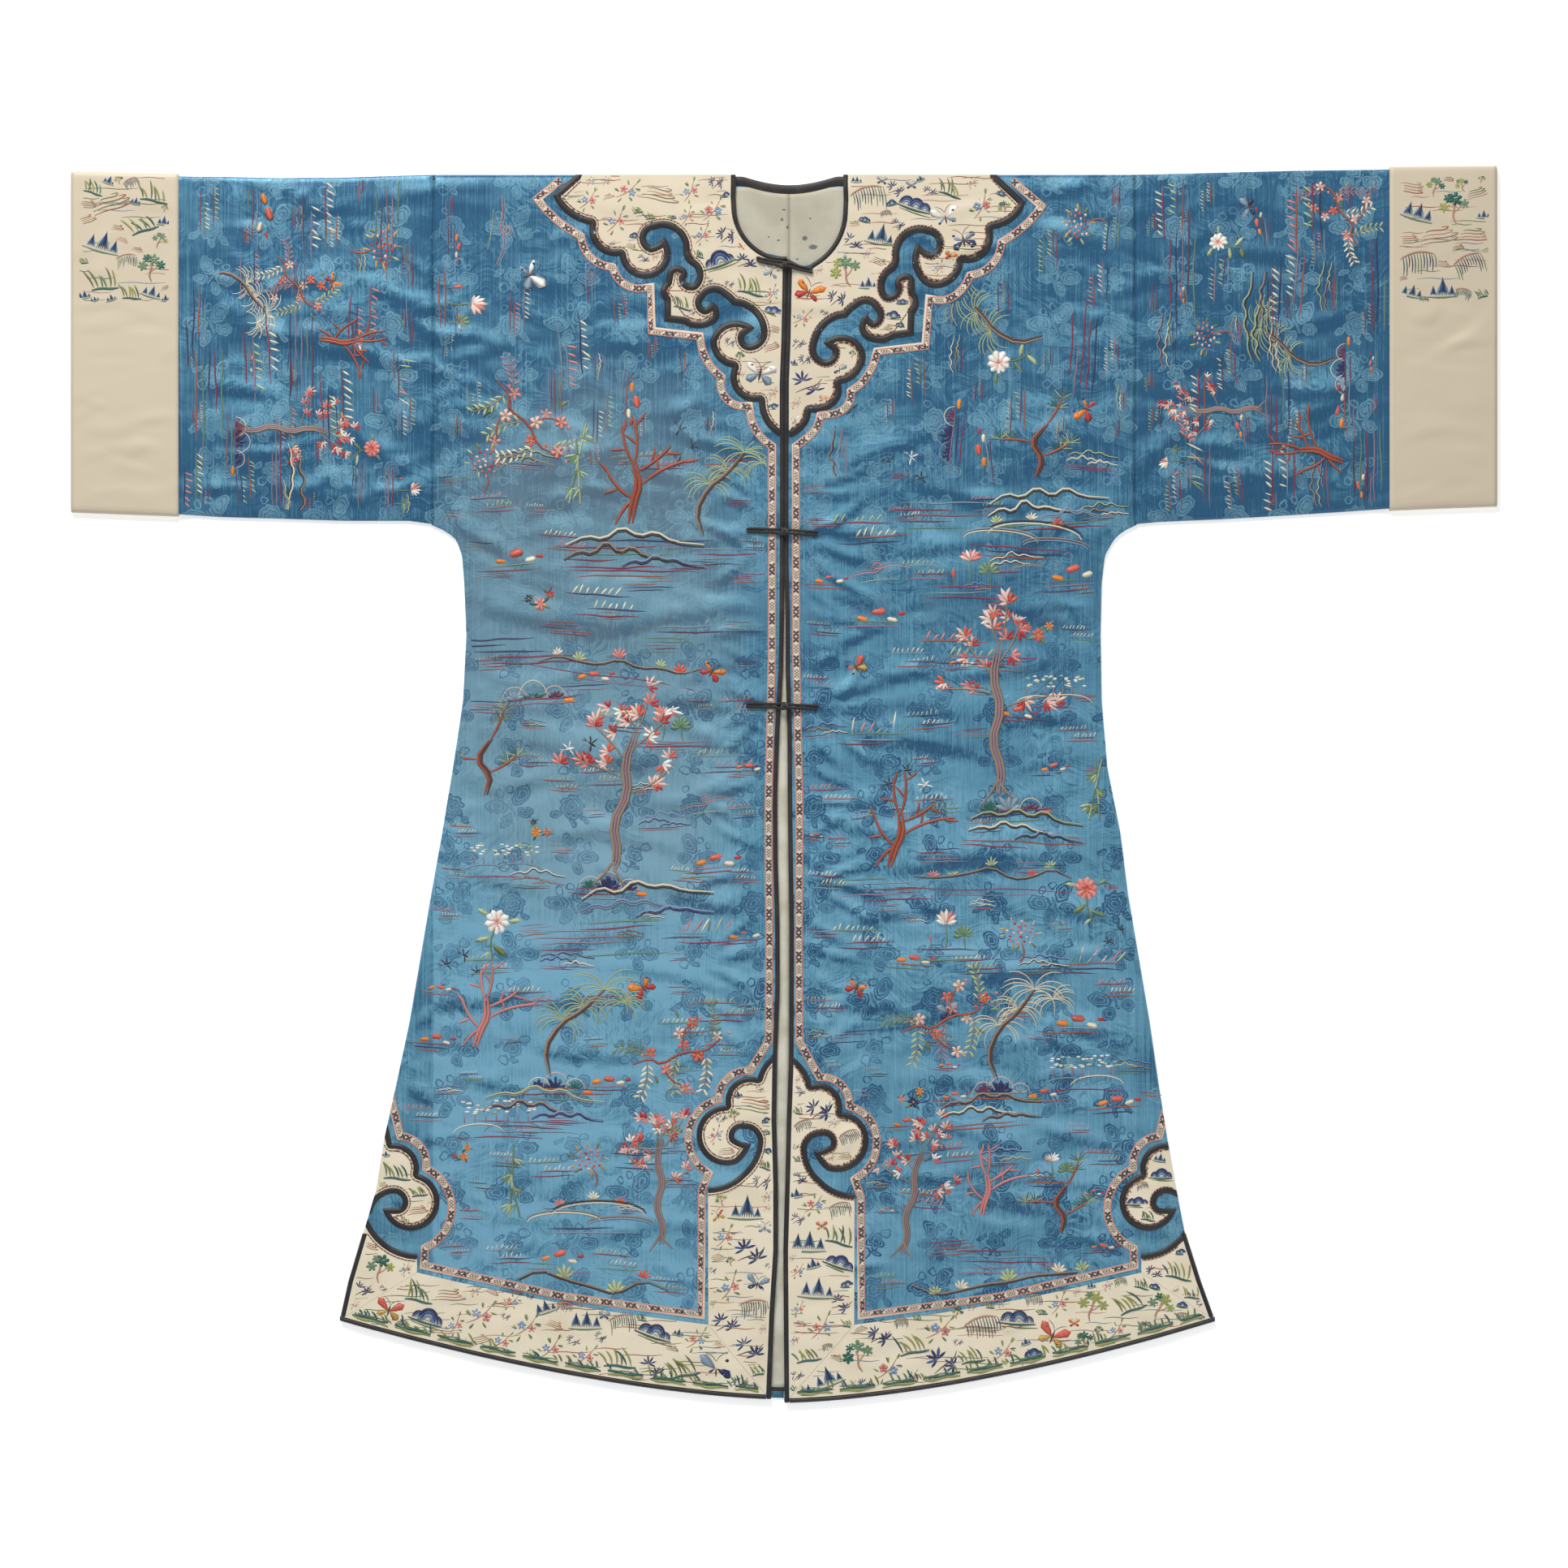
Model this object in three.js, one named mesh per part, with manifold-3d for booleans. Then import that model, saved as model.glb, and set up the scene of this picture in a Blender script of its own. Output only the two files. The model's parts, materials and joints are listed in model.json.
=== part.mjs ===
/**
 * Embroidered silk surcoat, laid flat on its back with the front closed.
 *
 * Millimetres, +Z up, +X to the viewer's right, +Y from the hem towards the neck.
 * The coat is two lengths of silk, each folded at the shoulder and sewn down the side, with
 * sleeve tubes, turned-back cuffs, a lining, a cloud collar, ruyi-headed borders, satin
 * bindings, a woven ribbon and three frogs.
 *
 * Places on the coat are given as (out, drop): out is the distance from the centre front line
 * towards one side, and drop is the distance below the shoulder fold.
 */
import * as THREE from 'three';
import { mergeVertices } from 'three/addons/utils/BufferGeometryUtils.js';
import Module from 'manifold-3d';

const wasm = await Module();
wasm.setup();

// ---- Driving dimensions ------------------------------------------------------------------

const SHOULDER_Y = 556; // the shoulder fold, above the middle of the plan
const SEAM_GAP = 0.3; // between two pieces that are sewn together

const SILK = 1.4; // body cloth with its interlining
const LINING = 1.0;
const APPLIQUE = 1.0; // collar, borders and ribbon
const BINDING = 1.3; // folded satin strips stand a little proud

const BACK_TOP = SILK;
const LINING_LOW = BACK_TOP + SEAM_GAP;
const LINING_TOP = LINING_LOW + LINING;
const FRONT_LOW = LINING_TOP + SEAM_GAP;
const FRONT_TOP = FRONT_LOW + SILK;
const TRIM_LOW = FRONT_TOP + SEAM_GAP;
const APPLIQUE_TOP = TRIM_LOW + APPLIQUE;
const BINDING_TOP = TRIM_LOW + BINDING;

const FOLD_WALL = 2.0; // cloth folded on itself at the shoulder and along the side seam
const FOLD_DROP = 0.8; // how far the outer corner of that fold is rounded down
const TRIM_INSET = FOLD_WALL + SEAM_GAP; // trims on the front stop this far from a fold

const SLEEVE_SEAM = 320; // out, where the sleeve tube joins the body
const SLEEVE_DEPTH = 319; // drop of the underarm
const CUFF_INNER = 552; // out, free edge of the turned-back cuff
const CUFF_LAP = 10; // sleeve that lies inside the cuff
const CUFF_RISE = SILK + SEAM_GAP; // the sleeve end lies on the cuff's back wall
const CUFF_EASE = 14; // sleeve over which it rises on to that wall

const VENT_DROP = 966; // the side seam is open below this
const COLLAR_BAND = 6.2; // satin band round the collar
const HEAD_BAND = 5.2; // satin band round the ruyi heads
const EDGE_BINDING = 3.7; // front edge, neck, hem and vents
const RIBBON = 7.2;
const RIBBON_MITRE = 1.15; // the ribbon is folded short at a sharp corner, as a share of its width
const BINDING_INSET = EDGE_BINDING + SEAM_GAP; // trims stop this far from a bound edge

/** Back of the neck: its dip, and the satin band that hangs inside it from `least` down. */
const BACK_NECK = { half: 48, centre: 5, dip: 9.5, band: 8, inset: 3.5, least: 3, gap: 0.2 };
const BACK_HEM_SHORT = 7; // the lining and its dark hem strip end this far above the hem
const LINING_BELOW_BAND = 0.8; // the lining starts this far below the back neck band
const LINING_REACH = 70; // the lining is made this far under the fronts
const LINING_SEAM = 5; // x of its centre seam

const SIMPLIFY = 0.06; // points closer than this to a straight edge are left out
const WELD = 1e-4; // corners closer than this are one corner
const ARC_STEP = 42; // degrees of arc between two points of an outline
const MITRE_LIMIT = 2.2; // a sharp corner's mitre is cut at this many widths
const PAST = 1; // a cutter reaches this far above and below what it cuts
const OUTSIDE = 20; // and this far beyond the coat's edges
const FOOT_EASE = 1.4; // a mitre's gap measured along the hem, as a share of the gap

const LINING_STEPS = 14; // straight steps along each curved edge
const BACK_HEM_STEPS = 3;
const BACK_NECK_STEPS = 10;
const HEM_STEPS = 12;
const HEM_BORDER_STEPS = 9;

const CORD_RADIUS = 1.35;
const CORD_SIDES = 6;

// ---- Tables ------------------------------------------------------------------------------

const HALVES = [
  { name: 'left', sign: -1, hem: { centre: 1117, rise: 70.5, reach: 400 } },
  { name: 'right', sign: 1, hem: { centre: 1120, rise: 74, reach: 392 } },
];
const HEM_POWER = 1.6; // the hem rises towards the sides as this power of the distance out

/** Side edge: the sleeve seam, the underarm curve and the flared side. */
const SIDE_EDGE = [
  { drop: 0, left: 320, right: 320 },
  { drop: 319, left: 320, right: 320 },
  { drop: 326, left: 307, right: 308 },
  { drop: 333, left: 299, right: 301 },
  { drop: 347, left: 294, right: 293 },
  { drop: 372, left: 292, right: 290 },
  { drop: 420, left: 290, right: 289 },
  { drop: 480, left: 293, right: 290 },
  { drop: 540, left: 302, right: 295 },
  { drop: 600, left: 312, right: 307 },
  { drop: 656, left: 322, right: 314 },
  { drop: 715, left: 332, right: 324 },
  { drop: 774, left: 342, right: 334 },
  { drop: 830, left: 354, right: 342 },
  { drop: 880, left: 365, right: 350 },
  { drop: 925, left: 372, right: 358 },
  { drop: 966, left: 384, right: 366 },
  { drop: 1010, left: 397, right: 380 },
  { drop: 1046, left: 405, right: 393 },
];

/** Free edge of each front: out is negative where it passes the centre line. */
const FRONT_EDGE = [
  { drop: 0, left: -2.7, right: 3.3 },
  { drop: 90, left: -2.7, right: 3.3 },
  { drop: 152, left: -1.5, right: 2.1 },
  { drop: 190, left: 0, right: 0.6 },
  { drop: 320, left: 0.2, right: 0.4 },
  { drop: 360, left: 0.2, right: 0.6 },
  { drop: 400, left: 0.5, right: 1.8 },
  { drop: 452, left: 1.4, right: 1.9 },
  { drop: 507, left: 4.6, right: 3.6 },
  { drop: 566, left: 6.6, right: 3.9 },
  { drop: 626, left: 6.2, right: 4.5 },
  { drop: 685, left: 4.5, right: 5.5 },
  { drop: 744, left: 4.4, right: 5.3 },
  { drop: 803, left: 6.6, right: 5.1 },
  { drop: 862, left: 7.5, right: 3 },
  { drop: 922, left: 5.9, right: 1.5 },
  { drop: 981, left: 5.9, right: -0.2 },
  { drop: 1040, left: 9.5, right: 0.2 },
  { drop: 1120, left: 12.4, right: 0.9 },
];

/** Sleeve: drops of the upper fold and the lower seam, from the body to the cuff. */
const SLEEVE_EDGES = [
  { out: 320, top: 0, low: 319, topRight: 0, lowRight: 319 },
  { out: 342, top: 0.5, low: 316, topRight: -0.5, lowRight: 317 },
  { out: 400, top: 2.5, low: 316, topRight: -2, lowRight: 314.5 },
  { out: 460, top: 3, low: 314, topRight: -3.5, lowRight: 311 },
  { out: 515, top: 1.8, low: 312.5, topRight: -4.3, lowRight: 307.5 },
  { out: 550, top: 1.6, low: 309.8, topRight: -4.8, lowRight: 304.5 },
  { out: 562, top: 1.6, low: 309.4, topRight: -4.8, lowRight: 304.1 },
];

const CUFF_EDGES = [
  { out: 552, top: -0.8, low: 312.3, topRight: -7.2, lowRight: 307 },
  { out: 600, top: -2, low: 310.5, topRight: -7.6, lowRight: 305 },
  { out: 650, top: -3, low: 308.5, topRight: -8, lowRight: 303.2 },
];

/** Opening of the neck in each front, from the shoulder to the front edge. */
const NECKLINE = {
  left: [
    { out: 43.4, drop: -1, bow: 0.03 },
    { out: 44.2, drop: 30, bow: 0.15 },
    { out: 14, drop: 73.5, bow: 0.05 },
    { out: -2.7, drop: 75.4, bow: 0 },
  ],
  right: [
    { out: 53.0, drop: -1, bow: 0.03 },
    { out: 54.3, drop: 36, bow: 0.13 },
    { out: 26.4, drop: 81.2, bow: 0.08 },
    { out: 17.3, drop: 84.8, bow: 0 },
    { out: 3.3, drop: 77.5, bow: 0 },
  ],
};

/**
 * Outlines of the applied work on the left half, where the ground silk is always on the right
 * hand. bow is the height of the arc to the next row as a share of its chord, and is positive
 * where the arc swells into the ground.
 */
const COLLAR_EDGE = [
  { out: 190, drop: 0, bow: 0 },
  { out: 211, drop: 19, bow: 0.13 },
  { out: 177, drop: 45.5, bow: 0.27 },
  { out: 150, drop: 74, bow: 0.41 },
  { out: 104, drop: 78, bow: 0.12 },
  { out: 109, drop: 57, bow: -0.1 },
  { out: 121, drop: 65.5, bow: -0.41 },
  { out: 118, drop: 50, bow: -0.29 },
  { out: 92, drop: 70, bow: 0.12 },
  { out: 86, drop: 82, bow: -0.28 },
  { out: 83, drop: 100, bow: -0.25 },
  { out: 90, drop: 95, bow: 0.26 },
  { out: 92, drop: 85, bow: 0.2 },
  { out: 106, drop: 88, bow: 0 },
  { out: 108, drop: 98, bow: 0.24 },
  { out: 109, drop: 115, bow: 0 },
  { out: 109, drop: 134, bow: 0 },
  { out: 92, drop: 136, bow: 0.15 },
  { out: 64, drop: 136, bow: 0.3 },
  { out: 66, drop: 116, bow: -0.1 },
  { out: 72, drop: 122, bow: -0.3 },
  { out: 73, drop: 113, bow: -0.25 },
  { out: 57, drop: 110, bow: -0.05 },
  { out: 47, drop: 119, bow: -0.19 },
  { out: 21, drop: 142, bow: -0.22 },
  { out: 31, drop: 155, bow: -0.3 },
  { out: 35.5, drop: 146.5, bow: 0.04 },
  { out: 27, drop: 140, bow: 0.28 },
  { out: 67, drop: 151, bow: 0.2 },
  { out: 47, drop: 176, bow: 0.3 },
  { out: 23, drop: 207, bow: 0.15 },
  { out: 2, drop: 240, bow: 0 },
];

const FRONT_HEAD_EDGE = [
  { out: 8, drop: 802, bow: 0.1 },
  { out: 24, drop: 824, bow: 0.28 },
  { out: 53, drop: 849, bow: 0.59 },
  { out: 43, drop: 902, bow: 0.08 },
  { out: 30, drop: 884, bow: -0.08 },
  { out: 45.2, drop: 879, bow: -0.3 },
  { out: 36.8, drop: 870.3, bow: -0.25 },
  { out: 23.9, drop: 884, bow: -0.1 },
  { out: 38.9, drop: 911.3, bow: -0.1 },
  { out: 69.3, drop: 924, bow: 0 },
];

const SIDE_HEAD_EDGE = [
  { out: 392, drop: 964, bow: 0 },
  { out: 376, drop: 946, bow: -0.15 },
  { out: 358.3, drop: 929.3, bow: -0.25 },
  { out: 347.5, drop: 938, bow: -0.2 },
  { out: 353, drop: 943, bow: 0 },
  { out: 366, drop: 943.3, bow: 0.87 },
  { out: 333.5, drop: 911.5, bow: 0.26 },
  { out: 357.7, drop: 884, bow: 0 },
  { out: 364, drop: 855, bow: 0 },
];

const SIDE_BORDER_EDGE = [
  { out: 334.7, drop: 999, bow: 0 },
  { out: 334.7, drop: 984.7, bow: -0.14 },
  { out: 378, drop: 956, bow: 0 },
  { out: 388, drop: 940, bow: 0 },
];

/** Edge of the woven ribbon that faces the ground silk, from the shoulder to the side seam. */
const RIBBON_EDGE = [
  { out: 206, drop: 2.4, bow: 0 },
  { out: 230, drop: 22, bow: 0.06 },
  { out: 188.5, drop: 59, bow: 0.17 },
  { out: 159, drop: 88, bow: 0.2 },
  { out: 125, drop: 107, bow: 0 },
  { out: 124, drop: 146, bow: 0 },
  { out: 80, drop: 151, bow: 0.1 },
  { out: 61, drop: 186.5, bow: 0.25 },
  { out: 35, drop: 215, bow: 0.12 },
  { out: 14.4, drop: 250, bow: 0 },
  { out: 14.6, drop: 434, bow: 0 },
  { out: 17.8, drop: 578, bow: 0 },
  { out: 17, drop: 700, bow: 0 },
  { out: 17.4, drop: 789, bow: 0 },
  { out: 33, drop: 814, bow: 0.2 },
  { out: 63.2, drop: 841, bow: 0.315 },
  { out: 73.2, drop: 912.3, bow: 0 },
  { out: 78.6, drop: 926, bow: 0 },
  { out: 79, drop: 1036.5, bow: -0.02 },
  { out: 324.6, drop: 992.3, bow: 0 },
  { out: 324, drop: 981.6, bow: 0.31 },
  { out: 322.6, drop: 904.5, bow: 0.2 },
  { out: 347, drop: 874, bow: 0 },
  { out: 356.5, drop: 836, bow: 0 },
];

/** Corners where the straight borders are mitred. */
const FRONT_MITRE = { out: 69, drop: 1049 };
const SIDE_MITRE = { out: 335, drop: 1001.5 };
const HEM_BORDER_BELLY = 4.5; // the border's upper edge sags this far between its mitres

/** Ends of the collar and of the side head, on the front binding and on the side seam. */
const COLLAR_TIP = 239;
const SIDE_HEAD_SPAN = [855, 964];

/** How much farther out and lower the right half's trims lie, near the front and the side. */
const RIGHT_FIT = [
  { drop: 0, near: 4, far: 4, nearLower: 0, farLower: 0 },
  { drop: 20, near: 9.5, far: 9.5, nearLower: 6.5, farLower: 6.5 },
  { drop: 45, near: 13, far: 13, nearLower: 4.5, farLower: 4.5 },
  { drop: 85, near: 13.5, far: 13.5, nearLower: 7, farLower: 7 },
  { drop: 105, near: 10.5, far: 10.5, nearLower: 10.5, farLower: 10.5 },
  { drop: 140, near: 9, far: 9, nearLower: 13.5, farLower: 13.5 },
  { drop: 176, near: 4.5, far: 4.5, nearLower: 15, farLower: 15 },
  { drop: 207, near: 1.5, far: 1.5, nearLower: 10, farLower: 10 },
  { drop: 245, near: 0, far: 0, nearLower: 0, farLower: 0 },
  { drop: 785, near: 0, far: -8, nearLower: 0, farLower: 0 },
  { drop: 815, near: 1.5, far: -8, nearLower: 6, farLower: 0 },
  { drop: 850, near: -0.5, far: -8, nearLower: 6.5, farLower: 0 },
  { drop: 880, near: -3, far: -8, nearLower: 6.5, farLower: 0 },
  { drop: 925, near: -5, far: -8, nearLower: 5.5, farLower: 0 },
  { drop: 1045, near: -5, far: -9.5, nearLower: 0, farLower: 0 },
];
const RIGHT_FIT_OUT = { near: 90, far: 300 };

/** Broad soft folds of each front and sleeve: a swelling with a centre, a reach and a turn. */
const FOLDS = [
  { half: 'left', out: 205, drop: 262, long: 90, wide: 46, high: 3.0, turn: 8 },
  { half: 'left', out: 150, drop: 395, long: 100, wide: 48, high: 2.4, turn: -10 },
  { half: 'left', out: 170, drop: 520, long: 100, wide: 50, high: 3.0, turn: -6 },
  { half: 'left', out: 155, drop: 640, long: 100, wide: 46, high: 2.2, turn: 9 },
  { half: 'left', out: 180, drop: 755, long: 105, wide: 50, high: 3.0, turn: -5 },
  { half: 'left', out: 205, drop: 900, long: 72, wide: 44, high: 2.2, turn: 4 },
  { half: 'left', out: 430, drop: 130, long: 60, wide: 52, high: 2.4, turn: 70 },
  { half: 'left', out: 470, drop: 235, long: 55, wide: 46, high: 2.8, turn: 105 },
  { half: 'right', out: 215, drop: 245, long: 80, wide: 48, high: 2.6, turn: -6 },
  { half: 'right', out: 160, drop: 365, long: 100, wide: 48, high: 3.0, turn: 12 },
  { half: 'right', out: 150, drop: 490, long: 95, wide: 46, high: 2.3, turn: -8 },
  { half: 'right', out: 175, drop: 610, long: 105, wide: 50, high: 3.0, turn: 7 },
  { half: 'right', out: 160, drop: 730, long: 95, wide: 46, high: 2.4, turn: -7 },
  { half: 'right', out: 205, drop: 885, long: 70, wide: 46, high: 2.6, turn: 5 },
  { half: 'right', out: 425, drop: 115, long: 60, wide: 50, high: 2.6, turn: 75 },
  { half: 'right', out: 475, drop: 220, long: 55, wide: 48, high: 2.2, turn: 100 },
];

/** Frogs: drop, how far the two arms reach, knot radius, slant, and what their ends lie on. */
const FROGS = [
  { name: 'neck', drop: 83, leftReach: 23, rightReach: 26.5, knot: 2.4, lean: 5.5, on: 'trim' },
  { name: 'chest', drop: 326, leftReach: 32, rightReach: 31.5, knot: 3.4, lean: 1.5, on: 'silk' },
  { name: 'waist', drop: 485, leftReach: 32.5, rightReach: 31.5, knot: 3.4, lean: 1, on: 'silk' },
];

/**
 * Routes of a frog's two strands towards the middle: out, how far each strand lies from the
 * arm's middle, what it lies on, and the share of the slant.
 */
const LOOP_ROUTE = [
  { out: -22, spread: 1.5, on: 'end', lean: 0.8 },
  { out: -16, spread: 1.5, on: 'trim', lean: 0.6 },
  { out: -7, spread: 1.5, on: 'trim', lean: 0.3 },
  { out: -3.2, spread: 2.4, on: 'trim', lean: 0.1 },
  { out: 0.6, spread: 2.6, on: 'trim', lean: 0 },
];
const LOOP_TIP = 3.1;
const KNOT_ROUTE = [
  { out: 22, spread: 1.5, on: 'end', lean: 0.8 },
  { out: 16.5, spread: 1.5, on: 'trim', lean: 0.6 },
  { out: 10, spread: 1.5, on: 'trim', lean: 0.3 },
  { out: 6, spread: 1.5, on: 'loop', lean: 0 },
  { out: 2, spread: 1.2, on: 'ball', lean: 0 },
];
const ARM_SPREAD = 1.5; // at the sewn end of an arm
const BALL = { x: 0.2, rise: 0.55, around: 8, down: 6 }; // rise is a share of the radius

// ---- Materials ---------------------------------------------------------------------------

const CLOTHS = {
  blueSilk: { color: 0x3f7f9f, roughness: 0.42, metalness: 0 },
  creamSilk: { color: 0xd2c3aa, roughness: 0.55, metalness: 0 },
  blackSatin: { color: 0x1d1a1b, roughness: 0.5, metalness: 0 },
  ribbonWeave: { color: 0xa89a94, roughness: 0.7, metalness: 0 },
  liningSilk: { color: 0xb9b4a2, roughness: 0.8, metalness: 0 },
  blackCord: { color: 0x171415, roughness: 0.65, metalness: 0 },
};

// ---- Small helpers -----------------------------------------------------------------------

/** Straight-line value of column `value` at `at` in a table sorted by column `key`. */
function lookUp(table, key, at, value) {
  const after = table.findIndex((row) => row[key] >= at);
  if (after < 0) return table[table.length - 1][value];
  if (after === 0) return table[0][value];
  const [low, high] = [table[after - 1], table[after]];
  return THREE.MathUtils.mapLinear(at, low[key], high[key], low[value], high[value]);
}

/** Evenly spaced values from one number to another. */
function evenly(from, to, steps) {
  return Array.from({ length: steps + 1 }, (_, i) => from + ((to - from) * i) / steps);
}

/** Plan point of a place on one half of the coat. */
function plan(half, { out, drop }) {
  return new THREE.Vector2(half.sign * out, SHOULDER_Y - drop);
}

/** Drop of the hem of one half at a distance out from the centre. */
function hemDrop(half, out) {
  const { centre, rise, reach } = half.hem;
  return centre - rise * (Math.abs(out) / reach) ** HEM_POWER;
}

/** Points along a table of arcs. */
function trace(rows) {
  const points = [];
  rows.forEach((row, index) => {
    points.push({ out: row.out, drop: row.drop });
    const next = rows[index + 1];
    if (!next || !row.bow) return;
    const swing = 4 * Math.atan(2 * row.bow);
    const steps = Math.ceil(Math.abs(swing) / THREE.MathUtils.degToRad(ARC_STEP));
    const [along, across] = [next.out - row.out, next.drop - row.drop];
    for (let step = 1; step < steps; step++) {
      const angle = swing * (step / steps - 0.5);
      const share = 0.5 + Math.sin(angle) / (2 * Math.sin(swing / 2));
      const height = (Math.cos(angle) - Math.cos(swing / 2)) / (2 * Math.sin(swing / 2));
      points.push({
        out: row.out + along * share + across * height,
        drop: row.drop + across * share - along * height,
      });
    }
  });
  return points;
}

/** A trim point drawn for the left half, moved to where the right half carries it. */
function fitted(half, point) {
  if (half.name === 'left') return point;
  const { near, far } = RIGHT_FIT_OUT;
  const share = THREE.MathUtils.clamp((point.out - near) / (far - near), 0, 1);
  const between = (nearColumn, farColumn) =>
    THREE.MathUtils.lerp(
      lookUp(RIGHT_FIT, 'drop', point.drop, nearColumn),
      lookUp(RIGHT_FIT, 'drop', point.drop, farColumn),
      share,
    );
  return {
    out: point.out + between('near', 'far'),
    drop: point.drop + between('nearLower', 'farLower'),
  };
}

/** Height that the broad folds add to a front or sleeve. */
function foldHeight(half, out, drop) {
  return FOLDS.filter((fold) => fold.half === half.name).reduce((height, fold) => {
    const turn = THREE.MathUtils.degToRad(fold.turn);
    const [dx, dy] = [out - fold.out, drop - fold.drop];
    const along = (dx * Math.cos(turn) + dy * Math.sin(turn)) / fold.long;
    const across = (dy * Math.cos(turn) - dx * Math.sin(turn)) / fold.wide;
    const reach = Math.hypot(along, across);
    return reach < 1 ? height + fold.high * Math.cos((reach * Math.PI) / 2) ** 2 : height;
  }, 0);
}

/** A closed solid from the filled cells of a grid of points. */
function cellGeometry([across, down, layers], point, filled) {
  const isFilled = (i, j, k) =>
    i >= 0 && j >= 0 && k >= 0 && i < across && j < down && k < layers && filled(i, j, k);
  const positions = [];
  const face = (...corners) => {
    const [a, b, c, d] = corners.map(([i, j, k]) => point(i, j, k).toArray());
    positions.push(...a, ...b, ...c, ...a, ...c, ...d);
  };
  for (let i = 0; i < across; i++) {
    for (let j = 0; j < down; j++) {
      for (let k = 0; k < layers; k++) {
        if (!isFilled(i, j, k)) continue;
        const [x, y, z] = [i + 1, j + 1, k + 1];
        if (!isFilled(i - 1, j, k)) face([i, j, k], [i, j, z], [i, y, z], [i, y, k]);
        if (!isFilled(x, j, k)) face([x, j, k], [x, y, k], [x, y, z], [x, j, z]);
        if (!isFilled(i, j - 1, k)) face([i, j, k], [x, j, k], [x, j, z], [i, j, z]);
        if (!isFilled(i, y, k)) face([i, y, k], [i, y, z], [x, y, z], [x, y, k]);
        if (!isFilled(i, j, k - 1)) face([i, j, k], [i, y, k], [x, y, k], [x, j, k]);
        if (!isFilled(i, j, z)) face([i, j, z], [x, j, z], [x, y, z], [i, y, z]);
      }
    }
  }
  return facingOut(positions);
}

/** Geometry of a closed triangle soup, turned so that its faces point out. */
function facingOut(positions) {
  let volume = 0;
  const [a, b, c] = [new THREE.Vector3(), new THREE.Vector3(), new THREE.Vector3()];
  for (let at = 0; at < positions.length; at += 9) {
    a.fromArray(positions, at);
    b.fromArray(positions, at + 3);
    c.fromArray(positions, at + 6);
    volume += a.dot(b.cross(c));
  }
  if (volume < 0) {
    for (let at = 0; at < positions.length; at += 9) {
      for (let axis = 0; axis < 3; axis++) {
        const [second, third] = [at + 3 + axis, at + 6 + axis];
        [positions[second], positions[third]] = [positions[third], positions[second]];
      }
    }
  }
  const geometry = new THREE.BufferGeometry();
  geometry.setAttribute('position', new THREE.Float32BufferAttribute(positions, 3));
  return mergeVertices(geometry, WELD);
}

/** A prism over an outline of plan points. */
function prism(points, low, high) {
  const shape = new THREE.Shape(points);
  const geometry = new THREE.ExtrudeGeometry(shape, { depth: high - low, bevelEnabled: false });
  geometry.translate(0, 0, low);
  return geometry;
}

/** The solid that a closed geometry bounds, for a boolean. */
function toSolid(geometry) {
  const bare = geometry.clone();
  bare.deleteAttribute('normal');
  bare.deleteAttribute('uv');
  const merged = mergeVertices(bare, WELD);
  return new wasm.Manifold(
    new wasm.Mesh({
      numProp: 3,
      vertProperties: new Float32Array(merged.attributes.position.array),
      triVerts: new Uint32Array(merged.index.array),
    }),
  );
}

/** Geometry of the largest body of a solid, after a boolean. */
function toGeometry(solid) {
  const largest = solid
    .simplify(SIMPLIFY)
    .decompose()
    .reduce((best, body) => (body.volume() > best.volume() ? body : best));
  const mesh = largest.getMesh();
  const geometry = new THREE.BufferGeometry();
  geometry.setAttribute('position', new THREE.Float32BufferAttribute(mesh.vertProperties, 3));
  geometry.setIndex(new THREE.Uint32BufferAttribute(mesh.triVerts, 1));
  return geometry;
}

/** A named mesh with a material of its own. */
function piece(name, cloth, geometry) {
  const mesh = new THREE.Mesh(geometry, new THREE.MeshStandardMaterial(CLOTHS[cloth]));
  mesh.name = name;
  return mesh;
}

// ---- Body, sleeves and cuffs -------------------------------------------------------------

/** Drops of the rows of a half's grid, at its side edge. */
const BODY_ROWS = [
  0, FOLD_WALL, 105, 210, 262, SLEEVE_DEPTH, 326, 333, 347, 372, 420, 470, 520, 580, 640, 697,
  755, 820, 895, VENT_DROP, 1046,
];
const BODY_COLUMNS = 6; // of equal width, between the ribbon and the side fold
const RIBBON_COLUMN = 24; // out, a column line just past the ribbon
const SLEEVE_COLUMNS = [342, 395, 440, 485];
const SLEEVE_ROWS = 7;
const CUFF_ROWS = 4;

/** Height of layer k of the body or a sleeve: back wall, hollow and front wall. */
function layerHeight(k, atFold, swell) {
  const heights = [0, BACK_TOP, FRONT_LOW + swell, FRONT_TOP + swell];
  return heights[k] - (k === 3 && atFold ? FOLD_DROP : 0);
}

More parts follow.
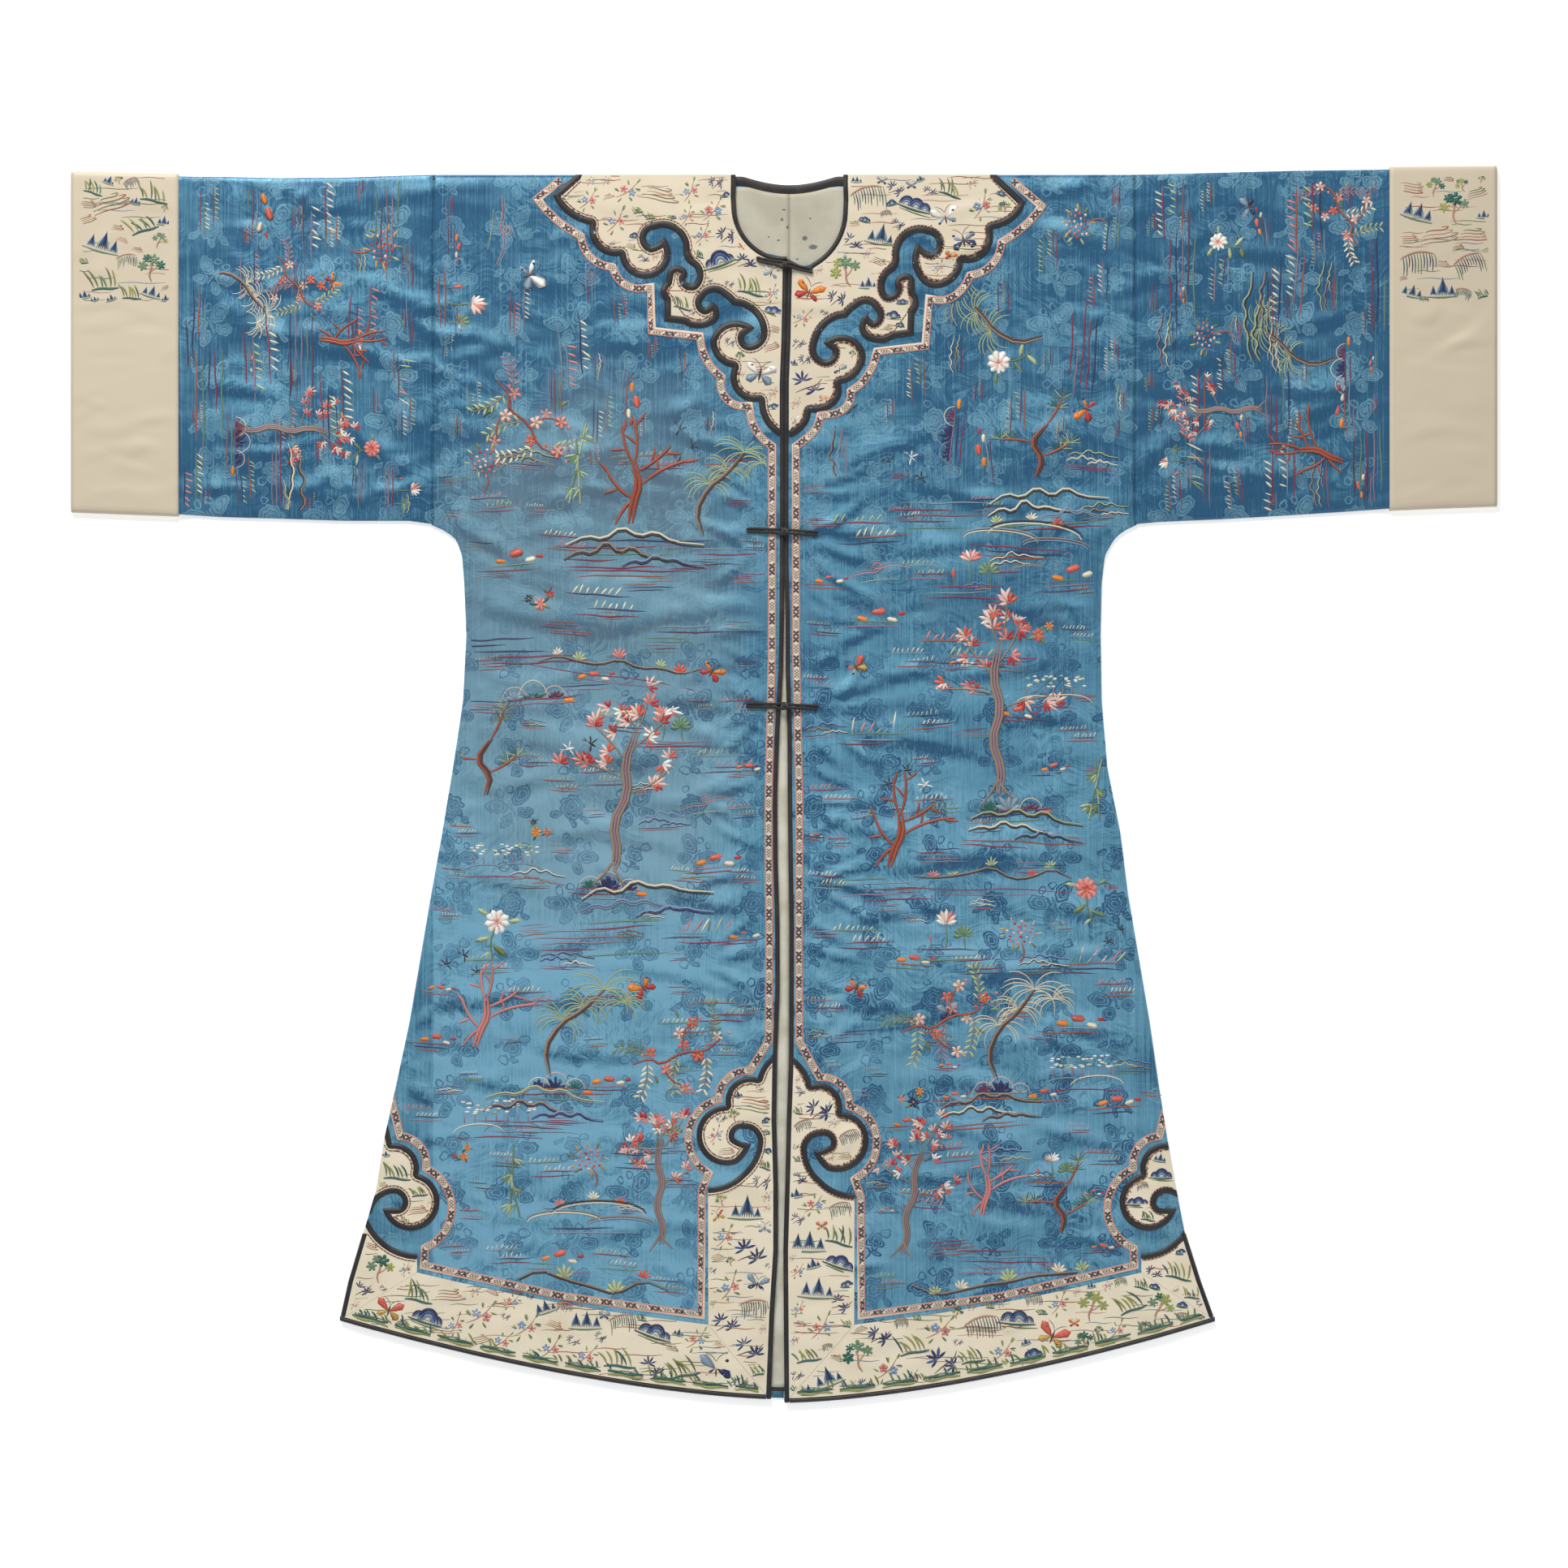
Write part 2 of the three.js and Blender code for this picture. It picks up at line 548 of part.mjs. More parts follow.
/** One length of silk: front and back, folded at the shoulder and sewn down the side. */
function bodyHalf(half) {
  const columns = BODY_COLUMNS + 2;
  const point = (i, j, k) => {
    const sideDrop = BODY_ROWS[j];
    const side = lookUp(SIDE_EDGE, 'drop', sideDrop, half.name);
    const share = Math.min(sideDrop / hemDrop(half, side), 1);
    const isFront = k >= 2;
    const outAt = (drop) => {
      const inner = isFront ? lookUp(FRONT_EDGE, 'drop', drop, half.name) : SEAM_GAP / 2;
      if (i === 0) return inner;
      if (i === columns) return side;
      const step = (side - FOLD_WALL - RIBBON_COLUMN) / BODY_COLUMNS;
      return RIBBON_COLUMN + step * (i - 1);
    };
    const out = outAt(sideDrop);
    const drop = sideDrop <= FOLD_WALL ? sideDrop : share * hemDrop(half, out);
    const settledOut = outAt(drop);
    const atFold = j === 0 || (i === columns && sideDrop >= SLEEVE_DEPTH);
    const swell = isFront ? foldHeight(half, settledOut, drop) : 0;
    const at = plan(half, { out: settledOut, drop });
    return new THREE.Vector3(at.x, at.y, layerHeight(k, atFold, swell));
  };
  const filled = (i, j, k) => {
    const sewnSide = BODY_ROWS[j] >= SLEEVE_DEPTH && BODY_ROWS[j] < VENT_DROP;
    return k !== 1 || j === 0 || (i === columns - 1 && sewnSide);
  };
  const cloth = cellGeometry([columns, BODY_ROWS.length - 1, 3], point, filled);
  const cut = toSolid(cloth).subtract(frontNeckCut(half)).subtract(backNeckCut());
  return piece(`body_${half.name}`, 'blueSilk', toGeometry(cut));
}

/** The neck opening of the fronts, down to the lining. */
function frontNeckCut(half) {
  const beyond = 8;
  const edge = trace(NECKLINE[half.name]).map((point) => plan(half, point));
  const across = NECKLINE[half.name].at(-1);
  const corners = [
    plan(half, { out: -beyond, drop: across.drop }),
    plan(half, { out: -beyond, drop: -beyond }),
    plan(half, { out: edge[0].x * half.sign, drop: -beyond }),
  ];
  return toSolid(prism([...edge, ...corners], BACK_TOP + SEAM_GAP / 2, FRONT_TOP + beyond));
}

/** Drop of the back neckline at an x. */
function backNeckDrop(x) {
  const { half, centre, dip } = BACK_NECK;
  const share = THREE.MathUtils.clamp((x - centre) / half, -1, 1);
  return dip * Math.cos((share * Math.PI) / 2);
}

/** The dip of the back neckline, through every layer. */
function backNeckCut() {
  const { half, centre } = BACK_NECK;
  const points = evenly(centre - half, centre + half, BACK_NECK_STEPS).map(
    (x) => new THREE.Vector2(x, SHOULDER_Y - backNeckDrop(x)),
  );
  const beyond = 5;
  const above = SHOULDER_Y + beyond;
  points.push(new THREE.Vector2(centre + half, above), new THREE.Vector2(centre - half, above));
  return toSolid(prism(points, -beyond, FRONT_TOP + beyond));
}

/** A flattened tube of cloth that runs out along the arm. */
function armTube(half, name, cloth, { outs, edges, rows, heights }) {
  const suffix = half.name === 'right' ? 'Right' : '';
  const point = (i, j, k) => {
    const out = outs[i];
    const top = lookUp(edges, 'out', out, `top${suffix}`);
    const low = lookUp(edges, 'out', out, `low${suffix}`);
    const inner = (j - 1) / (rows - 2);
    const drop =
      j === 0 ? top : j === rows ? low : top + FOLD_WALL + inner * (low - top - 2 * FOLD_WALL);
    const at = plan(half, { out, drop });
    return new THREE.Vector3(at.x, at.y, heights(k, out, drop, j === 0 || j === rows));
  };
  const filled = (i, j, k) => k !== 1 || j === 0 || j === rows - 1;
  return piece(name, cloth, cellGeometry([outs.length - 1, rows, 3], point, filled));
}

function sleeve(half) {
  const end = CUFF_INNER + CUFF_LAP;
  const [rising, risen] = [CUFF_INNER - CUFF_EASE, CUFF_INNER - 1];
  const outs = [SLEEVE_SEAM + SEAM_GAP, ...SLEEVE_COLUMNS, rising, risen, end];
  const heights = (k, out, drop, atFold) => {
    const rise = CUFF_RISE * THREE.MathUtils.smoothstep(out, rising, risen);
    const swell = k >= 2 ? foldHeight(half, out, drop) : 0;
    return layerHeight(k, atFold, swell) + rise;
  };
  const shape = { outs, edges: SLEEVE_EDGES, rows: SLEEVE_ROWS, heights };
  return armTube(half, `sleeve_${half.name}`, 'blueSilk', shape);
}

/** The cream cuff: a tube turned back over the end of the sleeve. */
function cuff(half) {
  const top = FRONT_TOP + CUFF_RISE + SEAM_GAP + SILK;
  const heights = (k, out, drop, atFold) =>
    [0, SILK, top - SILK, top][k] - (k === 3 && atFold ? FOLD_DROP : 0);
  const outs = CUFF_EDGES.map((row) => row.out);
  const shape = { outs, edges: CUFF_EDGES, rows: CUFF_ROWS, heights };
  return armTube(half, `cuff_${half.name}`, 'creamSilk', shape);
}

// ---- Lining and back bindings ------------------------------------------------------------

/** Geometry of a slab between two rows of plan points of equal length. */
function slabGeometry(first, second, low, high) {
  const edges = [first, second];
  const point = (i, j, k) =>
    new THREE.Vector3(edges[j][i].x, edges[j][i].y, k === 0 ? low : high);
  return cellGeometry([first.length - 1, 1, 1], point, () => true);
}

/** A strip or panel of cloth between two rows of plan points. */
function slab(name, cloth, first, second, low, high) {
  return piece(name, cloth, slabGeometry(first, second, low, high));
}

/** Lining of the back, where it shows at the neck and between the fronts. */
function lining(half) {
  const seam = LINING_SEAM + (half.sign * SEAM_GAP) / 2;
  const far = LINING_SEAM + half.sign * LINING_REACH;
  const xs = evenly(seam, far, LINING_STEPS);
  const top = xs.map((x) => {
    const drop = bandDrop(x) + BACK_NECK.band + LINING_BELOW_BAND;
    return new THREE.Vector2(x, SHOULDER_Y - drop);
  });
  const low = xs.map((x) => {
    const drop = hemDrop(half, x) - BINDING_INSET - BACK_HEM_SHORT;
    return new THREE.Vector2(x, SHOULDER_Y - drop);
  });
  return slab(`lining_${half.name}`, 'liningSilk', top, low, LINING_LOW, LINING_TOP);
}

/** Dark strip along the lower edge of the lining. */
function backHemBinding(half) {
  const seam = LINING_SEAM + (half.sign * SEAM_GAP) / 2;
  const far = LINING_SEAM + half.sign * LINING_REACH;
  const xs = evenly(seam, far, BACK_HEM_STEPS);
  const row = (above) =>
    xs.map((x) => new THREE.Vector2(x, SHOULDER_Y - hemDrop(half, x) + BACK_HEM_SHORT + above));
  const name = `back_hem_binding_${half.name}`;
  return slab(name, 'blackSatin', row(EDGE_BINDING), row(0), LINING_LOW, LINING_TOP);
}

/** Drop at which the band inside the back of the neck begins. */
function bandDrop(x) {
  return Math.max(backNeckDrop(x), BACK_NECK.least);
}

/** Broad satin binding inside the back of the neck. */
function backNeckBinding() {
  const { half, centre, band, inset, gap } = BACK_NECK;
  const xs = evenly(centre - half + inset, centre + half - inset, BACK_NECK_STEPS);
  const edge = (extra) => xs.map((x) => new THREE.Vector2(x, SHOULDER_Y - bandDrop(x) - extra));
  return slab('neck_binding_back', 'blackSatin', edge(gap), edge(band), LINING_LOW, LINING_TOP);
}

// ---- Trims on the fronts -----------------------------------------------------------------

/** Offsets of a line of plan points to its left, with mitred corners. */
function offsetLine(points, width, limit = MITRE_LIMIT) {
  return points.map((point, index) => {
    const before = points[Math.max(index - 1, 0)];
    const after = points[Math.min(index + 1, points.length - 1)];
    const normals = [
      [before, point],
      [point, after],
    ]
      .filter(([a, b]) => a !== b)
      .map(([a, b]) => {
        const along = new THREE.Vector2().subVectors(b, a).normalize();
        return new THREE.Vector2(-along.y, along.x);
      });
    const sum = normals.reduce((total, normal) => total.add(normal), new THREE.Vector2());
    sum.normalize();
    const stretch = Math.min(1 / Math.max(sum.dot(normals.at(-1)), 1e-3), limit);
    return new THREE.Vector2(point.x + sum.x * width * stretch, point.y + sum.y * width * stretch);
  });
}

/** Plan points of an arc table, on one half of the coat. */
function edgeLine(half, rows) {
  return trace(rows).map((point) => plan(half, fitted(half, point)));
}

/** The side of a line that faces away from the ground silk. */
function inward(half) {
  return half.name === 'left' ? 1 : -1;
}

/** Everything within `width` of a line, on the side away from the ground silk. */
function bandSolid(half, line, width, low, high) {
  const side = inward(half) * width;
  const parts = [];
  for (let at = 0; at < line.length - 1; at++) {
    const [start, end] = [line[at], line[at + 1]];
    const [nearStart, nearEnd] = offsetLine([start, end], side);
    parts.push(toSolid(prism([start, end, nearEnd, nearStart], low, high)));
    const next = line[at + 2];
    if (!next) continue;
    const [, mitre] = offsetLine([start, end, next], side);
    const [far] = offsetLine([end, next], side);
    const turn = new THREE.Vector2().subVectors(end, start).cross(
      new THREE.Vector2().subVectors(next, end),
    );
    if (turn * inward(half) < -1e-3) {
      parts.push(toSolid(prism([end, nearEnd, mitre, far], low, high)));
    }
  }
  return wasm.Manifold.union(parts);
}

/** The part of a front that trims may cover, as a tall prism. */
function trimArea(half) {
  const outline = [
    plan(half, { out: -OUTSIDE, drop: TRIM_INSET }),
    ...alongSide(half, TRIM_INSET, VENT_DROP, TRIM_INSET),
    ...alongSide(half, VENT_DROP, SIDE_EDGE.at(-1).drop, BINDING_INSET),
    plan(half, { out: hemCorner(half), drop: hemDrop(half, 0) + OUTSIDE }),
    plan(half, { out: -OUTSIDE, drop: hemDrop(half, 0) + OUTSIDE }),
  ];
  return toSolid(prism(outline, TRIM_LOW - 2 * PAST, BINDING_TOP + 2 * PAST));
}

/** A satin band along the edge of an applied shape, and the silk inside it. */
function bandedShape(half, { band, cream }, line, outline, width) {
  const area = trimArea(half);
  const [low, high] = [TRIM_LOW - PAST, BINDING_TOP + PAST];
  const shape = toSolid(prism(outline, low, high)).intersect(area);
  const strip = bandSolid(half, line, width, TRIM_LOW, BINDING_TOP).intersect(shape);
  const cleared = bandSolid(half, line, width + SEAM_GAP, low, high);
  const silk = toSolid(prism(outline, TRIM_LOW, APPLIQUE_TOP)).intersect(area).subtract(cleared);
  return [
    piece(`${band}_${half.name}`, 'blackSatin', toGeometry(strip)),
    piece(`${cream}_${half.name}`, 'creamSilk', toGeometry(silk)),
  ];
}

/** Points along the inner side of the front binding, between two drops. */
function alongFront(half, fromDrop, toDrop, inset) {
  const [low, high] = [Math.min(fromDrop, toDrop), Math.max(fromDrop, toDrop)];
  const between = FRONT_EDGE.map((row) => row.drop).filter((drop) => drop > low && drop < high);
  if (fromDrop > toDrop) between.reverse();
  return [fromDrop, ...between, toDrop].map((drop) =>
    plan(half, { out: lookUp(FRONT_EDGE, 'drop', drop, half.name) + inset, drop }),
  );
}

/** Points along the inner side of the hem binding, between two distances out. */
function alongHem(half, fromOut, toOut, inset, steps) {
  return evenly(fromOut, toOut, steps).map((out) =>
    plan(half, { out, drop: hemDrop(half, out) - inset }),
  );
}

/** The cloud collar: its lobed satin band and the cream silk inside it. */
function collar(half) {
  const line = edgeLine(half, COLLAR_EDGE);
  line[0].y = SHOULDER_Y - TRIM_INSET;
  const neck = neckLine(half, BINDING_INSET);
  const front = alongFront(half, COLLAR_TIP, belowNeck(half, BINDING_INSET), BINDING_INSET);
  line[line.length - 1].copy(front[0]);
  const outline = [...line, ...front.slice(1, -1), ...neck.reverse()];
  const names = { band: 'collar_binding', cream: 'collar' };
  return bandedShape(half, names, line, outline, COLLAR_BAND);
}

/** Drop of the neck binding's lower edge, a little way in from the front edge. */
function belowNeck(half, across) {
  return SHOULDER_Y - neckLine(half, BINDING_INSET, across).at(-1).y;
}

/** Neckline of a front, moved back from the opening, up to a distance from the front edge. */
function neckLine(half, inset, across = inset) {
  const edge = trace(NECKLINE[half.name]).map((point) => plan(half, point));
  const moved = inset === 0 ? edge : offsetLine(edge, -inward(half) * inset);
  const start = SHOULDER_Y - TRIM_INSET;
  const below = moved.filter((point) => point.y < start);
  const first = new THREE.Vector2(below[0].x, start);
  const [before, last] = below.slice(-2);
  const x = half.sign * (NECKLINE[half.name].at(-1).out + across);
  last.y += ((last.y - before.y) / (last.x - before.x)) * (x - last.x);
  last.x = x;
  return [first, ...below];
}

function neckBinding(half) {
  const opening = neckLine(half, 0);
  const outer = neckLine(half, EDGE_BINDING, 0);
  const name = `neck_binding_${half.name}`;
  return slab(name, 'blackSatin', opening, outer, TRIM_LOW, BINDING_TOP);
}

function frontBinding(half) {
  const to = hemDrop(half, frontCorner(half));
  const edge = alongFront(half, belowNeck(half, 0), to, 0);
  const inner = alongFront(half, belowNeck(half, EDGE_BINDING), to, EDGE_BINDING);
  return slab(`front_binding_${half.name}`, 'blackSatin', edge, inner, TRIM_LOW, BINDING_TOP);
}

function hemBinding(half) {
  const fromOut = frontCorner(half) + BINDING_INSET;
  const toOut = hemCorner(half);
  const edge = alongHem(half, fromOut, toOut, 0, HEM_STEPS);
  const inner = alongHem(half, fromOut, toOut, EDGE_BINDING, HEM_STEPS);
  return slab(`hem_binding_${half.name}`, 'blackSatin', edge, inner, TRIM_LOW, BINDING_TOP);
}

/** Distance out of the corner between the hem and the front edge. */
function frontCorner(half) {
  return FRONT_EDGE.at(-1)[half.name];
}

/** Distance out of the corner between the hem and the vent. */
function hemCorner(half) {
  return SIDE_EDGE.at(-1)[half.name];
}

/** Points down the side edge between two drops, moved in from it. */
function alongSide(half, fromDrop, toDrop, inset) {
  const rows = SIDE_EDGE.map((row) => row.drop).filter((drop) => drop > fromDrop && drop < toDrop);
  return [fromDrop, ...rows, toDrop].map((drop) =>
    plan(half, { out: lookUp(SIDE_EDGE, 'drop', drop, half.name) - inset, drop }),
  );
}

function ventBinding(half) {
  const to = hemDrop(half, hemCorner(half)) - BINDING_INSET;
  const edge = alongSide(half, VENT_DROP, to, 0);
  const inner = alongSide(half, VENT_DROP, to, EDGE_BINDING);
  return slab(`vent_binding_${half.name}`, 'blackSatin', edge, inner, TRIM_LOW, BINDING_TOP);
}

/** Front border: the ruyi head and the strip that falls from it to the hem mitre. */
function frontBorder(half) {
  const line = edgeLine(half, FRONT_HEAD_EDGE);
  const topDrop = SHOULDER_Y - line[0].y;
  line[0].x = half.sign * (lookUp(FRONT_EDGE, 'drop', topDrop, half.name) + BINDING_INSET);
  const mitre = plan(half, fitted(half, FRONT_MITRE));
  const foot = frontFoot(half);
  const front = alongFront(half, SHOULDER_Y - foot.y, topDrop, BINDING_INSET);
  const outline = [...line, mitre, foot, ...front.slice(1, -1)];
  const names = { band: 'front_head_binding', cream: 'front_border' };
  return bandedShape(half, names, line, outline, HEAD_BAND);
}

/** Where the front border's mitre meets the bindings of the front edge and the hem. */
function frontFoot(half) {
  const out = frontCorner(half) + BINDING_INSET;
  return plan(half, { out, drop: hemDrop(half, out) - BINDING_INSET });
}

/** Where the hem border's side mitre meets the bindings of the vent and the hem. */
function sideFoot(half) {
  const out = hemCorner(half) - BINDING_INSET;
  return plan(half, { out, drop: hemDrop(half, out) - BINDING_INSET });
}

/** Straight border along the hem, mitred at both ends. */
function hemBorder(half) {
  const front = plan(half, fitted(half, FRONT_MITRE));
  const side = plan(half, fitted(half, SIDE_MITRE));
  const [frontEnd, sideEnd] = [frontFoot(half), sideFoot(half)];
  const toward = half.sign * SEAM_GAP;
  const [fromOut, toOut] = [half.sign * frontEnd.x, half.sign * sideEnd.x];
  const bottom = alongHem(half, fromOut, toOut, BINDING_INSET, HEM_BORDER_STEPS);
  const last = bottom.length - 1;
  bottom[0].x += toward * FOOT_EASE;
  bottom[last].x -= toward * FOOT_EASE;
  const top = bottom.map((_, index) => {
    const share = index / last;
    const belly = HEM_BORDER_BELLY * Math.sin(Math.PI * share);
    return new THREE.Vector2(
      THREE.MathUtils.lerp(front.x + toward, side.x - toward, share),
      THREE.MathUtils.lerp(front.y, side.y, share) - belly,
    );
  });
  return slab(`hem_border_${half.name}`, 'creamSilk', top, bottom, TRIM_LOW, APPLIQUE_TOP);
}

/** Side border: the strip between the vent, the ruyi crescent and the side mitre. */
function sideBorder(half) {
  const line = edgeLine(half, SIDE_BORDER_EDGE);
  const foot = sideFoot(half);
  const mitre = plan(half, fitted(half, SIDE_MITRE));
  const beyond = plan(half, { out: hemCorner(half) + OUTSIDE, drop: SHOULDER_Y - foot.y });
  const outline = [...line, beyond, foot, mitre];
  const names = { band: 'side_border_binding', cream: 'side_border' };
  return bandedShape(half, names, line.slice(1), outline, HEAD_BAND);
}

/** Side head: the ruyi head that lies against the side seam. */
function sideHead(half) {
  const line = edgeLine(half, SIDE_HEAD_EDGE);
  const beyond = SIDE_HEAD_SPAN.map((drop) => plan(half, { out: hemCorner(half), drop }));
  const names = { band: 'side_head_binding', cream: 'side_head' };
  return bandedShape(half, names, line, [...line, ...beyond], HEAD_BAND);
}

/** The woven ribbon, one strip from the shoulder to the side seam. */
function ribbon(half) {
  const outer = edgeLine(half, RIBBON_EDGE);
  const inner = offsetLine(outer, inward(half) * RIBBON, RIBBON_MITRE);
  const strip = slabGeometry(outer, inner, TRIM_LOW, APPLIQUE_TOP);
  const cut = toSolid(strip).intersect(trimArea(half));
  return piece(`ribbon_${half.name}`, 'ribbonWeave', toGeometry(cut));
}

// ---- Frogs -------------------------------------------------------------------------------

/** A round cord along a smooth route. */
function cord(route) {
  const curve = new THREE.CatmullRomCurve3(route.map((at) => new THREE.Vector3(...at)));
  const section = new THREE.Shape(
    Array.from({ length: CORD_SIDES }, (_, side) => {
      const angle = (2 * side * Math.PI) / CORD_SIDES;
      return new THREE.Vector2(Math.cos(angle), Math.sin(angle)).multiplyScalar(CORD_RADIUS);
    }),
  );
  const steps = (route.length - 1) * 2;
  return new THREE.ExtrudeGeometry(section, { steps, extrudePath: curve, bevelEnabled: false });
}

/** Heights of a cord's middle over what it lies on; `end` is one of these. */
const CORD_ON = {
  silk: FRONT_TOP + SEAM_GAP + CORD_RADIUS,
  trim: BINDING_TOP + SEAM_GAP + CORD_RADIUS,
  loop: BINDING_TOP + 2 * SEAM_GAP + 3 * CORD_RADIUS,
  ball: BINDING_TOP + 2 * SEAM_GAP + 3 * CORD_RADIUS + 0.6,
};

/** Points of one strand of an arm, from its sewn end in; side is 1 above and -1 below. */
function strand({ drop, lean, on }, end, route, side) {
  const slant = -Math.sign(end) * lean;
  const rows = [{ out: end, spread: ARM_SPREAD, on: 'end', lean: 1 }, ...route];
  return rows.map((row) => [
    row.out,
    SHOULDER_Y - drop + side * row.spread + slant * row.lean,
    CORD_ON[row.on === 'end' ? on : row.on],
  ]);
}

/** The arm that ends in a loop, on the left front. */
function loopArm(frog) {
  const [there, back] = [1, -1].map((side) => strand(frog, -frog.leftReach, LOOP_ROUTE, side));
  const tip = [LOOP_TIP, SHOULDER_Y - frog.drop, CORD_ON.trim];
  return piece(`frog_${frog.name}_loop`, 'blackCord', cord([...there, tip, ...back.reverse()]));
}

/** The arm that ends in a ball knot, on the right front. */
function knotArm(frog) {
  const [there, back] = [1, -1].map((side) => strand(frog, frog.rightReach, KNOT_ROUTE, side));
  const strands = toSolid(cord(there)).add(toSolid(cord(back.reverse())));
  const ball = new THREE.SphereGeometry(frog.knot, BALL.around, BALL.down);
  ball.translate(BALL.x, SHOULDER_Y - frog.drop, CORD_ON.loop + frog.knot * BALL.rise);
  return piece(`frog_${frog.name}_knot`, 'blackCord', toGeometry(strands.add(toSolid(ball))));
}

// ---- The coat ----------------------------------------------------------------------------

function buildSurcoat() {
  const coat = new THREE.Group();
  for (const half of HALVES) {
    coat.add(bodyHalf(half), sleeve(half), cuff(half), lining(half), backHemBinding(half));
    coat.add(...collar(half), neckBinding(half), frontBinding(half), ribbon(half));
    coat.add(...frontBorder(half), hemBorder(half), ...sideBorder(half), ...sideHead(half));
    coat.add(hemBinding(half), ventBinding(half));
  }
  coat.add(backNeckBinding());
  for (const frog of FROGS) coat.add(loopArm(frog), knotArm(frog));
  return coat;
}

const surcoat = buildSurcoat();
export default surcoat;
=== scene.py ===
"""Embroidered silk surcoat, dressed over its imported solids.

The coat lies flat on its back with the front closed. Every table and size is in millimetres
until a mesh is made. X runs to the viewer's right, Y from the hem towards the neck and Z up.
Places on the coat are given as out, the distance from the centre front towards one side, and
drop, the distance below the shoulder fold.
"""

from __future__ import annotations

import json
import logging
import math
from dataclasses import dataclass, field
from enum import Enum
from functools import partial, partialmethod
from typing import Callable, Iterable, Sequence, Union

import bpy
import numpy as np
from mathutils.geometry import delaunay_2d_cdt
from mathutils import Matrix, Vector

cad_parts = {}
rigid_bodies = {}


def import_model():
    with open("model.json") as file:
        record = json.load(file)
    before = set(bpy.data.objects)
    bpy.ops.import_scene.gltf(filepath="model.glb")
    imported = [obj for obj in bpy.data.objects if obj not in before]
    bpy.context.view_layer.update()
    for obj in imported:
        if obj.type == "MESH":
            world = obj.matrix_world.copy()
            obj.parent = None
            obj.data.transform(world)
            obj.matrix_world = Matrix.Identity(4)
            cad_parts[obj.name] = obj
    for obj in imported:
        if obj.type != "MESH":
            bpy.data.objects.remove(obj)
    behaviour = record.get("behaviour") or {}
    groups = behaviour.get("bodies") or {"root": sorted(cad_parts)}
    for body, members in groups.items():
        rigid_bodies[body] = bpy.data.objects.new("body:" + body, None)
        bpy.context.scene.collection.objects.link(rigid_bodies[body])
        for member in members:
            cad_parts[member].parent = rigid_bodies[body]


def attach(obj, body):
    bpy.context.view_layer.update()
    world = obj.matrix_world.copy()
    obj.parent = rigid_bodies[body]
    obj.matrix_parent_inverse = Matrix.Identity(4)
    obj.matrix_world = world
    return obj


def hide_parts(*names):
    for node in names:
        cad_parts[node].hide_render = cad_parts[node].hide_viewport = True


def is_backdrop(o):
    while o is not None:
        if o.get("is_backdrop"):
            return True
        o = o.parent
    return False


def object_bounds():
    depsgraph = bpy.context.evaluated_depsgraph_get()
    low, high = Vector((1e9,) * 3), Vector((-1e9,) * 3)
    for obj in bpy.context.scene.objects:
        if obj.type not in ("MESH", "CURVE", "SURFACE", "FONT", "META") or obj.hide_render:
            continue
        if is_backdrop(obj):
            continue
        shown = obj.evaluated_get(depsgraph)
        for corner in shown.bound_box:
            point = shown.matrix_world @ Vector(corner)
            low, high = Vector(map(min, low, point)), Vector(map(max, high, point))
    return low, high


LOG = logging.getLogger("surcoat")
MM = 0.001
Rows = Sequence[Sequence[float]]
Colour = tuple[float, float, float]

# ---- Sizes shared by the pieces ----------------------------------------------------------

SHOULDER_Y = 556.0
SILK = 1.4  # body cloth with its interlining
BACK_MIDDLE = 0.7  # middle of the back wall
FRONT_MIDDLE = 3.7  # middle of the front wall
FRONT_TOP = 4.4
TRIM_LOW = 4.55
TRIM_FOOT = TRIM_LOW - 0.4  # trims sink this far into the silk
TRIM_FACE = TRIM_LOW + 0.25  # lowest face of a satin band
APPLIQUE_TOP = 5.6
BINDING_TOP = 6.1
LINING_MIDDLE = 2.2
LINING_WALL = 0.9
SLEEVE_SEAM = 320.0
SLEEVE_DEPTH = 319.0
CUFF_INNER = 552.0
CUFF_OUTER = 650.0
CUFF_RISE = 1.7
CUFF_MIDDLE = 7.1
CUFF_TOP = 7.8
VENT_DROP = 966.0
COLLAR_BAND = 6.2
HEAD_BAND = 5.2
EDGE_BINDING = 3.7
RIBBON_WIDTH = 7.2
RIBBON_PITCH = 2.6
SEAM_GAP = 0.3
BINDING_INSET = EDGE_BINDING + SEAM_GAP
TRIM_INSET = 0.3
FOLD_RADIUS = (FRONT_MIDDLE - BACK_MIDDLE) / 2
FOLD_INSET = FOLD_RADIUS + SILK / 2
HEM_POWER = 1.6
HEM_BELLY = 4.5
BACK_NECK = (5.0, 48.0, 9.5)  # centre, half width, dip
BACK_HEM_SHORT = 7.0
LINING_SEAM = 5.0
LEAST_CUT = 10.0  # narrowest width that a strip is counted with
NECK_BAND = 8.0  # width of the satin inside the back of the neck
FIT_FOOT = 245.0  # drop below which the right half's inner trims lie level with the left's
FRONT_END = 1120.0  # drop at which the front edge is read for its foot
WIDE_DROP = 1040.0  # drop at which a panel's columns are counted
OVERRUN = 20.0  # how far an outline that cuts trims runs past the cloth

# ---- Outlines ----------------------------------------------------------------------------

# drop, left, right
SIDE_EDGE = (
    (0, 320, 320), (319, 320, 320), (326, 307, 308), (333, 299, 301), (347, 294, 293),
    (372, 292, 290), (420, 290, 289), (480, 293, 290), (540, 302, 295), (600, 312, 307),
    (656, 322, 314), (715, 332, 324), (774, 342, 334), (830, 354, 342), (880, 365, 350),
    (925, 372, 358), (966, 384, 366), (1010, 397, 380), (1046, 405, 393),
)

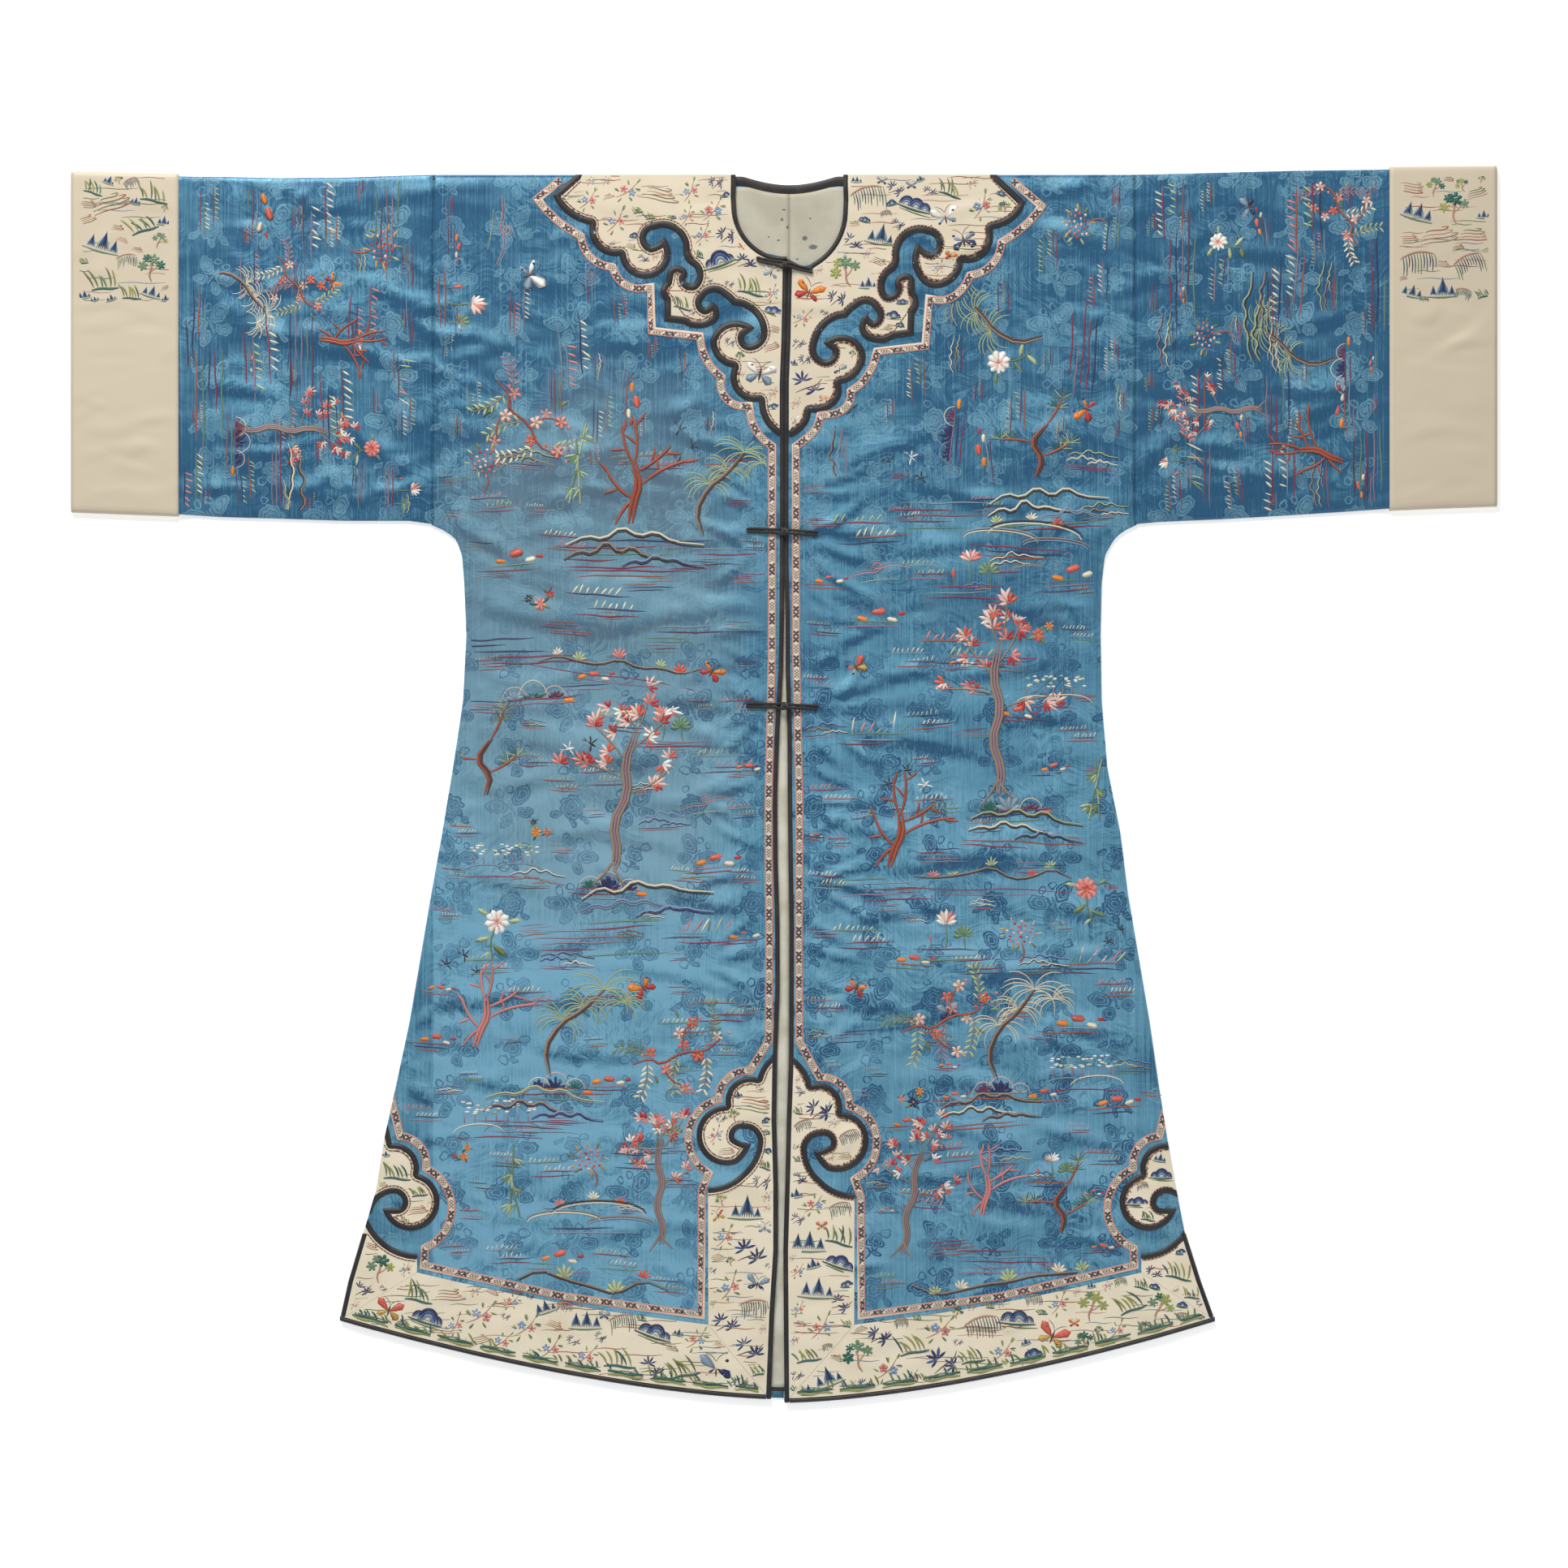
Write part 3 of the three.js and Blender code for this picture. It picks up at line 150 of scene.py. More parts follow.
# drop, left, right; out is negative where a front passes the centre line
FRONT_EDGE = (
    (0, -2.7, 3.3), (90, -2.7, 3.3), (152, -1.5, 2.1), (190, 0, 0.6), (320, 0.2, 0.4),
    (360, 0.2, 0.6), (400, 0.5, 1.8), (452, 1.4, 1.9), (507, 4.6, 3.6), (566, 6.6, 3.9),
    (626, 6.2, 4.5), (685, 4.5, 5.5), (744, 4.4, 5.3), (803, 6.6, 5.1), (862, 7.5, 3),
    (922, 5.9, 1.5), (981, 5.9, -0.2), (1040, 9.5, 0.2), (1120, 12.4, 0.9),
)

# out, upper left, lower left, upper right, lower right
SLEEVE_EDGES = (
    (320, 0, 319, 0, 319), (342, 0.5, 316, -0.5, 317), (400, 2.5, 316, -2, 314.5),
    (460, 3, 314, -3.5, 311), (515, 1.8, 312.5, -4.3, 307.5), (562, 1.6, 309.4, -4.8, 304.1),
)
CUFF_EDGES = (
    (552, -0.8, 312.3, -7.2, 307), (600, -2, 310.5, -7.6, 305), (650, -3, 308.5, -8, 303.2),
)

# out, drop and the height of the arc to the next row as a share of its chord
NECK_LEFT = ((43.4, -1, 0.03), (44.2, 30, 0.15), (14, 73.5, 0.05), (-2.7, 75.4, 0))
NECK_RIGHT = ((53.0, -1, 0.03), (54.3, 36, 0.13), (26.4, 81.2, 0.08), (17.3, 84.8, 0), (3.3, 77.5, 0))
COLLAR_EDGE = (
    (190, 0, 0), (211, 19, 0.13), (177, 45.5, 0.27), (150, 74, 0.41), (104, 78, 0.12),
    (109, 57, -0.1), (121, 65.5, -0.41), (118, 50, -0.29), (92, 70, 0.12), (86, 82, -0.28),
    (83, 100, -0.25), (90, 95, 0.26), (92, 85, 0.2), (106, 88, 0), (108, 98, 0.24),
    (109, 115, 0), (109, 134, 0), (92, 136, 0.15), (64, 136, 0.3), (66, 116, -0.1),
    (72, 122, -0.3), (73, 113, -0.25), (57, 110, -0.05), (47, 119, -0.19),
    (21, 142, -0.22), (31, 155, -0.3), (35.5, 146.5, 0.04), (27, 140, 0.28),
    (67, 151, 0.2), (47, 176, 0.3), (23, 207, 0.15), (2, 240, 0),
)
FRONT_HEAD_EDGE = (
    (8, 802, 0.1), (24, 824, 0.28), (53, 849, 0.59), (43, 902, 0.08), (30, 884, -0.08),
    (45.2, 879, -0.3), (36.8, 870.3, -0.25), (23.9, 884, -0.1), (38.9, 911.3, -0.1),
    (69.3, 924, 0),
)
SIDE_HEAD_EDGE = (
    (392, 964, 0), (376, 946, -0.15), (358.3, 929.3, -0.25), (347.5, 938, -0.2),
    (353, 943, 0), (366, 943.3, 0.87), (333.5, 911.5, 0.26), (357.7, 884, 0), (364, 855, 0),
)
SIDE_BORDER_EDGE = ((334.7, 984.7, -0.14), (378, 956, 0), (388, 940, 0))
RIBBON_EDGE = (
    (206, 2.4, 0), (230, 22, 0.06), (188.5, 59, 0.17), (159, 88, 0.2), (125, 107, 0),
    (124, 146, 0), (80, 151, 0.1), (61, 186.5, 0.25), (35, 215, 0.12), (14.4, 250, 0),
    (14.6, 434, 0), (17.8, 578, 0), (17, 700, 0), (17.4, 789, 0), (33, 814, 0.2),
    (63.2, 841, 0.315), (73.2, 912.3, 0), (78.6, 926, 0), (79, 1036.5, -0.02),
    (324.6, 992.3, 0), (324, 981.6, 0.31), (322.6, 904.5, 0.2), (347, 874, 0),
    (356.5, 836, 0),
)
FRONT_MITRE = (69.0, 1049.0)
SIDE_MITRE = (335.0, 1001.5)

# drop, then how much farther out and lower the right half's trims lie near the front, and
# farther out near the side
RIGHT_FIT = (
    (0, 4, 0, 4), (20, 9.5, 6.5, 9.5), (45, 13, 4.5, 13), (85, 13.5, 7, 13.5),
    (105, 10.5, 10.5, 10.5), (140, 9, 13.5, 9), (176, 4.5, 15, 4.5), (207, 1.5, 10, 1.5),
    (245, 0, 0, 0), (785, 0, 0, -8), (815, 1.5, 6, -8), (850, -0.5, 6.5, -8),
    (880, -3, 6.5, -8), (925, -5, 5.5, -8), (1045, -5, 0, -9.5),
)
RIGHT_FIT_OUT = (90.0, 300.0)

# ---- Folds and creases -------------------------------------------------------------------

# sign, out, drop, half length, half width, height, turn in degrees
FOLDS = (
    (-1, 205, 262, 90, 46, 3.0, 8), (-1, 150, 395, 100, 48, 2.4, -10),
    (-1, 170, 520, 100, 50, 3.0, -6), (-1, 155, 640, 100, 46, 2.2, 9),
    (-1, 180, 755, 105, 50, 3.0, -5), (-1, 205, 900, 72, 44, 2.2, 4),
    (-1, 430, 130, 60, 52, 2.4, 70), (-1, 470, 235, 55, 46, 2.8, 105),
    (1, 215, 245, 80, 48, 2.6, -6), (1, 160, 365, 100, 48, 3.0, 12),
    (1, 150, 490, 95, 46, 2.3, -8), (1, 175, 610, 105, 50, 3.0, 7),
    (1, 160, 730, 95, 46, 2.4, -7), (1, 205, 885, 70, 46, 2.6, 5),
    (1, 425, 115, 60, 50, 2.6, 75), (1, 475, 220, 55, 48, 2.2, 100),
)

# x, drop, length, width, height, turn in degrees, bend
CREASES = (
    (-255, 335, 120, 9, 1.9, 28, 8), (-190, 300, 130, 11, 1.5, -14, -9),
    (-120, 262, 110, 9, 1.6, 22, 7), (-70, 330, 90, 8, 1.3, -10, 4),
    (-225, 395, 150, 12, 1.7, 12, 9), (-105, 410, 140, 10, 1.5, -7, -8),
    (-205, 455, 120, 9, 1.2, -16, 6), (-60, 470, 100, 8, 1.6, 16, -5),
    (-170, 520, 170, 12, 1.8, 8, 10), (-235, 560, 110, 9, 1.3, -9, -6),
    (-80, 560, 120, 10, 1.5, -13, 7), (-150, 612, 150, 11, 1.6, 6, -9),
    (-250, 640, 100, 10, 1.3, 14, 6), (-75, 655, 110, 9, 1.7, 19, 6),
    (-195, 690, 160, 12, 1.5, -6, 8), (-110, 735, 140, 10, 1.6, 11, -8),
    (-265, 745, 120, 9, 1.3, -12, 6), (-180, 790, 150, 12, 1.6, 5, 8),
    (-90, 815, 100, 9, 1.3, -15, -6), (-265, 835, 120, 10, 1.4, 9, -7),
    (-170, 880, 160, 11, 1.5, -7, 8), (-240, 945, 130, 10, 1.3, 8, 6),
    (-130, 965, 120, 10, 1.3, -9, -6),
    (245, 330, 110, 9, 1.9, -30, -8), (180, 290, 120, 10, 1.5, 14, 8),
    (95, 255, 110, 9, 1.7, -18, -7), (60, 322, 90, 8, 1.6, 10, 5),
    (150, 345, 150, 11, 1.5, -8, -8), (235, 395, 130, 10, 1.6, 12, 7),
    (90, 400, 120, 9, 1.5, 15, -6), (180, 445, 160, 12, 1.8, -6, 9),
    (60, 475, 90, 8, 1.8, -16, -5), (250, 490, 110, 9, 1.4, 9, 6),
    (130, 525, 150, 11, 1.7, 9, -9), (215, 565, 130, 10, 1.5, -12, 7),
    (75, 590, 110, 9, 1.4, 12, 6), (170, 630, 170, 12, 1.6, -5, -9),
    (265, 665, 110, 9, 1.3, 11, 6), (95, 680, 120, 10, 1.6, -14, -7),
    (190, 715, 150, 11, 1.5, 7, 8), (110, 765, 140, 10, 1.5, -8, 7),
    (250, 790, 130, 10, 1.4, -10, -6), (160, 835, 150, 11, 1.5, 8, -8),
    (265, 870, 110, 9, 1.3, 12, 6), (140, 905, 140, 10, 1.4, -7, 7),
    (220, 945, 130, 10, 1.4, 6, -6),
    (-360, 250, 130, 11, 2.0, 38, 8), (-385, 170, 120, 10, 1.6, 12, -8),
    (-450, 90, 140, 11, 1.5, -10, 7), (-500, 200, 120, 10, 1.7, 8, -6),
    (-430, 285, 130, 10, 1.5, 10, 6), (-340, 110, 120, 9, 1.4, 20, 6),
    (-520, 280, 90, 9, 1.3, -8, 5), (-480, 145, 110, 9, 1.4, 15, -6),
    (355, 250, 130, 11, 2.0, -38, -8), (390, 160, 120, 10, 1.6, -14, 8),
    (450, 80, 140, 11, 1.4, 9, -7), (500, 190, 120, 10, 1.7, -9, 6),
    (430, 280, 130, 10, 1.5, -8, -6), (340, 100, 120, 9, 1.4, -18, -6),
    (520, 265, 90, 9, 1.3, 9, -5), (480, 130, 110, 9, 1.4, -13, 6),
)


@dataclass(frozen=True)
class Half:
    """One half of the coat, as seen from the front."""

    name: str
    sign: int
    hem_centre: float
    hem_rise: float
    hem_reach: float
    neck: Rows

    @property
    def column(self) -> int:
        """Column of the two-sided tables that holds this half."""
        return 1 if self.sign < 0 else 2

    def hem(self, out: np.ndarray | float) -> np.ndarray:
        """Drop of the hem at a distance out."""
        share = np.abs(out) / self.hem_reach
        return self.hem_centre - self.hem_rise * share**HEM_POWER

    def side(self, drop: np.ndarray | float) -> np.ndarray:
        """Distance out of the side edge at a drop."""
        return look_up(SIDE_EDGE, drop, self.column)

    def front(self, drop: np.ndarray | float) -> np.ndarray:
        """Distance out of the free front edge at a drop."""
        return look_up(FRONT_EDGE, drop, self.column)

    def plan(self, out: np.ndarray | float, drop: np.ndarray | float) -> np.ndarray:
        """Plan points of places on this half."""
        out, drop = np.broadcast_arrays(np.asarray(out, float), np.asarray(drop, float))
        return np.stack([self.sign * out, SHOULDER_Y - drop], axis=-1)

    @property
    def hem_corner(self) -> float:
        """Distance out of the corner between the hem and the vent."""
        return SIDE_EDGE[-1][self.column]


LEFT = Half("left", -1, 1117, 70.5, 400, NECK_LEFT)
RIGHT = Half("right", 1, 1120, 74, 392, NECK_RIGHT)
HALVES = (LEFT, RIGHT)

# ---- Plan geometry -----------------------------------------------------------------------


def look_up(rows: Rows, at: np.ndarray | float, column: int) -> np.ndarray:
    """Straight-line value of a column of a table sorted by its first column."""
    table = np.asarray(rows, float)
    return np.interp(at, table[:, 0], table[:, column])


def trace(rows: Rows, step_degrees: float = 9.0) -> np.ndarray:
    """Points along a table of arcs.

    Args:
        rows: out, drop and bow of each corner.
        step_degrees: Most that an arc turns between two points.

    Returns:
        An array of out and drop.
    """
    points: list[tuple[float, float]] = []
    for here, after in zip(rows, [*rows[1:], None]):
        points.append((here[0], here[1]))
        if after is None or not here[2]:
            continue
        swing = 4 * math.atan(2 * here[2])
        steps = math.ceil(abs(math.degrees(swing)) / step_degrees)
        along, across = after[0] - here[0], after[1] - here[1]
        for step in range(1, steps):
            angle = swing * (step / steps - 0.5)
            share = 0.5 + math.sin(angle) / (2 * math.sin(swing / 2))
            height = (math.cos(angle) - math.cos(swing / 2)) / (2 * math.sin(swing / 2))
            points.append(
                (here[0] + along * share + across * height, here[1] + across * share - along * height)
            )
    return np.array(points)


def edge_line(half: Half, rows: Rows) -> np.ndarray:
    """Plan points of an arc table on one half, moved to where the right half carries it.

    Args:
        half: Half of the coat.
        rows: Out, drop and bow of each corner.

    Returns:
        Plan points along it.
    """
    out, drop = trace(rows).T
    if half.sign > 0:
        near, far = RIGHT_FIT_OUT
        share = np.clip((out - near) / (far - near), 0, 1)
        lower = look_up(RIGHT_FIT, drop, 2) * (1 - share)
        farther = look_up(RIGHT_FIT, drop, 1) * (1 - share) + look_up(RIGHT_FIT, drop, 3) * share
        inner_lower = np.where(drop < FIT_FOOT, look_up(RIGHT_FIT, drop, 2), lower)
        out, drop = out + farther, drop + inner_lower
    return half.plan(out, drop)


def fitted_point(half: Half, place: tuple[float, float]) -> np.ndarray:
    """Plan point of one trim corner."""
    return edge_line(half, ((*place, 0),))[0]


def step_counts(line: np.ndarray, pitch: float) -> list[int]:
    """Steps that each run of a line is cut into, none longer than the pitch.

    Args:
        line: Plan points along the line.
        pitch: Distance between two points.

    Returns:
        Number of steps in each run.
    """
    return [
        max(1, math.ceil(np.linalg.norm(end - start) / pitch)) for start, end in zip(line[:-1], line[1:])
    ]


def cut_up(line: np.ndarray, counts: Sequence[int]) -> np.ndarray:
    """The line with each run cut into its number of steps.

    Args:
        line: Plan points along the line.
        counts: Steps in each run.

    Returns:
        The line with its new points.
    """
    parts = [line[:1]]
    for start, end, count in zip(line[:-1], line[1:], counts):
        parts.append(start + (end - start) * np.linspace(0, 1, count + 1)[1:, None])
    return np.concatenate(parts)


def divided(line: np.ndarray, pitch: float) -> np.ndarray:
    """A line with points added so that no step is longer than the pitch."""
    return cut_up(line, step_counts(line, pitch))


def distances(line: np.ndarray) -> np.ndarray:
    """How far along a line each of its points lies."""
    return np.concatenate([[0], np.cumsum(np.linalg.norm(np.diff(line, axis=0), axis=1))])


def closed(outline: np.ndarray) -> np.ndarray:
    """The outline with its first point again at its end."""
    return np.vstack([outline, outline[:1]])


def unit(vectors: np.ndarray) -> np.ndarray:
    """The vectors, each made one long."""
    return vectors / np.linalg.norm(vectors, axis=1)[:, None]


def offset_line(line: np.ndarray, width: float, limit: float = 2.2) -> np.ndarray:
    """The line moved to its left by the width, with mitred corners.

    Args:
        line: Plan points along the line.
        width: How far it moves.
        limit: Most that a mitre is stretched.

    Returns:
        The moved line.
    """
    along = np.diff(line, axis=0)
    along /= np.linalg.norm(along, axis=1)[:, None] + 1e-12
    normals = np.stack([-along[:, 1], along[:, 0]], axis=1)
    before = np.vstack([normals[:1], normals])
    after = np.vstack([normals, normals[-1:]])
    middle = before + after
    middle /= np.linalg.norm(middle, axis=1)[:, None] + 1e-12
    stretch = 1 / np.maximum((middle * after).sum(1), 1e-3)
    return line + middle * (width * np.minimum(stretch, limit))[:, None]


def rounded_offset(line: np.ndarray, width: float) -> np.ndarray:
    """The line moved to its left by the width, turning round outer corners in small steps.

    Args:
        line: Plan points along the line.
        width: How far it moves.

    Returns:
        The moved line.
    """
    along = np.diff(line, axis=0)
    headings = np.arctan2(along[:, 1], along[:, 0]) + math.pi / 2
    moved: list[np.ndarray] = []
    for index, point in enumerate(line):
        first = headings[max(index - 1, 0)]
        last = headings[min(index, len(headings) - 1)]
        turn = (last - first + math.pi) % (2 * math.pi) - math.pi
        steps = max(1, math.ceil(abs(turn) / 0.3)) if turn * width < 0 else 1
        for step in range(steps + 1):
            angle = first + turn * step / steps
            moved.append(point + width * np.array([math.cos(angle), math.sin(angle)]))
    return np.array(moved)


def to_line(points: np.ndarray, line: np.ndarray) -> tuple[np.ndarray, np.ndarray]:
    """Distance of each point to a line, and how far along it the nearest place is.

    Args:
        points: Plan points.
        line: Plan points along the line.

    Returns:
        The distances, and how far along the line the nearest places are.
    """
    start, span = line[:-1], np.diff(line, axis=0)
    lengths = np.linalg.norm(span, axis=1)
    so_far = np.concatenate([[0], np.cumsum(lengths)[:-1]])
    distance = np.empty(len(points))
    along = np.empty(len(points))
    for low in range(0, len(points), 2000):
        some = points[low : low + 2000, None, :] - start[None]
        share = np.clip((some * span).sum(2) / (lengths**2 + 1e-12), 0, 1)
        gaps = np.linalg.norm(some - share[..., None] * span, axis=2)
        nearest = gaps.argmin(1)
        rows = np.arange(len(nearest))
        distance[low : low + 2000] = gaps[rows, nearest]
        along[low : low + 2000] = so_far[nearest] + share[rows, nearest] * lengths[nearest]
    return distance, along


def inside(points: np.ndarray, outline: np.ndarray) -> np.ndarray:
    """Which points lie inside a closed outline.

    Args:
        points: Plan points.
        outline: Closed outline.

    Returns:
        True for each point that does.
    """
    x, y = points[:, 0], points[:, 1]
    found = np.zeros(len(points), bool)
    for start, end in zip(outline, np.roll(outline, -1, axis=0)):
        crosses = (start[1] > y) != (end[1] > y)
        rise = end[1] - start[1] if end[1] != start[1] else 1e-12
        found ^= crosses & (x < (end[0] - start[0]) * (y - start[1]) / rise + start[0])
    return found


def fill_plan(
    outlines: Sequence[np.ndarray],
    lines: Sequence[np.ndarray],
    pitch: float,
    keep: Callable[[np.ndarray], np.ndarray],
) -> tuple[np.ndarray, np.ndarray]:
    """Triangles over the part of the plan that `keep` accepts.

    Args:
        outlines: Closed outlines whose edges the triangles follow.
        lines: Open lines that the triangles follow too.
        pitch: Distance between the loose points that fill the rest.
        keep: Says which triangles stay, by their middles.

    Returns:
        The plan points, and the corners of each triangle, anticlockwise.
    """
    runs = [divided(line, pitch) for line in [*map(closed, outlines), *lines]]
    everything = np.concatenate(runs)
    low, high = everything.min(0), everything.max(0)
    xs, ys = np.meshgrid(np.arange(low[0], high[0], pitch), np.arange(low[1], high[1], pitch))
    xs = xs + (np.arange(xs.shape[0]) % 2)[:, None] * pitch / 2
    loose = np.stack([xs.ravel(), ys.ravel()], axis=1)
    loose = loose[inside(loose, outlines[0])]
    for run in runs:
        if len(loose):
            loose = loose[to_line(loose, run)[0] > pitch * 0.4]
    edges, total = [], 0
    for run in runs:
        edges += [(total + i, total + i + 1) for i in range(len(run) - 1)]
        total += len(run)
    points = np.concatenate([everything, loose])
    made, _, faces, *_ = delaunay_2d_cdt([tuple(p) for p in points], edges, [], 0, 1e-4, False)
    flat = np.array([tuple(p) for p in made])
    triangles = np.array(faces)
    kept = triangles[keep(flat[triangles].mean(1))]
    corners = flat[kept]
    first, second = corners[:, 1] - corners[:, 0], corners[:, 2] - corners[:, 0]
    area = first[:, 0] * second[:, 1] - first[:, 1] * second[:, 0]
    kept = kept[np.abs(area) > 1e-6]
    area = area[np.abs(area) > 1e-6]
    kept[area < 0] = kept[area < 0][:, ::-1]
    used, again = np.unique(kept, return_inverse=True)
    return flat[used], again.reshape(-1, 3)


# ---- How the coat lies -------------------------------------------------------------------


class Drape:
    """Height that folds, creases and small crumples add to every layer of the front."""

    PITCH = 2.5
    REACH = (672.5, 577.5)
    CRUMPLES = 1900

    def __init__(self, seed: int = 11) -> None:
        """Works the heights out on a lattice.

        Args:
            seed: Fixes where the small crumples lie.
        """
        nx, ny = (int(2 * reach / self.PITCH) + 1 for reach in self.REACH)
        self.xs = np.linspace(-self.REACH[0], self.REACH[0], nx)
        self.ys = np.linspace(-self.REACH[1], self.REACH[1], ny)
        self.field = np.zeros((ny, nx))
        for sign, out, drop, long, wide, high, turn in FOLDS:
            self._swell(sign * out, drop, long, wide, high, sign * turn)
        for x, drop, length, width, height, turn, bend in CREASES:
            self._ridge(x, drop, length / 2, width, height, turn, bend)
        chance = np.random.default_rng(seed)
        self._crumple(chance)
        self._pucker(chance)
        self._settle()

    def _window(self, x: float, y: float, reach: float) -> tuple[slice, slice, np.ndarray, np.ndarray]:
        """Lattice rows and columns within reach of a place, and the offsets of their points.

        Args:
            x: Place across the coat.
            y: Place up the coat.
            reach: Half the width of the window.

        Returns:
            The rows, the columns and the offsets in x and y.
        """
        rows = slice(*np.searchsorted(self.ys, (y - reach, y + reach)))
        columns = slice(*np.searchsorted(self.xs, (x - reach, x + reach)))
        dx, dy = np.meshgrid(self.xs[columns] - x, self.ys[rows] - y)
        return rows, columns, dx, dy

    def _swell(self, x: float, drop: float, long: float, wide: float, high: float, turn: float) -> None:
        """Adds a broad soft swelling.

        Args:
            x: Place across the coat.
            drop: Drop below the shoulder.
            long: Half its length.
            wide: Half its width.
            high: Its height.
            turn: Its turn in degrees.
        """
        rows, columns, dx, dy = self._window(x, SHOULDER_Y - drop, long)
        angle = -math.radians(turn)
        along = (dx * math.cos(angle) + dy * math.sin(angle)) / long
        across = (dy * math.cos(angle) - dx * math.sin(angle)) / wide
        reach = np.minimum(np.hypot(along, across), 1)
        self.field[rows, columns] += high * np.cos(reach * math.pi / 2) ** 2

    def _ridge(
        self, x: float, drop: float, long: float, width: float, height: float, turn: float, bend: float
    ) -> None:
        """Adds one soft crease, steeper on its lower side.

        Args:
            x: Place across the coat.
            drop: Drop below the shoulder.
            long: Half its length.
            width: Its width.
            height: Its height.
            turn: Its turn in degrees.
            bend: How far it bends.
        """
        rows, columns, dx, dy = self._window(x, SHOULDER_Y - drop, long + 3 * width)
        angle = -math.radians(turn)
        along = (dx * math.cos(angle) + dy * math.sin(angle)) / long
        across = dy * math.cos(angle) - dx * math.sin(angle) + bend * (1 - along**2)
        across = np.where(across < 0, across * 1.55, across) / width
        fade = np.clip(1 - along**2, 0, 1) ** 1.5
        self.field[rows, columns] += height * fade * (
            np.exp(-(across**2)) - 0.3 * np.exp(-((across + 1.6) ** 2))
        )

    def _crumple(self, chance: np.random.Generator) -> None:
        """Scatters small soft dents and ridges, mostly level ones.

        Args:
            chance: Source of random numbers.
        """
        for _ in range(self.CRUMPLES):
            x, drop = chance.uniform(-650, 650), chance.uniform(0, 1120)
            long, width = chance.uniform(14, 60), chance.uniform(3.6, 10)
            height = chance.normal(0.1, 0.75) * width / 9
            turn = chance.normal(0, 16)
            self._ridge(x, drop, long, width, height, turn, chance.normal(0, 6))

    def _pucker(self, chance: np.random.Generator) -> None:
        """Draws the silk into short folds that fan out from the ribbon beside the opening.

        Args:
            chance: Source of random numbers.
        """
        for sign in (-1, 1):
            drop = 252.0
            while drop < 790:
                long, turn = chance.uniform(22, 52), chance.normal(0, 15)
                lean = sign * 24 * math.sin((drop - 326) / 80 * math.pi)
                height, width = chance.uniform(0.7, 1.7), chance.uniform(4.2, 6.0)
                self._ridge(
                    sign * (20 + long * 0.85), drop, long, width, height, turn + lean,
                    sign * chance.normal(3, 4)
                )
                drop += chance.uniform(13, 27)

    def _settle(self) -> None:
        """Flattens the folded edges and keeps the front off the lining."""
        xs, ys = np.meshgrid(self.xs, self.ys)
        drop = SHOULDER_Y - ys
        out = np.abs(xs)
        self.field = 0.75 + self.field * 0.85
        low = self.field < 0.35
        self.field[low] = 0.35 * np.exp((self.field[low] - 0.35) / 0.8)
        hold = smooth((drop + 6) / 26)
        side = np.where(xs < 0, LEFT.side(drop), RIGHT.side(drop))
        body = (drop > SLEEVE_DEPTH - 5) & (out < 420)
        hold = np.where(body, smooth((side - out) / 22), hold)
        arm = out > SLEEVE_SEAM - 20
        hold = np.where(arm & (drop < 330), hold * smooth((316 - drop) / 22), hold)
        hold = np.where(out > CUFF_INNER - 30, hold * (0.35 + 0.65 * smooth((out - CUFF_INNER) / 30)), hold)
        hold = np.where(out > CUFF_OUTER - 30, hold * smooth((CUFF_OUTER + 6 - out) / 30), hold)
        front = np.clip(1.25 - 0.25 * smooth((out - 6) / 30), 0, 1)
        self.field *= hold * front

    def lie(self, x: np.ndarray, y: np.ndarray, reach: float = 3.0) -> np.ndarray:
        """Slope of the cloth down towards the neck, where it faces the window's light; the blue silk paints
        it into its colour as light and shade.
        """
        return (self.height(x, y - reach) - self.height(x, y + reach)) / (2 * reach)

    def height(self, x: np.ndarray, y: np.ndarray) -> np.ndarray:
        """Height at plan points, straight between the lattice's points.

        Args:
            x: Places across the coat.
            y: Places up the coat.

        Returns:
            Heights that the folds add.
        """
        u = np.clip((np.asarray(x) - self.xs[0]) / self.PITCH, 0, len(self.xs) - 1.001)
        v = np.clip((np.asarray(y) - self.ys[0]) / self.PITCH, 0, len(self.ys) - 1.001)
        i, j = u.astype(int), v.astype(int)
        s, t = u - i, v - j
        f = self.field
        lower = f[j, i] * (1 - s) + f[j, i + 1] * s
        upper = f[j + 1, i] * (1 - s) + f[j + 1, i + 1] * s
        return lower * (1 - t) + upper * t


def smooth(share: np.ndarray) -> np.ndarray:
    """A soft step from 0 to 1."""
    share = np.clip(share, 0, 1)
    return share * share * (3 - 2 * share)


# ---- Meshes ------------------------------------------------------------------------------


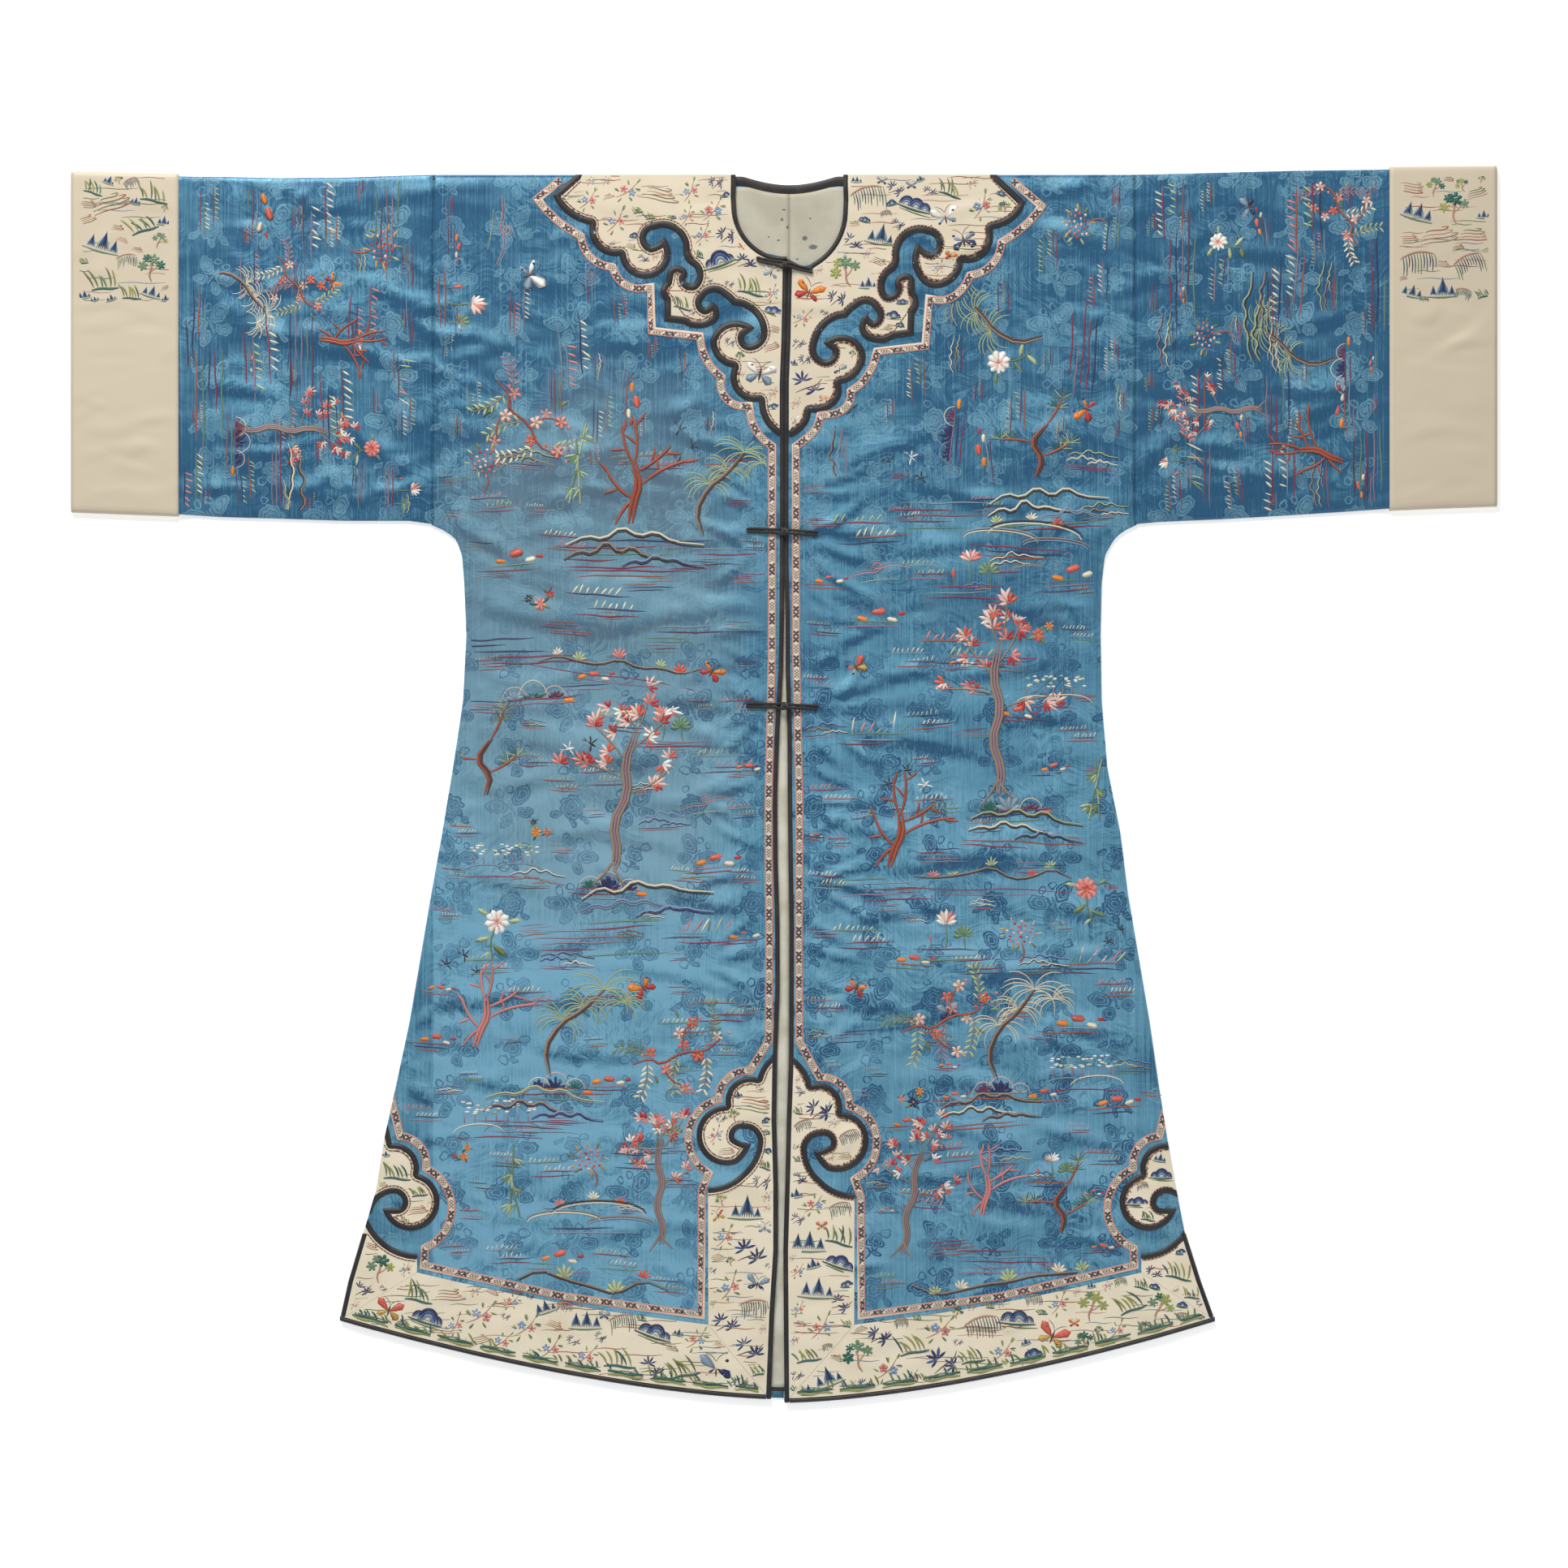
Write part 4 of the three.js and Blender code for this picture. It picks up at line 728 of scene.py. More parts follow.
@dataclass
class Shell:
    """A mesh in millimetres, with how far along and across its cloth each point lies.

    A silk's `lie` says how much each point of it slopes towards the light, which the blue silk paints into
    its colour as light and shade.
    """

    points: np.ndarray
    faces: list[Sequence[int]]
    weave: np.ndarray
    lie: np.ndarray | None = None

    def join(self, other: "Shell") -> "Shell":
        """This shell and another as one.

        Args:
            other: What is added.

        Returns:
            Both as one shell.
        """
        start = len(self.points)
        moved = [[start + corner for corner in face] for face in other.faces]
        return Shell(
            np.vstack([self.points, other.points]),
            [*self.faces, *moved],
            np.vstack([self.weave, other.weave]),
        )

    def build(self, name: str, finish: bpy.types.Material, sharp: float = 55.0) -> bpy.types.Object:
        """An object of this shell in metres, dressed with a finish.

        Args:
            name: Its name.
            finish: Its material.
            sharp: Angle in degrees from which an edge is sharp.

        Returns:
            The object.
        """
        mesh = bpy.data.meshes.new(name)
        mesh.from_pydata((self.points * MM).tolist(), [], [list(face) for face in self.faces])
        corners = np.empty(len(mesh.loops), np.int32)
        mesh.loops.foreach_get("vertex_index", corners)
        layer = mesh.uv_layers.new(name="weave")
        layer.data.foreach_set("uv", self.weave[corners].astype(np.float32).ravel())
        mesh.polygons.foreach_set("use_smooth", np.ones(len(mesh.polygons), bool))
        mesh.set_sharp_from_angle(angle=math.radians(sharp))
        if self.lie is not None:
            mesh.attributes.new("lie", "FLOAT", "POINT").data.foreach_set(
                "value", self.lie.astype(np.float32)
            )
        mesh.materials.append(finish)
        mesh.update()
        made = bpy.data.objects.new(name, mesh)
        bpy.context.scene.collection.objects.link(made)
        return made


def grid_faces(rows: int, columns: int, start: int = 0, flip: bool = False) -> list[tuple[int, ...]]:
    """Faces of a grid of points stored row by row.

    Args:
        rows: Rows of points.
        columns: Points in each row.
        start: Number of the first point.
        flip: Turns the faces over.

    Returns:
        Corners of each face.
    """
    faces = []
    for j in range(rows - 1):
        for i in range(columns - 1):
            a = start + j * columns + i
            face = (a, a + columns, a + columns + 1, a + 1)
            faces.append(face[::-1] if flip else face)
    return faces


def tube_faces(rows: int, around: int, ends: bool = True) -> list[Sequence[int]]:
    """Faces of a tube of points stored ring by ring, and of its two ends.

    Args:
        rows: Number of rings.
        around: Points in each ring.
        ends: Whether the ends are closed.

    Returns:
        Corners of each face.
    """
    faces: list[Sequence[int]] = []
    for j in range(rows - 1):
        for i in range(around):
            a, b = j * around + i, j * around + (i + 1) % around
            faces.append((a, a + around, b + around, b))
    if ends:
        faces += [tuple(range(around)), tuple(range(rows * around - 1, (rows - 1) * around - 1, -1))]
    return faces


def slab(
    flat: np.ndarray, triangles: np.ndarray, top: np.ndarray, low: np.ndarray, weave: np.ndarray
) -> Shell:
    """A closed slab over plan triangles, between its upper and lower heights.

    Args:
        flat: Plan points.
        triangles: Corners of each triangle.
        top: Its upper heights.
        low: Its lower heights.
        weave: Places along and across the cloth.

    Returns:
        The slab.
    """
    count = len(flat)
    pairs = np.concatenate([triangles[:, [0, 1]], triangles[:, [1, 2]], triangles[:, [2, 0]]])
    codes = pairs[:, 0] * count + pairs[:, 1]
    rim = pairs[~np.isin(codes, pairs[:, 1] * count + pairs[:, 0])]
    walls = [(a, a + count, b + count, b) for a, b in rim.tolist()]
    faces = triangles.tolist() + (triangles[:, ::-1] + count).tolist() + walls
    points = np.vstack([np.column_stack([flat, top]), np.column_stack([flat, low])])
    return Shell(points, faces, np.vstack([weave, weave]))


def swept(
    first: np.ndarray, second: np.ndarray, rise: np.ndarray, low: np.ndarray, across: np.ndarray
) -> Shell:
    """A closed strip between two rows of plan points.

    Args:
        first: One edge.
        second: The other edge, with as many points.
        rise: Height of each line of points across the strip, by place across and along.
        low: Height of the underside along the strip.
        across: Shares across the strip, from 0 on the first edge to 1 on the second.

    Returns:
        The strip as a shell.
    """
    count, span = len(first), np.linalg.norm(second - first, axis=1)
    run = distances((first + second) / 2)
    rows = [(first + (second - first) * share, height, share) for share, height in zip(across, rise)]
    rows += [(second, low, 1.0), (first, low, 0.0)]
    points = [np.column_stack([flat, height]) for flat, height, _ in rows]
    weave = [np.column_stack([run, span * share]) for _, _, share in rows]
    ring = len(rows)

    def at(row: int, step: int) -> int:
        """Number of a point of the strip."""
        return (row % ring) * count + step

    faces: list[Sequence[int]] = []
    for row in range(ring):
        for step in range(count - 1):
            faces.append((at(row, step), at(row, step + 1), at(row + 1, step + 1), at(row + 1, step)))
    faces.append([at(row, 0) for row in range(ring)])
    faces.append([at(row, count - 1) for row in reversed(range(ring))])
    line = first[min(1, count - 1)] - first[0]
    side = second[0] - first[0]
    if line[0] * side[1] - line[1] * side[0] < 0:
        faces = [face[::-1] for face in faces]
    return Shell(np.vstack(points), faces, np.vstack(weave))


def dress(piece: bpy.types.Object, slot: str, *nodes: str) -> bpy.types.Object:
    """Fixes a finished piece to the coat in place of its solids.

    Args:
        piece: The finished object.
        slot: Its finish slot, or nothing. Not used.
        nodes: Nodes that it replaces.

    Returns:
        The piece.
    """
    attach(piece, "root")
    if nodes:
        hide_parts(*nodes)
    LOG.info("%s: %d faces", piece.name, len(piece.data.polygons))
    return piece


def declare_strip(piece: bpy.types.Object, line: np.ndarray, width: float, *under: str) -> None:
    """Works out the length and least width of a narrow strip of cloth from the line that it follows and its
    width, and keeps neither.

    Args:
        piece: The finished object. Not used.
        line: Plan points along the line.
        width: Its width.
        under: Pieces that it lies on. Not used.
    """
    length = float(np.linalg.norm(np.diff(line, axis=0), axis=1).sum())
    least = max(width, LEAST_CUT)
    least * MM
    width * length * MM**2


def thicken(piece: bpy.types.Object, wall: float) -> None:
    """Gives a sheet its wall, half to each side.

    Args:
        piece: The finished object.
        wall: Thickness of the wall.
    """
    solid = piece.modifiers.new("wall", "SOLIDIFY")
    solid.thickness = wall * MM
    solid.offset = 0.0
    solid.use_quality_normals = False


# ---- Shader wiring -----------------------------------------------------------------------

Input = Union["Wire", float, int, Sequence[float]]


class Wire:
    """An output socket that can be used in sums."""

    def __init__(self, graph: "Graph", socket: bpy.types.NodeSocket) -> None:
        """Wraps a socket of a graph."""
        self.graph, self.socket = graph, socket

    def __add__(self, other: Input) -> "Wire":
        """Sum."""
        return self.graph.sum("ADD", self, other)

    def __sub__(self, other: Input) -> "Wire":
        """Difference."""
        return self.graph.sum("SUBTRACT", self, other)

    def __mul__(self, other: Input) -> "Wire":
        """Product."""
        return self.graph.sum("MULTIPLY", self, other)

    def __rsub__(self, other: Input) -> "Wire":
        """Difference from a number."""
        return self.graph.sum("SUBTRACT", other, self)

    def __truediv__(self, other: Input) -> "Wire":
        """Quotient."""
        return self.graph.sum("DIVIDE", self, other)

    def __mod__(self, other: Input) -> "Wire":
        """Remainder, never negative."""
        return self.graph.sum("FLOORED_MODULO", self, other)

    def __abs__(self) -> "Wire":
        """Size without its sign."""
        return self.graph.sum("ABSOLUTE", self)

    def sine(self) -> "Wire":
        """Sine of an angle in radians."""
        return self.graph.sum("SINE", self)

    def least(self, other: Input) -> "Wire":
        """The smaller of two."""
        return self.graph.sum("MINIMUM", self, other)

    def most(self, other: Input) -> "Wire":
        """The larger of two."""
        return self.graph.sum("MAXIMUM", self, other)

    __radd__, __rmul__ = __add__, __mul__


def add_node(tree: bpy.types.NodeTree, kind: str, **settings: object) -> bpy.types.Node:
    """A new node with its settings.

    Args:
        tree: Node tree.
        kind: Type of the node.
        settings: The node's settings.

    Returns:
        The node.
    """
    made = tree.nodes.new(kind)
    for key, value in settings.items():
        setattr(made, key, value)
    return made


class Graph:
    """The node tree of one finish."""

    def __init__(self, name: str) -> None:
        """Starts a material with one principled shader.

        Args:
            name: Its name.
        """
        self.material = bpy.data.materials.new(name)
        self.material.use_nodes = True
        self.tree = self.material.node_tree
        self.shader = next(n for n in self.tree.nodes if n.type == "BSDF_PRINCIPLED")

    def node(self, kind: str, **settings: object) -> bpy.types.Node:
        """A new node with its settings."""
        return add_node(self.tree, kind, **settings)

    def feed(self, socket: bpy.types.NodeSocket, value: Input) -> None:
        """Links a wire to a socket, or sets the socket's own value.

        Args:
            socket: Input to feed.
            value: What is fed in.
        """
        if isinstance(value, Wire):
            self.tree.links.new(value.socket, socket)
        else:
            socket.default_value = value

    def sum(self, operation: str, *values: Input) -> Wire:
        """A Math node.

        Args:
            operation: What the node does.
            values: Its inputs, in order.

        Returns:
            Its output.
        """
        made = self.node("ShaderNodeMath", operation=operation)
        for socket, value in zip(made.inputs, values):
            self.feed(socket, value)
        return Wire(self, made.outputs[0])

    def vector(self, operation: str, *values: Input, scale: float | None = None) -> Wire:
        """A Vector Math node.

        Args:
            operation: What the node does.
            values: Its inputs, in order.
            scale: Value of its own scale input.

        Returns:
            Its output.
        """
        made = self.node("ShaderNodeVectorMath", operation=operation)
        for socket, value in zip(made.inputs, values):
            self.feed(socket, value)
        if scale is not None:
            made.inputs["Scale"].default_value = scale
        return Wire(self, made.outputs["Value" if operation in ("LENGTH", "DISTANCE") else "Vector"])

    def place(self) -> Wire:
        """Place on the coat, in millimetres."""
        source = self.node("ShaderNodeTexCoord")
        return self.vector("SCALE", Wire(self, source.outputs["Object"]), scale=1000.0)

    def weave(self) -> Wire:
        """Millimetres along and across a strip."""
        return Wire(self, self.node("ShaderNodeUVMap", uv_map="weave").outputs[0])

    def attribute(self, name: str, output: str = "Vector") -> Wire:
        """A mesh attribute."""
        made = self.node("ShaderNodeAttribute", attribute_name=name)
        return Wire(self, made.outputs[output])

    def split(self, vector: Wire) -> tuple[Wire, Wire, Wire]:
        """The three parts of a vector.

        Args:
            vector: The vector.

        Returns:
            X, y and z.
        """
        made = self.node("ShaderNodeSeparateXYZ")
        self.feed(made.inputs[0], vector)
        return tuple(Wire(self, out) for out in made.outputs)

    def join(self, x: Input, y: Input, z: Input = 0.0) -> Wire:
        """A vector of three parts.

        Args:
            x: First part.
            y: Second part.
            z: Third part.

        Returns:
            Its output.
        """
        made = self.node("ShaderNodeCombineXYZ")
        for socket, value in zip(made.inputs, (x, y, z)):
            self.feed(socket, value)
        return Wire(self, made.outputs[0])

    def fitted(
        self, vector: Wire, centre: Sequence[float], size: Sequence[float], turn: float = 0.0
    ) -> Wire:
        """The vector in the frame of a shape: centred, turned back and divided by its size.

        Args:
            vector: The vector.
            centre: Its middle.
            size: Its half width and half height.
            turn: Its turn in degrees.

        Returns:
            Its output.
        """
        made = self.node("ShaderNodeMapping", vector_type="TEXTURE")
        self.feed(made.inputs["Vector"], vector)
        made.inputs["Location"].default_value = (*centre, 0.0)
        made.inputs["Rotation"].default_value = (0.0, 0.0, math.radians(turn))
        made.inputs["Scale"].default_value = (*size, 1.0)
        return Wire(self, made.outputs[0])

    def oval(self, vector: Wire, centre: Sequence[float], size: Sequence[float], turn: float = 0.0) -> Wire:
        """Distance from the middle of an oval, 1 on its edge."""
        x, y, _ = self.split(vector)
        return self.vector("LENGTH", self.fitted(self.join(x, y), centre, size, turn))

    def shifted(self, vector: Wire, scale: float, reach: float) -> Wire:
        """The vector moved at random by up to half a reach, for uneven edges.

        Args:
            vector: The vector.
            scale: Features in a millimetre.
            reach: Twice the most that it moves.

        Returns:
            Its output.
        """
        made = self.node("ShaderNodeTexNoise")
        self.feed(made.inputs["Vector"], vector)
        made.inputs["Scale"].default_value = scale
        away = self.vector("SUBTRACT", Wire(self, made.outputs["Color"]), (0.5, 0.5, 0.5))
        return self.vector("ADD", vector, self.vector("SCALE", away, scale=reach))

    def noise(
        self, vector: Wire, scale: float, detail: float = 2.0, stretch: Sequence[float] = (1, 1, 1)
    ) -> Wire:
        """Soft noise, with `scale` features a millimetre.

        Args:
            vector: The vector.
            scale: Features in a millimetre.
            detail: Levels of finer noise.
            stretch: Factors on the three axes.

        Returns:
            Its output.
        """
        made = self.node("ShaderNodeTexNoise")
        self.feed(made.inputs["Vector"], self.vector("MULTIPLY", vector, tuple(stretch)))
        made.inputs["Scale"].default_value = scale
        made.inputs["Detail"].default_value = detail
        return Wire(self, made.outputs["Fac"])

    def step(self, value: Wire, low: float, high: float) -> Wire:
        """A soft step from 0 at `low` to 1 at `high`.

        Args:
            value: What is stepped.
            low: Value where the step starts.
            high: Value where it ends.

        Returns:
            Its output.
        """
        made = self.node("ShaderNodeMapRange", interpolation_type="SMOOTHSTEP")
        self.feed(made.inputs["Value"], value)
        made.inputs["From Min"].default_value = low
        made.inputs["From Max"].default_value = high
        if low > high:
            made.inputs["From Min"].default_value, made.inputs["From Max"].default_value = high, low
            made.inputs["To Min"].default_value, made.inputs["To Max"].default_value = 1.0, 0.0
        return Wire(self, made.outputs["Result"])

    def blend(self, share: Input, first: Input, second: Input) -> Wire:
        """A mix of two colours.

        Args:
            share: Share of the second colour.
            first: Colour at 0.
            second: Colour at 1.

        Returns:
            Its output.
        """
        made = self.node("ShaderNodeMix", data_type="RGBA")
        self.feed(made.inputs[0], share)
        colours = [s for s in made.inputs if s.type == "RGBA"]
        for socket, value in zip(colours, (first, second)):
            self.feed(socket, value if isinstance(value, Wire) else (*value, 1.0))
        return Wire(self, next(s for s in made.outputs if s.type == "RGBA"))

    def bump(self, height: Wire, distance: float, strength: float = 1.0) -> None:
        """Raises the surface by a height, in millimetres.

        Args:
            height: Its height.
            distance: Height of the bump.
            strength: Strength of the bump.
        """
        made = self.node("ShaderNodeBump")
        self.feed(made.inputs["Height"], height)
        made.inputs["Distance"].default_value = distance * MM
        made.inputs["Strength"].default_value = strength
        self.tree.links.new(made.outputs["Normal"], self.shader.inputs["Normal"])

    def surface(self, colour: Input, **inputs: Input) -> bpy.types.Material:
        """Sets the shader's colour and other sockets, and returns the material.

        Args:
            colour: Base colour.
            inputs: Values of other inputs, by name.

        Returns:
            The material.
        """
        self.feed(self.shader.inputs["Base Color"], colour if isinstance(colour, Wire) else (*colour, 1.0))
        for key, value in inputs.items():
            self.feed(self.shader.inputs[key.replace("_", " ")], value)
        return self.material


def srgb(red: int, green: int, blue: int) -> Colour:
    """Linear colour of an 8-bit screen colour.

    Args:
        red: Red, up to 255.
        green: Green, up to 255.
        blue: Blue, up to 255.

    Returns:
        The linear colour.
    """
    made = []
    for value in (red, green, blue):
        share = value / 255
        made.append(share / 12.92 if share <= 0.04045 else ((share + 0.055) / 1.055) ** 2.4)
    return tuple(made)


# ---- Finishes ----------------------------------------------------------------------------


@dataclass(frozen=True)
class DamaskSilk:
    """Blue satin damask with butterflies and flower sprays in the weave, its ground painted with sheen,
    shade and highlights, its figures painted lit above and shaded below.
    """

    # the ground's blues below are painted shaded, lit and highlighted, in that order, by the painted sheen
    deep: Colour = srgb(34, 88, 124)
    light: Colour = srgb(92, 150, 178)
    highlight_blue: Colour = srgb(120, 176, 204)
    faded: Colour = srgb(138, 157, 160)
    # the woven figures painted lit and painted shaded; the lit colour also tints the slubs
    slub_and_lit_figure: Colour = srgb(120, 168, 186)
    shaded_figure: Colour = srgb(22, 74, 114)
    repeat: tuple[float, float] = (110.0, 88.0)

    def figures(self, graph: Graph, place: Wire) -> Wire:
        """Mask of the woven figures, 1 on a figure and 0 on the ground.

        Args:
            graph: Node tree that it is added to.
            place: Place on the coat.

        Returns:
            Its output.
        """
        x, y, _ = graph.split(graph.shifted(place, 0.13, 7.0))
        wide, tall = self.repeat
        row = graph.sum("FLOOR", y / tall)
        shifted = x + graph.sum("PINGPONG", row, 1.0) * (wide * 0.5)
        u = (shifted % wide) - (wide / 2)
        v = (y % tall) - (tall / 2)
        cell = graph.join(u, v)
        shapes = (
            self.butterfly(graph, graph.fitted(cell, (-28, 22), (1.3, 1.3), 24)),
            self.peony(graph, graph.fitted(cell, (27, 23), (1.05, 1.05), -12)),
            self.spray(graph, graph.fitted(cell, (-27, -21), (1.2, 1.2), 10)),
            self.butterfly(graph, graph.fitted(cell, (29, -22), (-1.15, 1.15), -35)),
        )
        total = shapes[0]
        for shape in shapes[1:]:
            total = total.most(shape)
        veins = abs((graph.noise(place, 0.14, 1.0) * 52.0).sine())
        return total * (graph.step(veins, 0.06, 0.3) * 0.5 + 0.5)

    def creases(self, graph: Graph, place: Wire) -> Wire:
        """Painted light and shade of fine level creases that the mesh doesn't have, each painted lit on one
        side and shaded on the other, with painted dark lines along some of them.

        Args:
            graph: Node tree that it is added to.
            place: Place on the coat.

        Returns:
            Its output.
        """
        bent = graph.shifted(place, 0.009, 130.0)
        stretch = (0.018, 0.075, 1)
        lower = graph.vector("ADD", bent, (0.0, -2.4, 0.0))
        slope = graph.noise(bent, 1.0, 4.0, stretch) - graph.noise(lower, 1.0, 4.0, stretch)
        ridge = abs(graph.noise(bent, 1.0, 2.0, (0.011, 0.04, 1)) - 0.5)
        patch = graph.step(graph.noise(place, 0.014, 2.0), 0.4, 0.6)
        return slope * 2.5 * (patch * 0.9 + 0.3) - graph.step(ridge, 0.02, 0.0) * patch * 0.34

    def outlined(self, graph: Graph, shape: Wire, size: float, rings: Sequence[float]) -> Wire:
        """A filled shape of a size with fine rings left open inside it.

        Args:
            graph: Node tree that it is added to.
            shape: Distance from its middle, 1 on its edge.
            size: Size of the shape in millimetres.
            rings: Places of the rings.

        Returns:
            Its output.
        """
        mask = graph.step(shape, 1.03, 0.97)
        for ring in rings:
            gap = abs(shape - ring)
            mask = mask * (1.0 - graph.step(gap, 0.52 / size, 0.22 / size) * 0.9)
        return mask

    def butterfly(self, graph: Graph, at: Wire) -> Wire:
        """Four wings, a body and two curled feelers, about 32 mm across.

        Args:
            graph: Node tree that it is added to.
            at: Place in the frame of the figure.

        Returns:
            Its output.
        """
        x, y, _ = graph.split(at)
        wing = graph.join(abs(x), y)
        shape = graph.oval(wing, (9.5, 5.5), (8.6, 5.2), 32)
        shape = shape.least(graph.oval(wing, (7.2, -6.2), (5.8, 4.2), -38))
        shape = shape.least(graph.oval(wing, (0, 0), (1.3, 6.5)))
        feeler = abs(graph.oval(wing, (4.0, 12.5), (2.7, 3.1), 20) - 0.85)
        return self.outlined(graph, shape, 7.0, (0.42, 0.74)).most(graph.step(feeler, 0.22, 0.12))

    def peony(self, graph: Graph, at: Wire) -> Wire:
        """A lobed flower in rings, three leaves and a tendril.

        Args:
            graph: Node tree that it is added to.
            at: Place in the frame of the figure.

        Returns:
            Its output.
        """
        x, y, _ = graph.split(at)
        angle = graph.sum("ARCTAN2", y, x)
        lobes = abs((angle * 4.0).sine()) * 2.0 + 9.4
        flower = graph.vector("LENGTH", at) / lobes
        shape = self.outlined(graph, flower, 11.0, (0.26, 0.52, 0.78))
        leaves = graph.oval(at, (-12.5, -8.5), (6.2, 3.0), 35)
        leaves = leaves.least(graph.oval(at, (3, -13), (4.8, 2.8), -50))
        leaves = leaves.least(graph.oval(at, (13, -8.5), (5.6, 2.7), -30))
        shape = shape.most(self.outlined(graph, leaves, 4.4, (0.45,)))
        tendril = abs(graph.oval(at, (-9, 13.5), (3.6, 3.2)) - 0.8)
        return shape.most(graph.step(tendril, 0.2, 0.1))

    def spray(self, graph: Graph, at: Wire) -> Wire:
        """A small flower on a stem with scrolls and buds.

        Args:
            graph: Node tree that it is added to.
            at: Place in the frame of the figure.

        Returns:
            Its output.
        """
        x, y, _ = graph.split(at)
        angle = graph.sum("ARCTAN2", y, x)
        lobes = abs((angle * 2.5).sine()) * 1.9 + 5.2
        shape = self.outlined(graph, graph.vector("LENGTH", at) / lobes, 6.5, (0.36, 0.72))
        scroll = abs(graph.oval(at, (9.5, 4.5), (4.4, 3.8)) - 0.8)
        scroll = scroll.least(abs(graph.oval(at, (9.8, 4.2), (1.9, 1.7)) - 0.8))
        scroll = scroll.least(abs(graph.oval(at, (-8.5, -7.5), (4.2, 4.0)) - 0.8))
        leaves = graph.oval(at, (-1, -9), (4.2, 2.2), -40)
        leaves = leaves.least(graph.oval(at, (-10, 4.5), (4.4, 2.1), 20))
        shape = shape.most(self.outlined(graph, leaves, 3.3, (0.4,)))
        return shape.most(graph.step(scroll, 0.17, 0.09))

    def make(self) -> bpy.types.Material:
        """The finish as a material.

        Returns:
            The material.
        """
        graph = Graph("blue_damask_silk")
        place = graph.place()
        x, y, _ = graph.split(place)
        # Painted sheen: this soft noise paints broad patches of sheen into the ground.
        cloud = graph.noise(place, 0.014, 3.0, (0.8, 1.3, 1))
        streaks = graph.noise(place, 1.0, 3.0, (1.15, 0.012, 1))
        fine = graph.noise(place, 1.0, 1.0, (3.2, 0.06, 1))
        arm = graph.step(abs(x), SLEEVE_SEAM - 1, SLEEVE_SEAM + 1)
        low = graph.step(y, SHOULDER_Y - 330, SHOULDER_Y - 700)
        left = graph.step(x, -10, -90) * (1.0 - arm)
        edge = graph.oval(graph.shifted(place, 0.012, 120.0), (-165, SHOULDER_Y - 440), (200, 300))
        worn = graph.step(edge, 1.05, 0.6) * left
        cool = graph.step(x, 20, 160) * graph.step(
            y, SHOULDER_Y - 470, SHOULDER_Y - 240
        ) * (1.0 - arm * 0.35)
        high = graph.step(y, SHOULDER_Y - 350, SHOULDER_Y - 250) * left
        # Painted light and shade: sheen paints the ground lighter where the cloth slopes towards the key
        # light, in broad noise patches and beside painted fine creases, with the real warp streaks; swing
        # makes this painted contrast stronger in the lower body.
        swing = low * 0.5 + 1.0
        sheen = graph.attribute("lie", "Fac") * 3.0 + (cloud - 0.5) * 1.1 + (streaks - 0.5) * 1.15
        sheen = (sheen + self.creases(graph, place)) * swing
        # The ground is also made lighter lower down, most on the left, and darker on the sleeves, the upper
        # right and the upper left.
        sheen = sheen + low * 0.42 - arm * 0.28 - cool * 0.27 - high * 0.3 + left * low * 0.45 + 0.6
        # The blue ramp paints shaded, lit and highlighted copies of the ground by its sheen.
        ground = graph.blend(graph.step(sheen, 0.0, 1.0), self.deep, self.light)
        ground = graph.blend(graph.step(sheen, 0.85, 1.7), ground, self.highlight_blue)
        ground = graph.blend(worn * 0.34, ground, self.faded)
        slub = graph.step(streaks, 0.55, 0.8)
        ground = graph.blend(slub * 0.38, ground, self.slub_and_lit_figure)
        mask = self.figures(graph, place)
        patchy = graph.step(graph.noise(place, 0.03, 2.0), 0.3, 0.6)
        mask = mask * (patchy * 0.45 + 0.55)
        # Painted light: the woven figures are painted lit, paler than the ground, on the sleeves and the
        # upper body, and shaded, darker than the ground, in the lower body.
        turned = graph.step(y, SHOULDER_Y - 300, SHOULDER_Y - 460) * (1.0 - arm)
        figure = graph.blend(turned, self.slub_and_lit_figure, self.shaded_figure)
        colour = graph.blend(mask * (arm * 0.1 + 0.46 + turned * (0.48 - left * 0.2)), ground, figure)
        graph.bump(fine * 0.06 + streaks * 0.05 + mask * 0.04, 1.0, 0.7)
        return graph.surface(
            colour,
            Roughness=mask * 0.2 + 0.38,
            Metallic=0.28,
            Sheen_Weight=0.25,
            Sheen_Roughness=0.4,
            Sheen_Tint=(0.62, 0.8, 0.95, 1.0),
        )


@dataclass(frozen=True)
class CreamSilk:
    """Undyed silk satin, yellowed a little, with soft stains."""

    name: str = "cream_silk"
    colour: Colour = srgb(234, 223, 199)
    aged: Colour = srgb(220, 206, 178)
    dull: Colour = srgb(195, 182, 160)

    def make(self) -> bpy.types.Material:
        """The finish as a material.

        Returns:
            The material.
        """
        graph = Graph(self.name)
        place = graph.place()
        age = graph.noise(place, 0.022, 4.0)
        warp = graph.noise(place, 1.0, 2.0, (1.6, 0.02, 1))
        weft = graph.noise(place, 1.0, 2.0, (0.03, 1.9, 1))
        colour = graph.blend(graph.step(age, 0.4, 0.75) * 0.7, self.colour, self.aged)
        colour = graph.blend(graph.step(warp, 0.5, 0.8) * 0.35, colour, self.aged)
        x, y, _ = graph.split(place)
        at_cuffs = graph.step(abs(x), 520, 540) * 0.86
        at_neck = graph.step(y, SHOULDER_Y - 330, SHOULDER_Y - 250) * 0.56
        colour = graph.blend(at_cuffs.most(at_neck), colour, self.dull)
        graph.bump(warp * 0.06 + weft * 0.05, 1.0, 0.6)
        return graph.surface(
            colour, Roughness=0.48, Sheen_Weight=0.2, Sheen_Roughness=0.4, Sheen_Tint=(1.0, 0.95, 0.85, 1.0)
        )


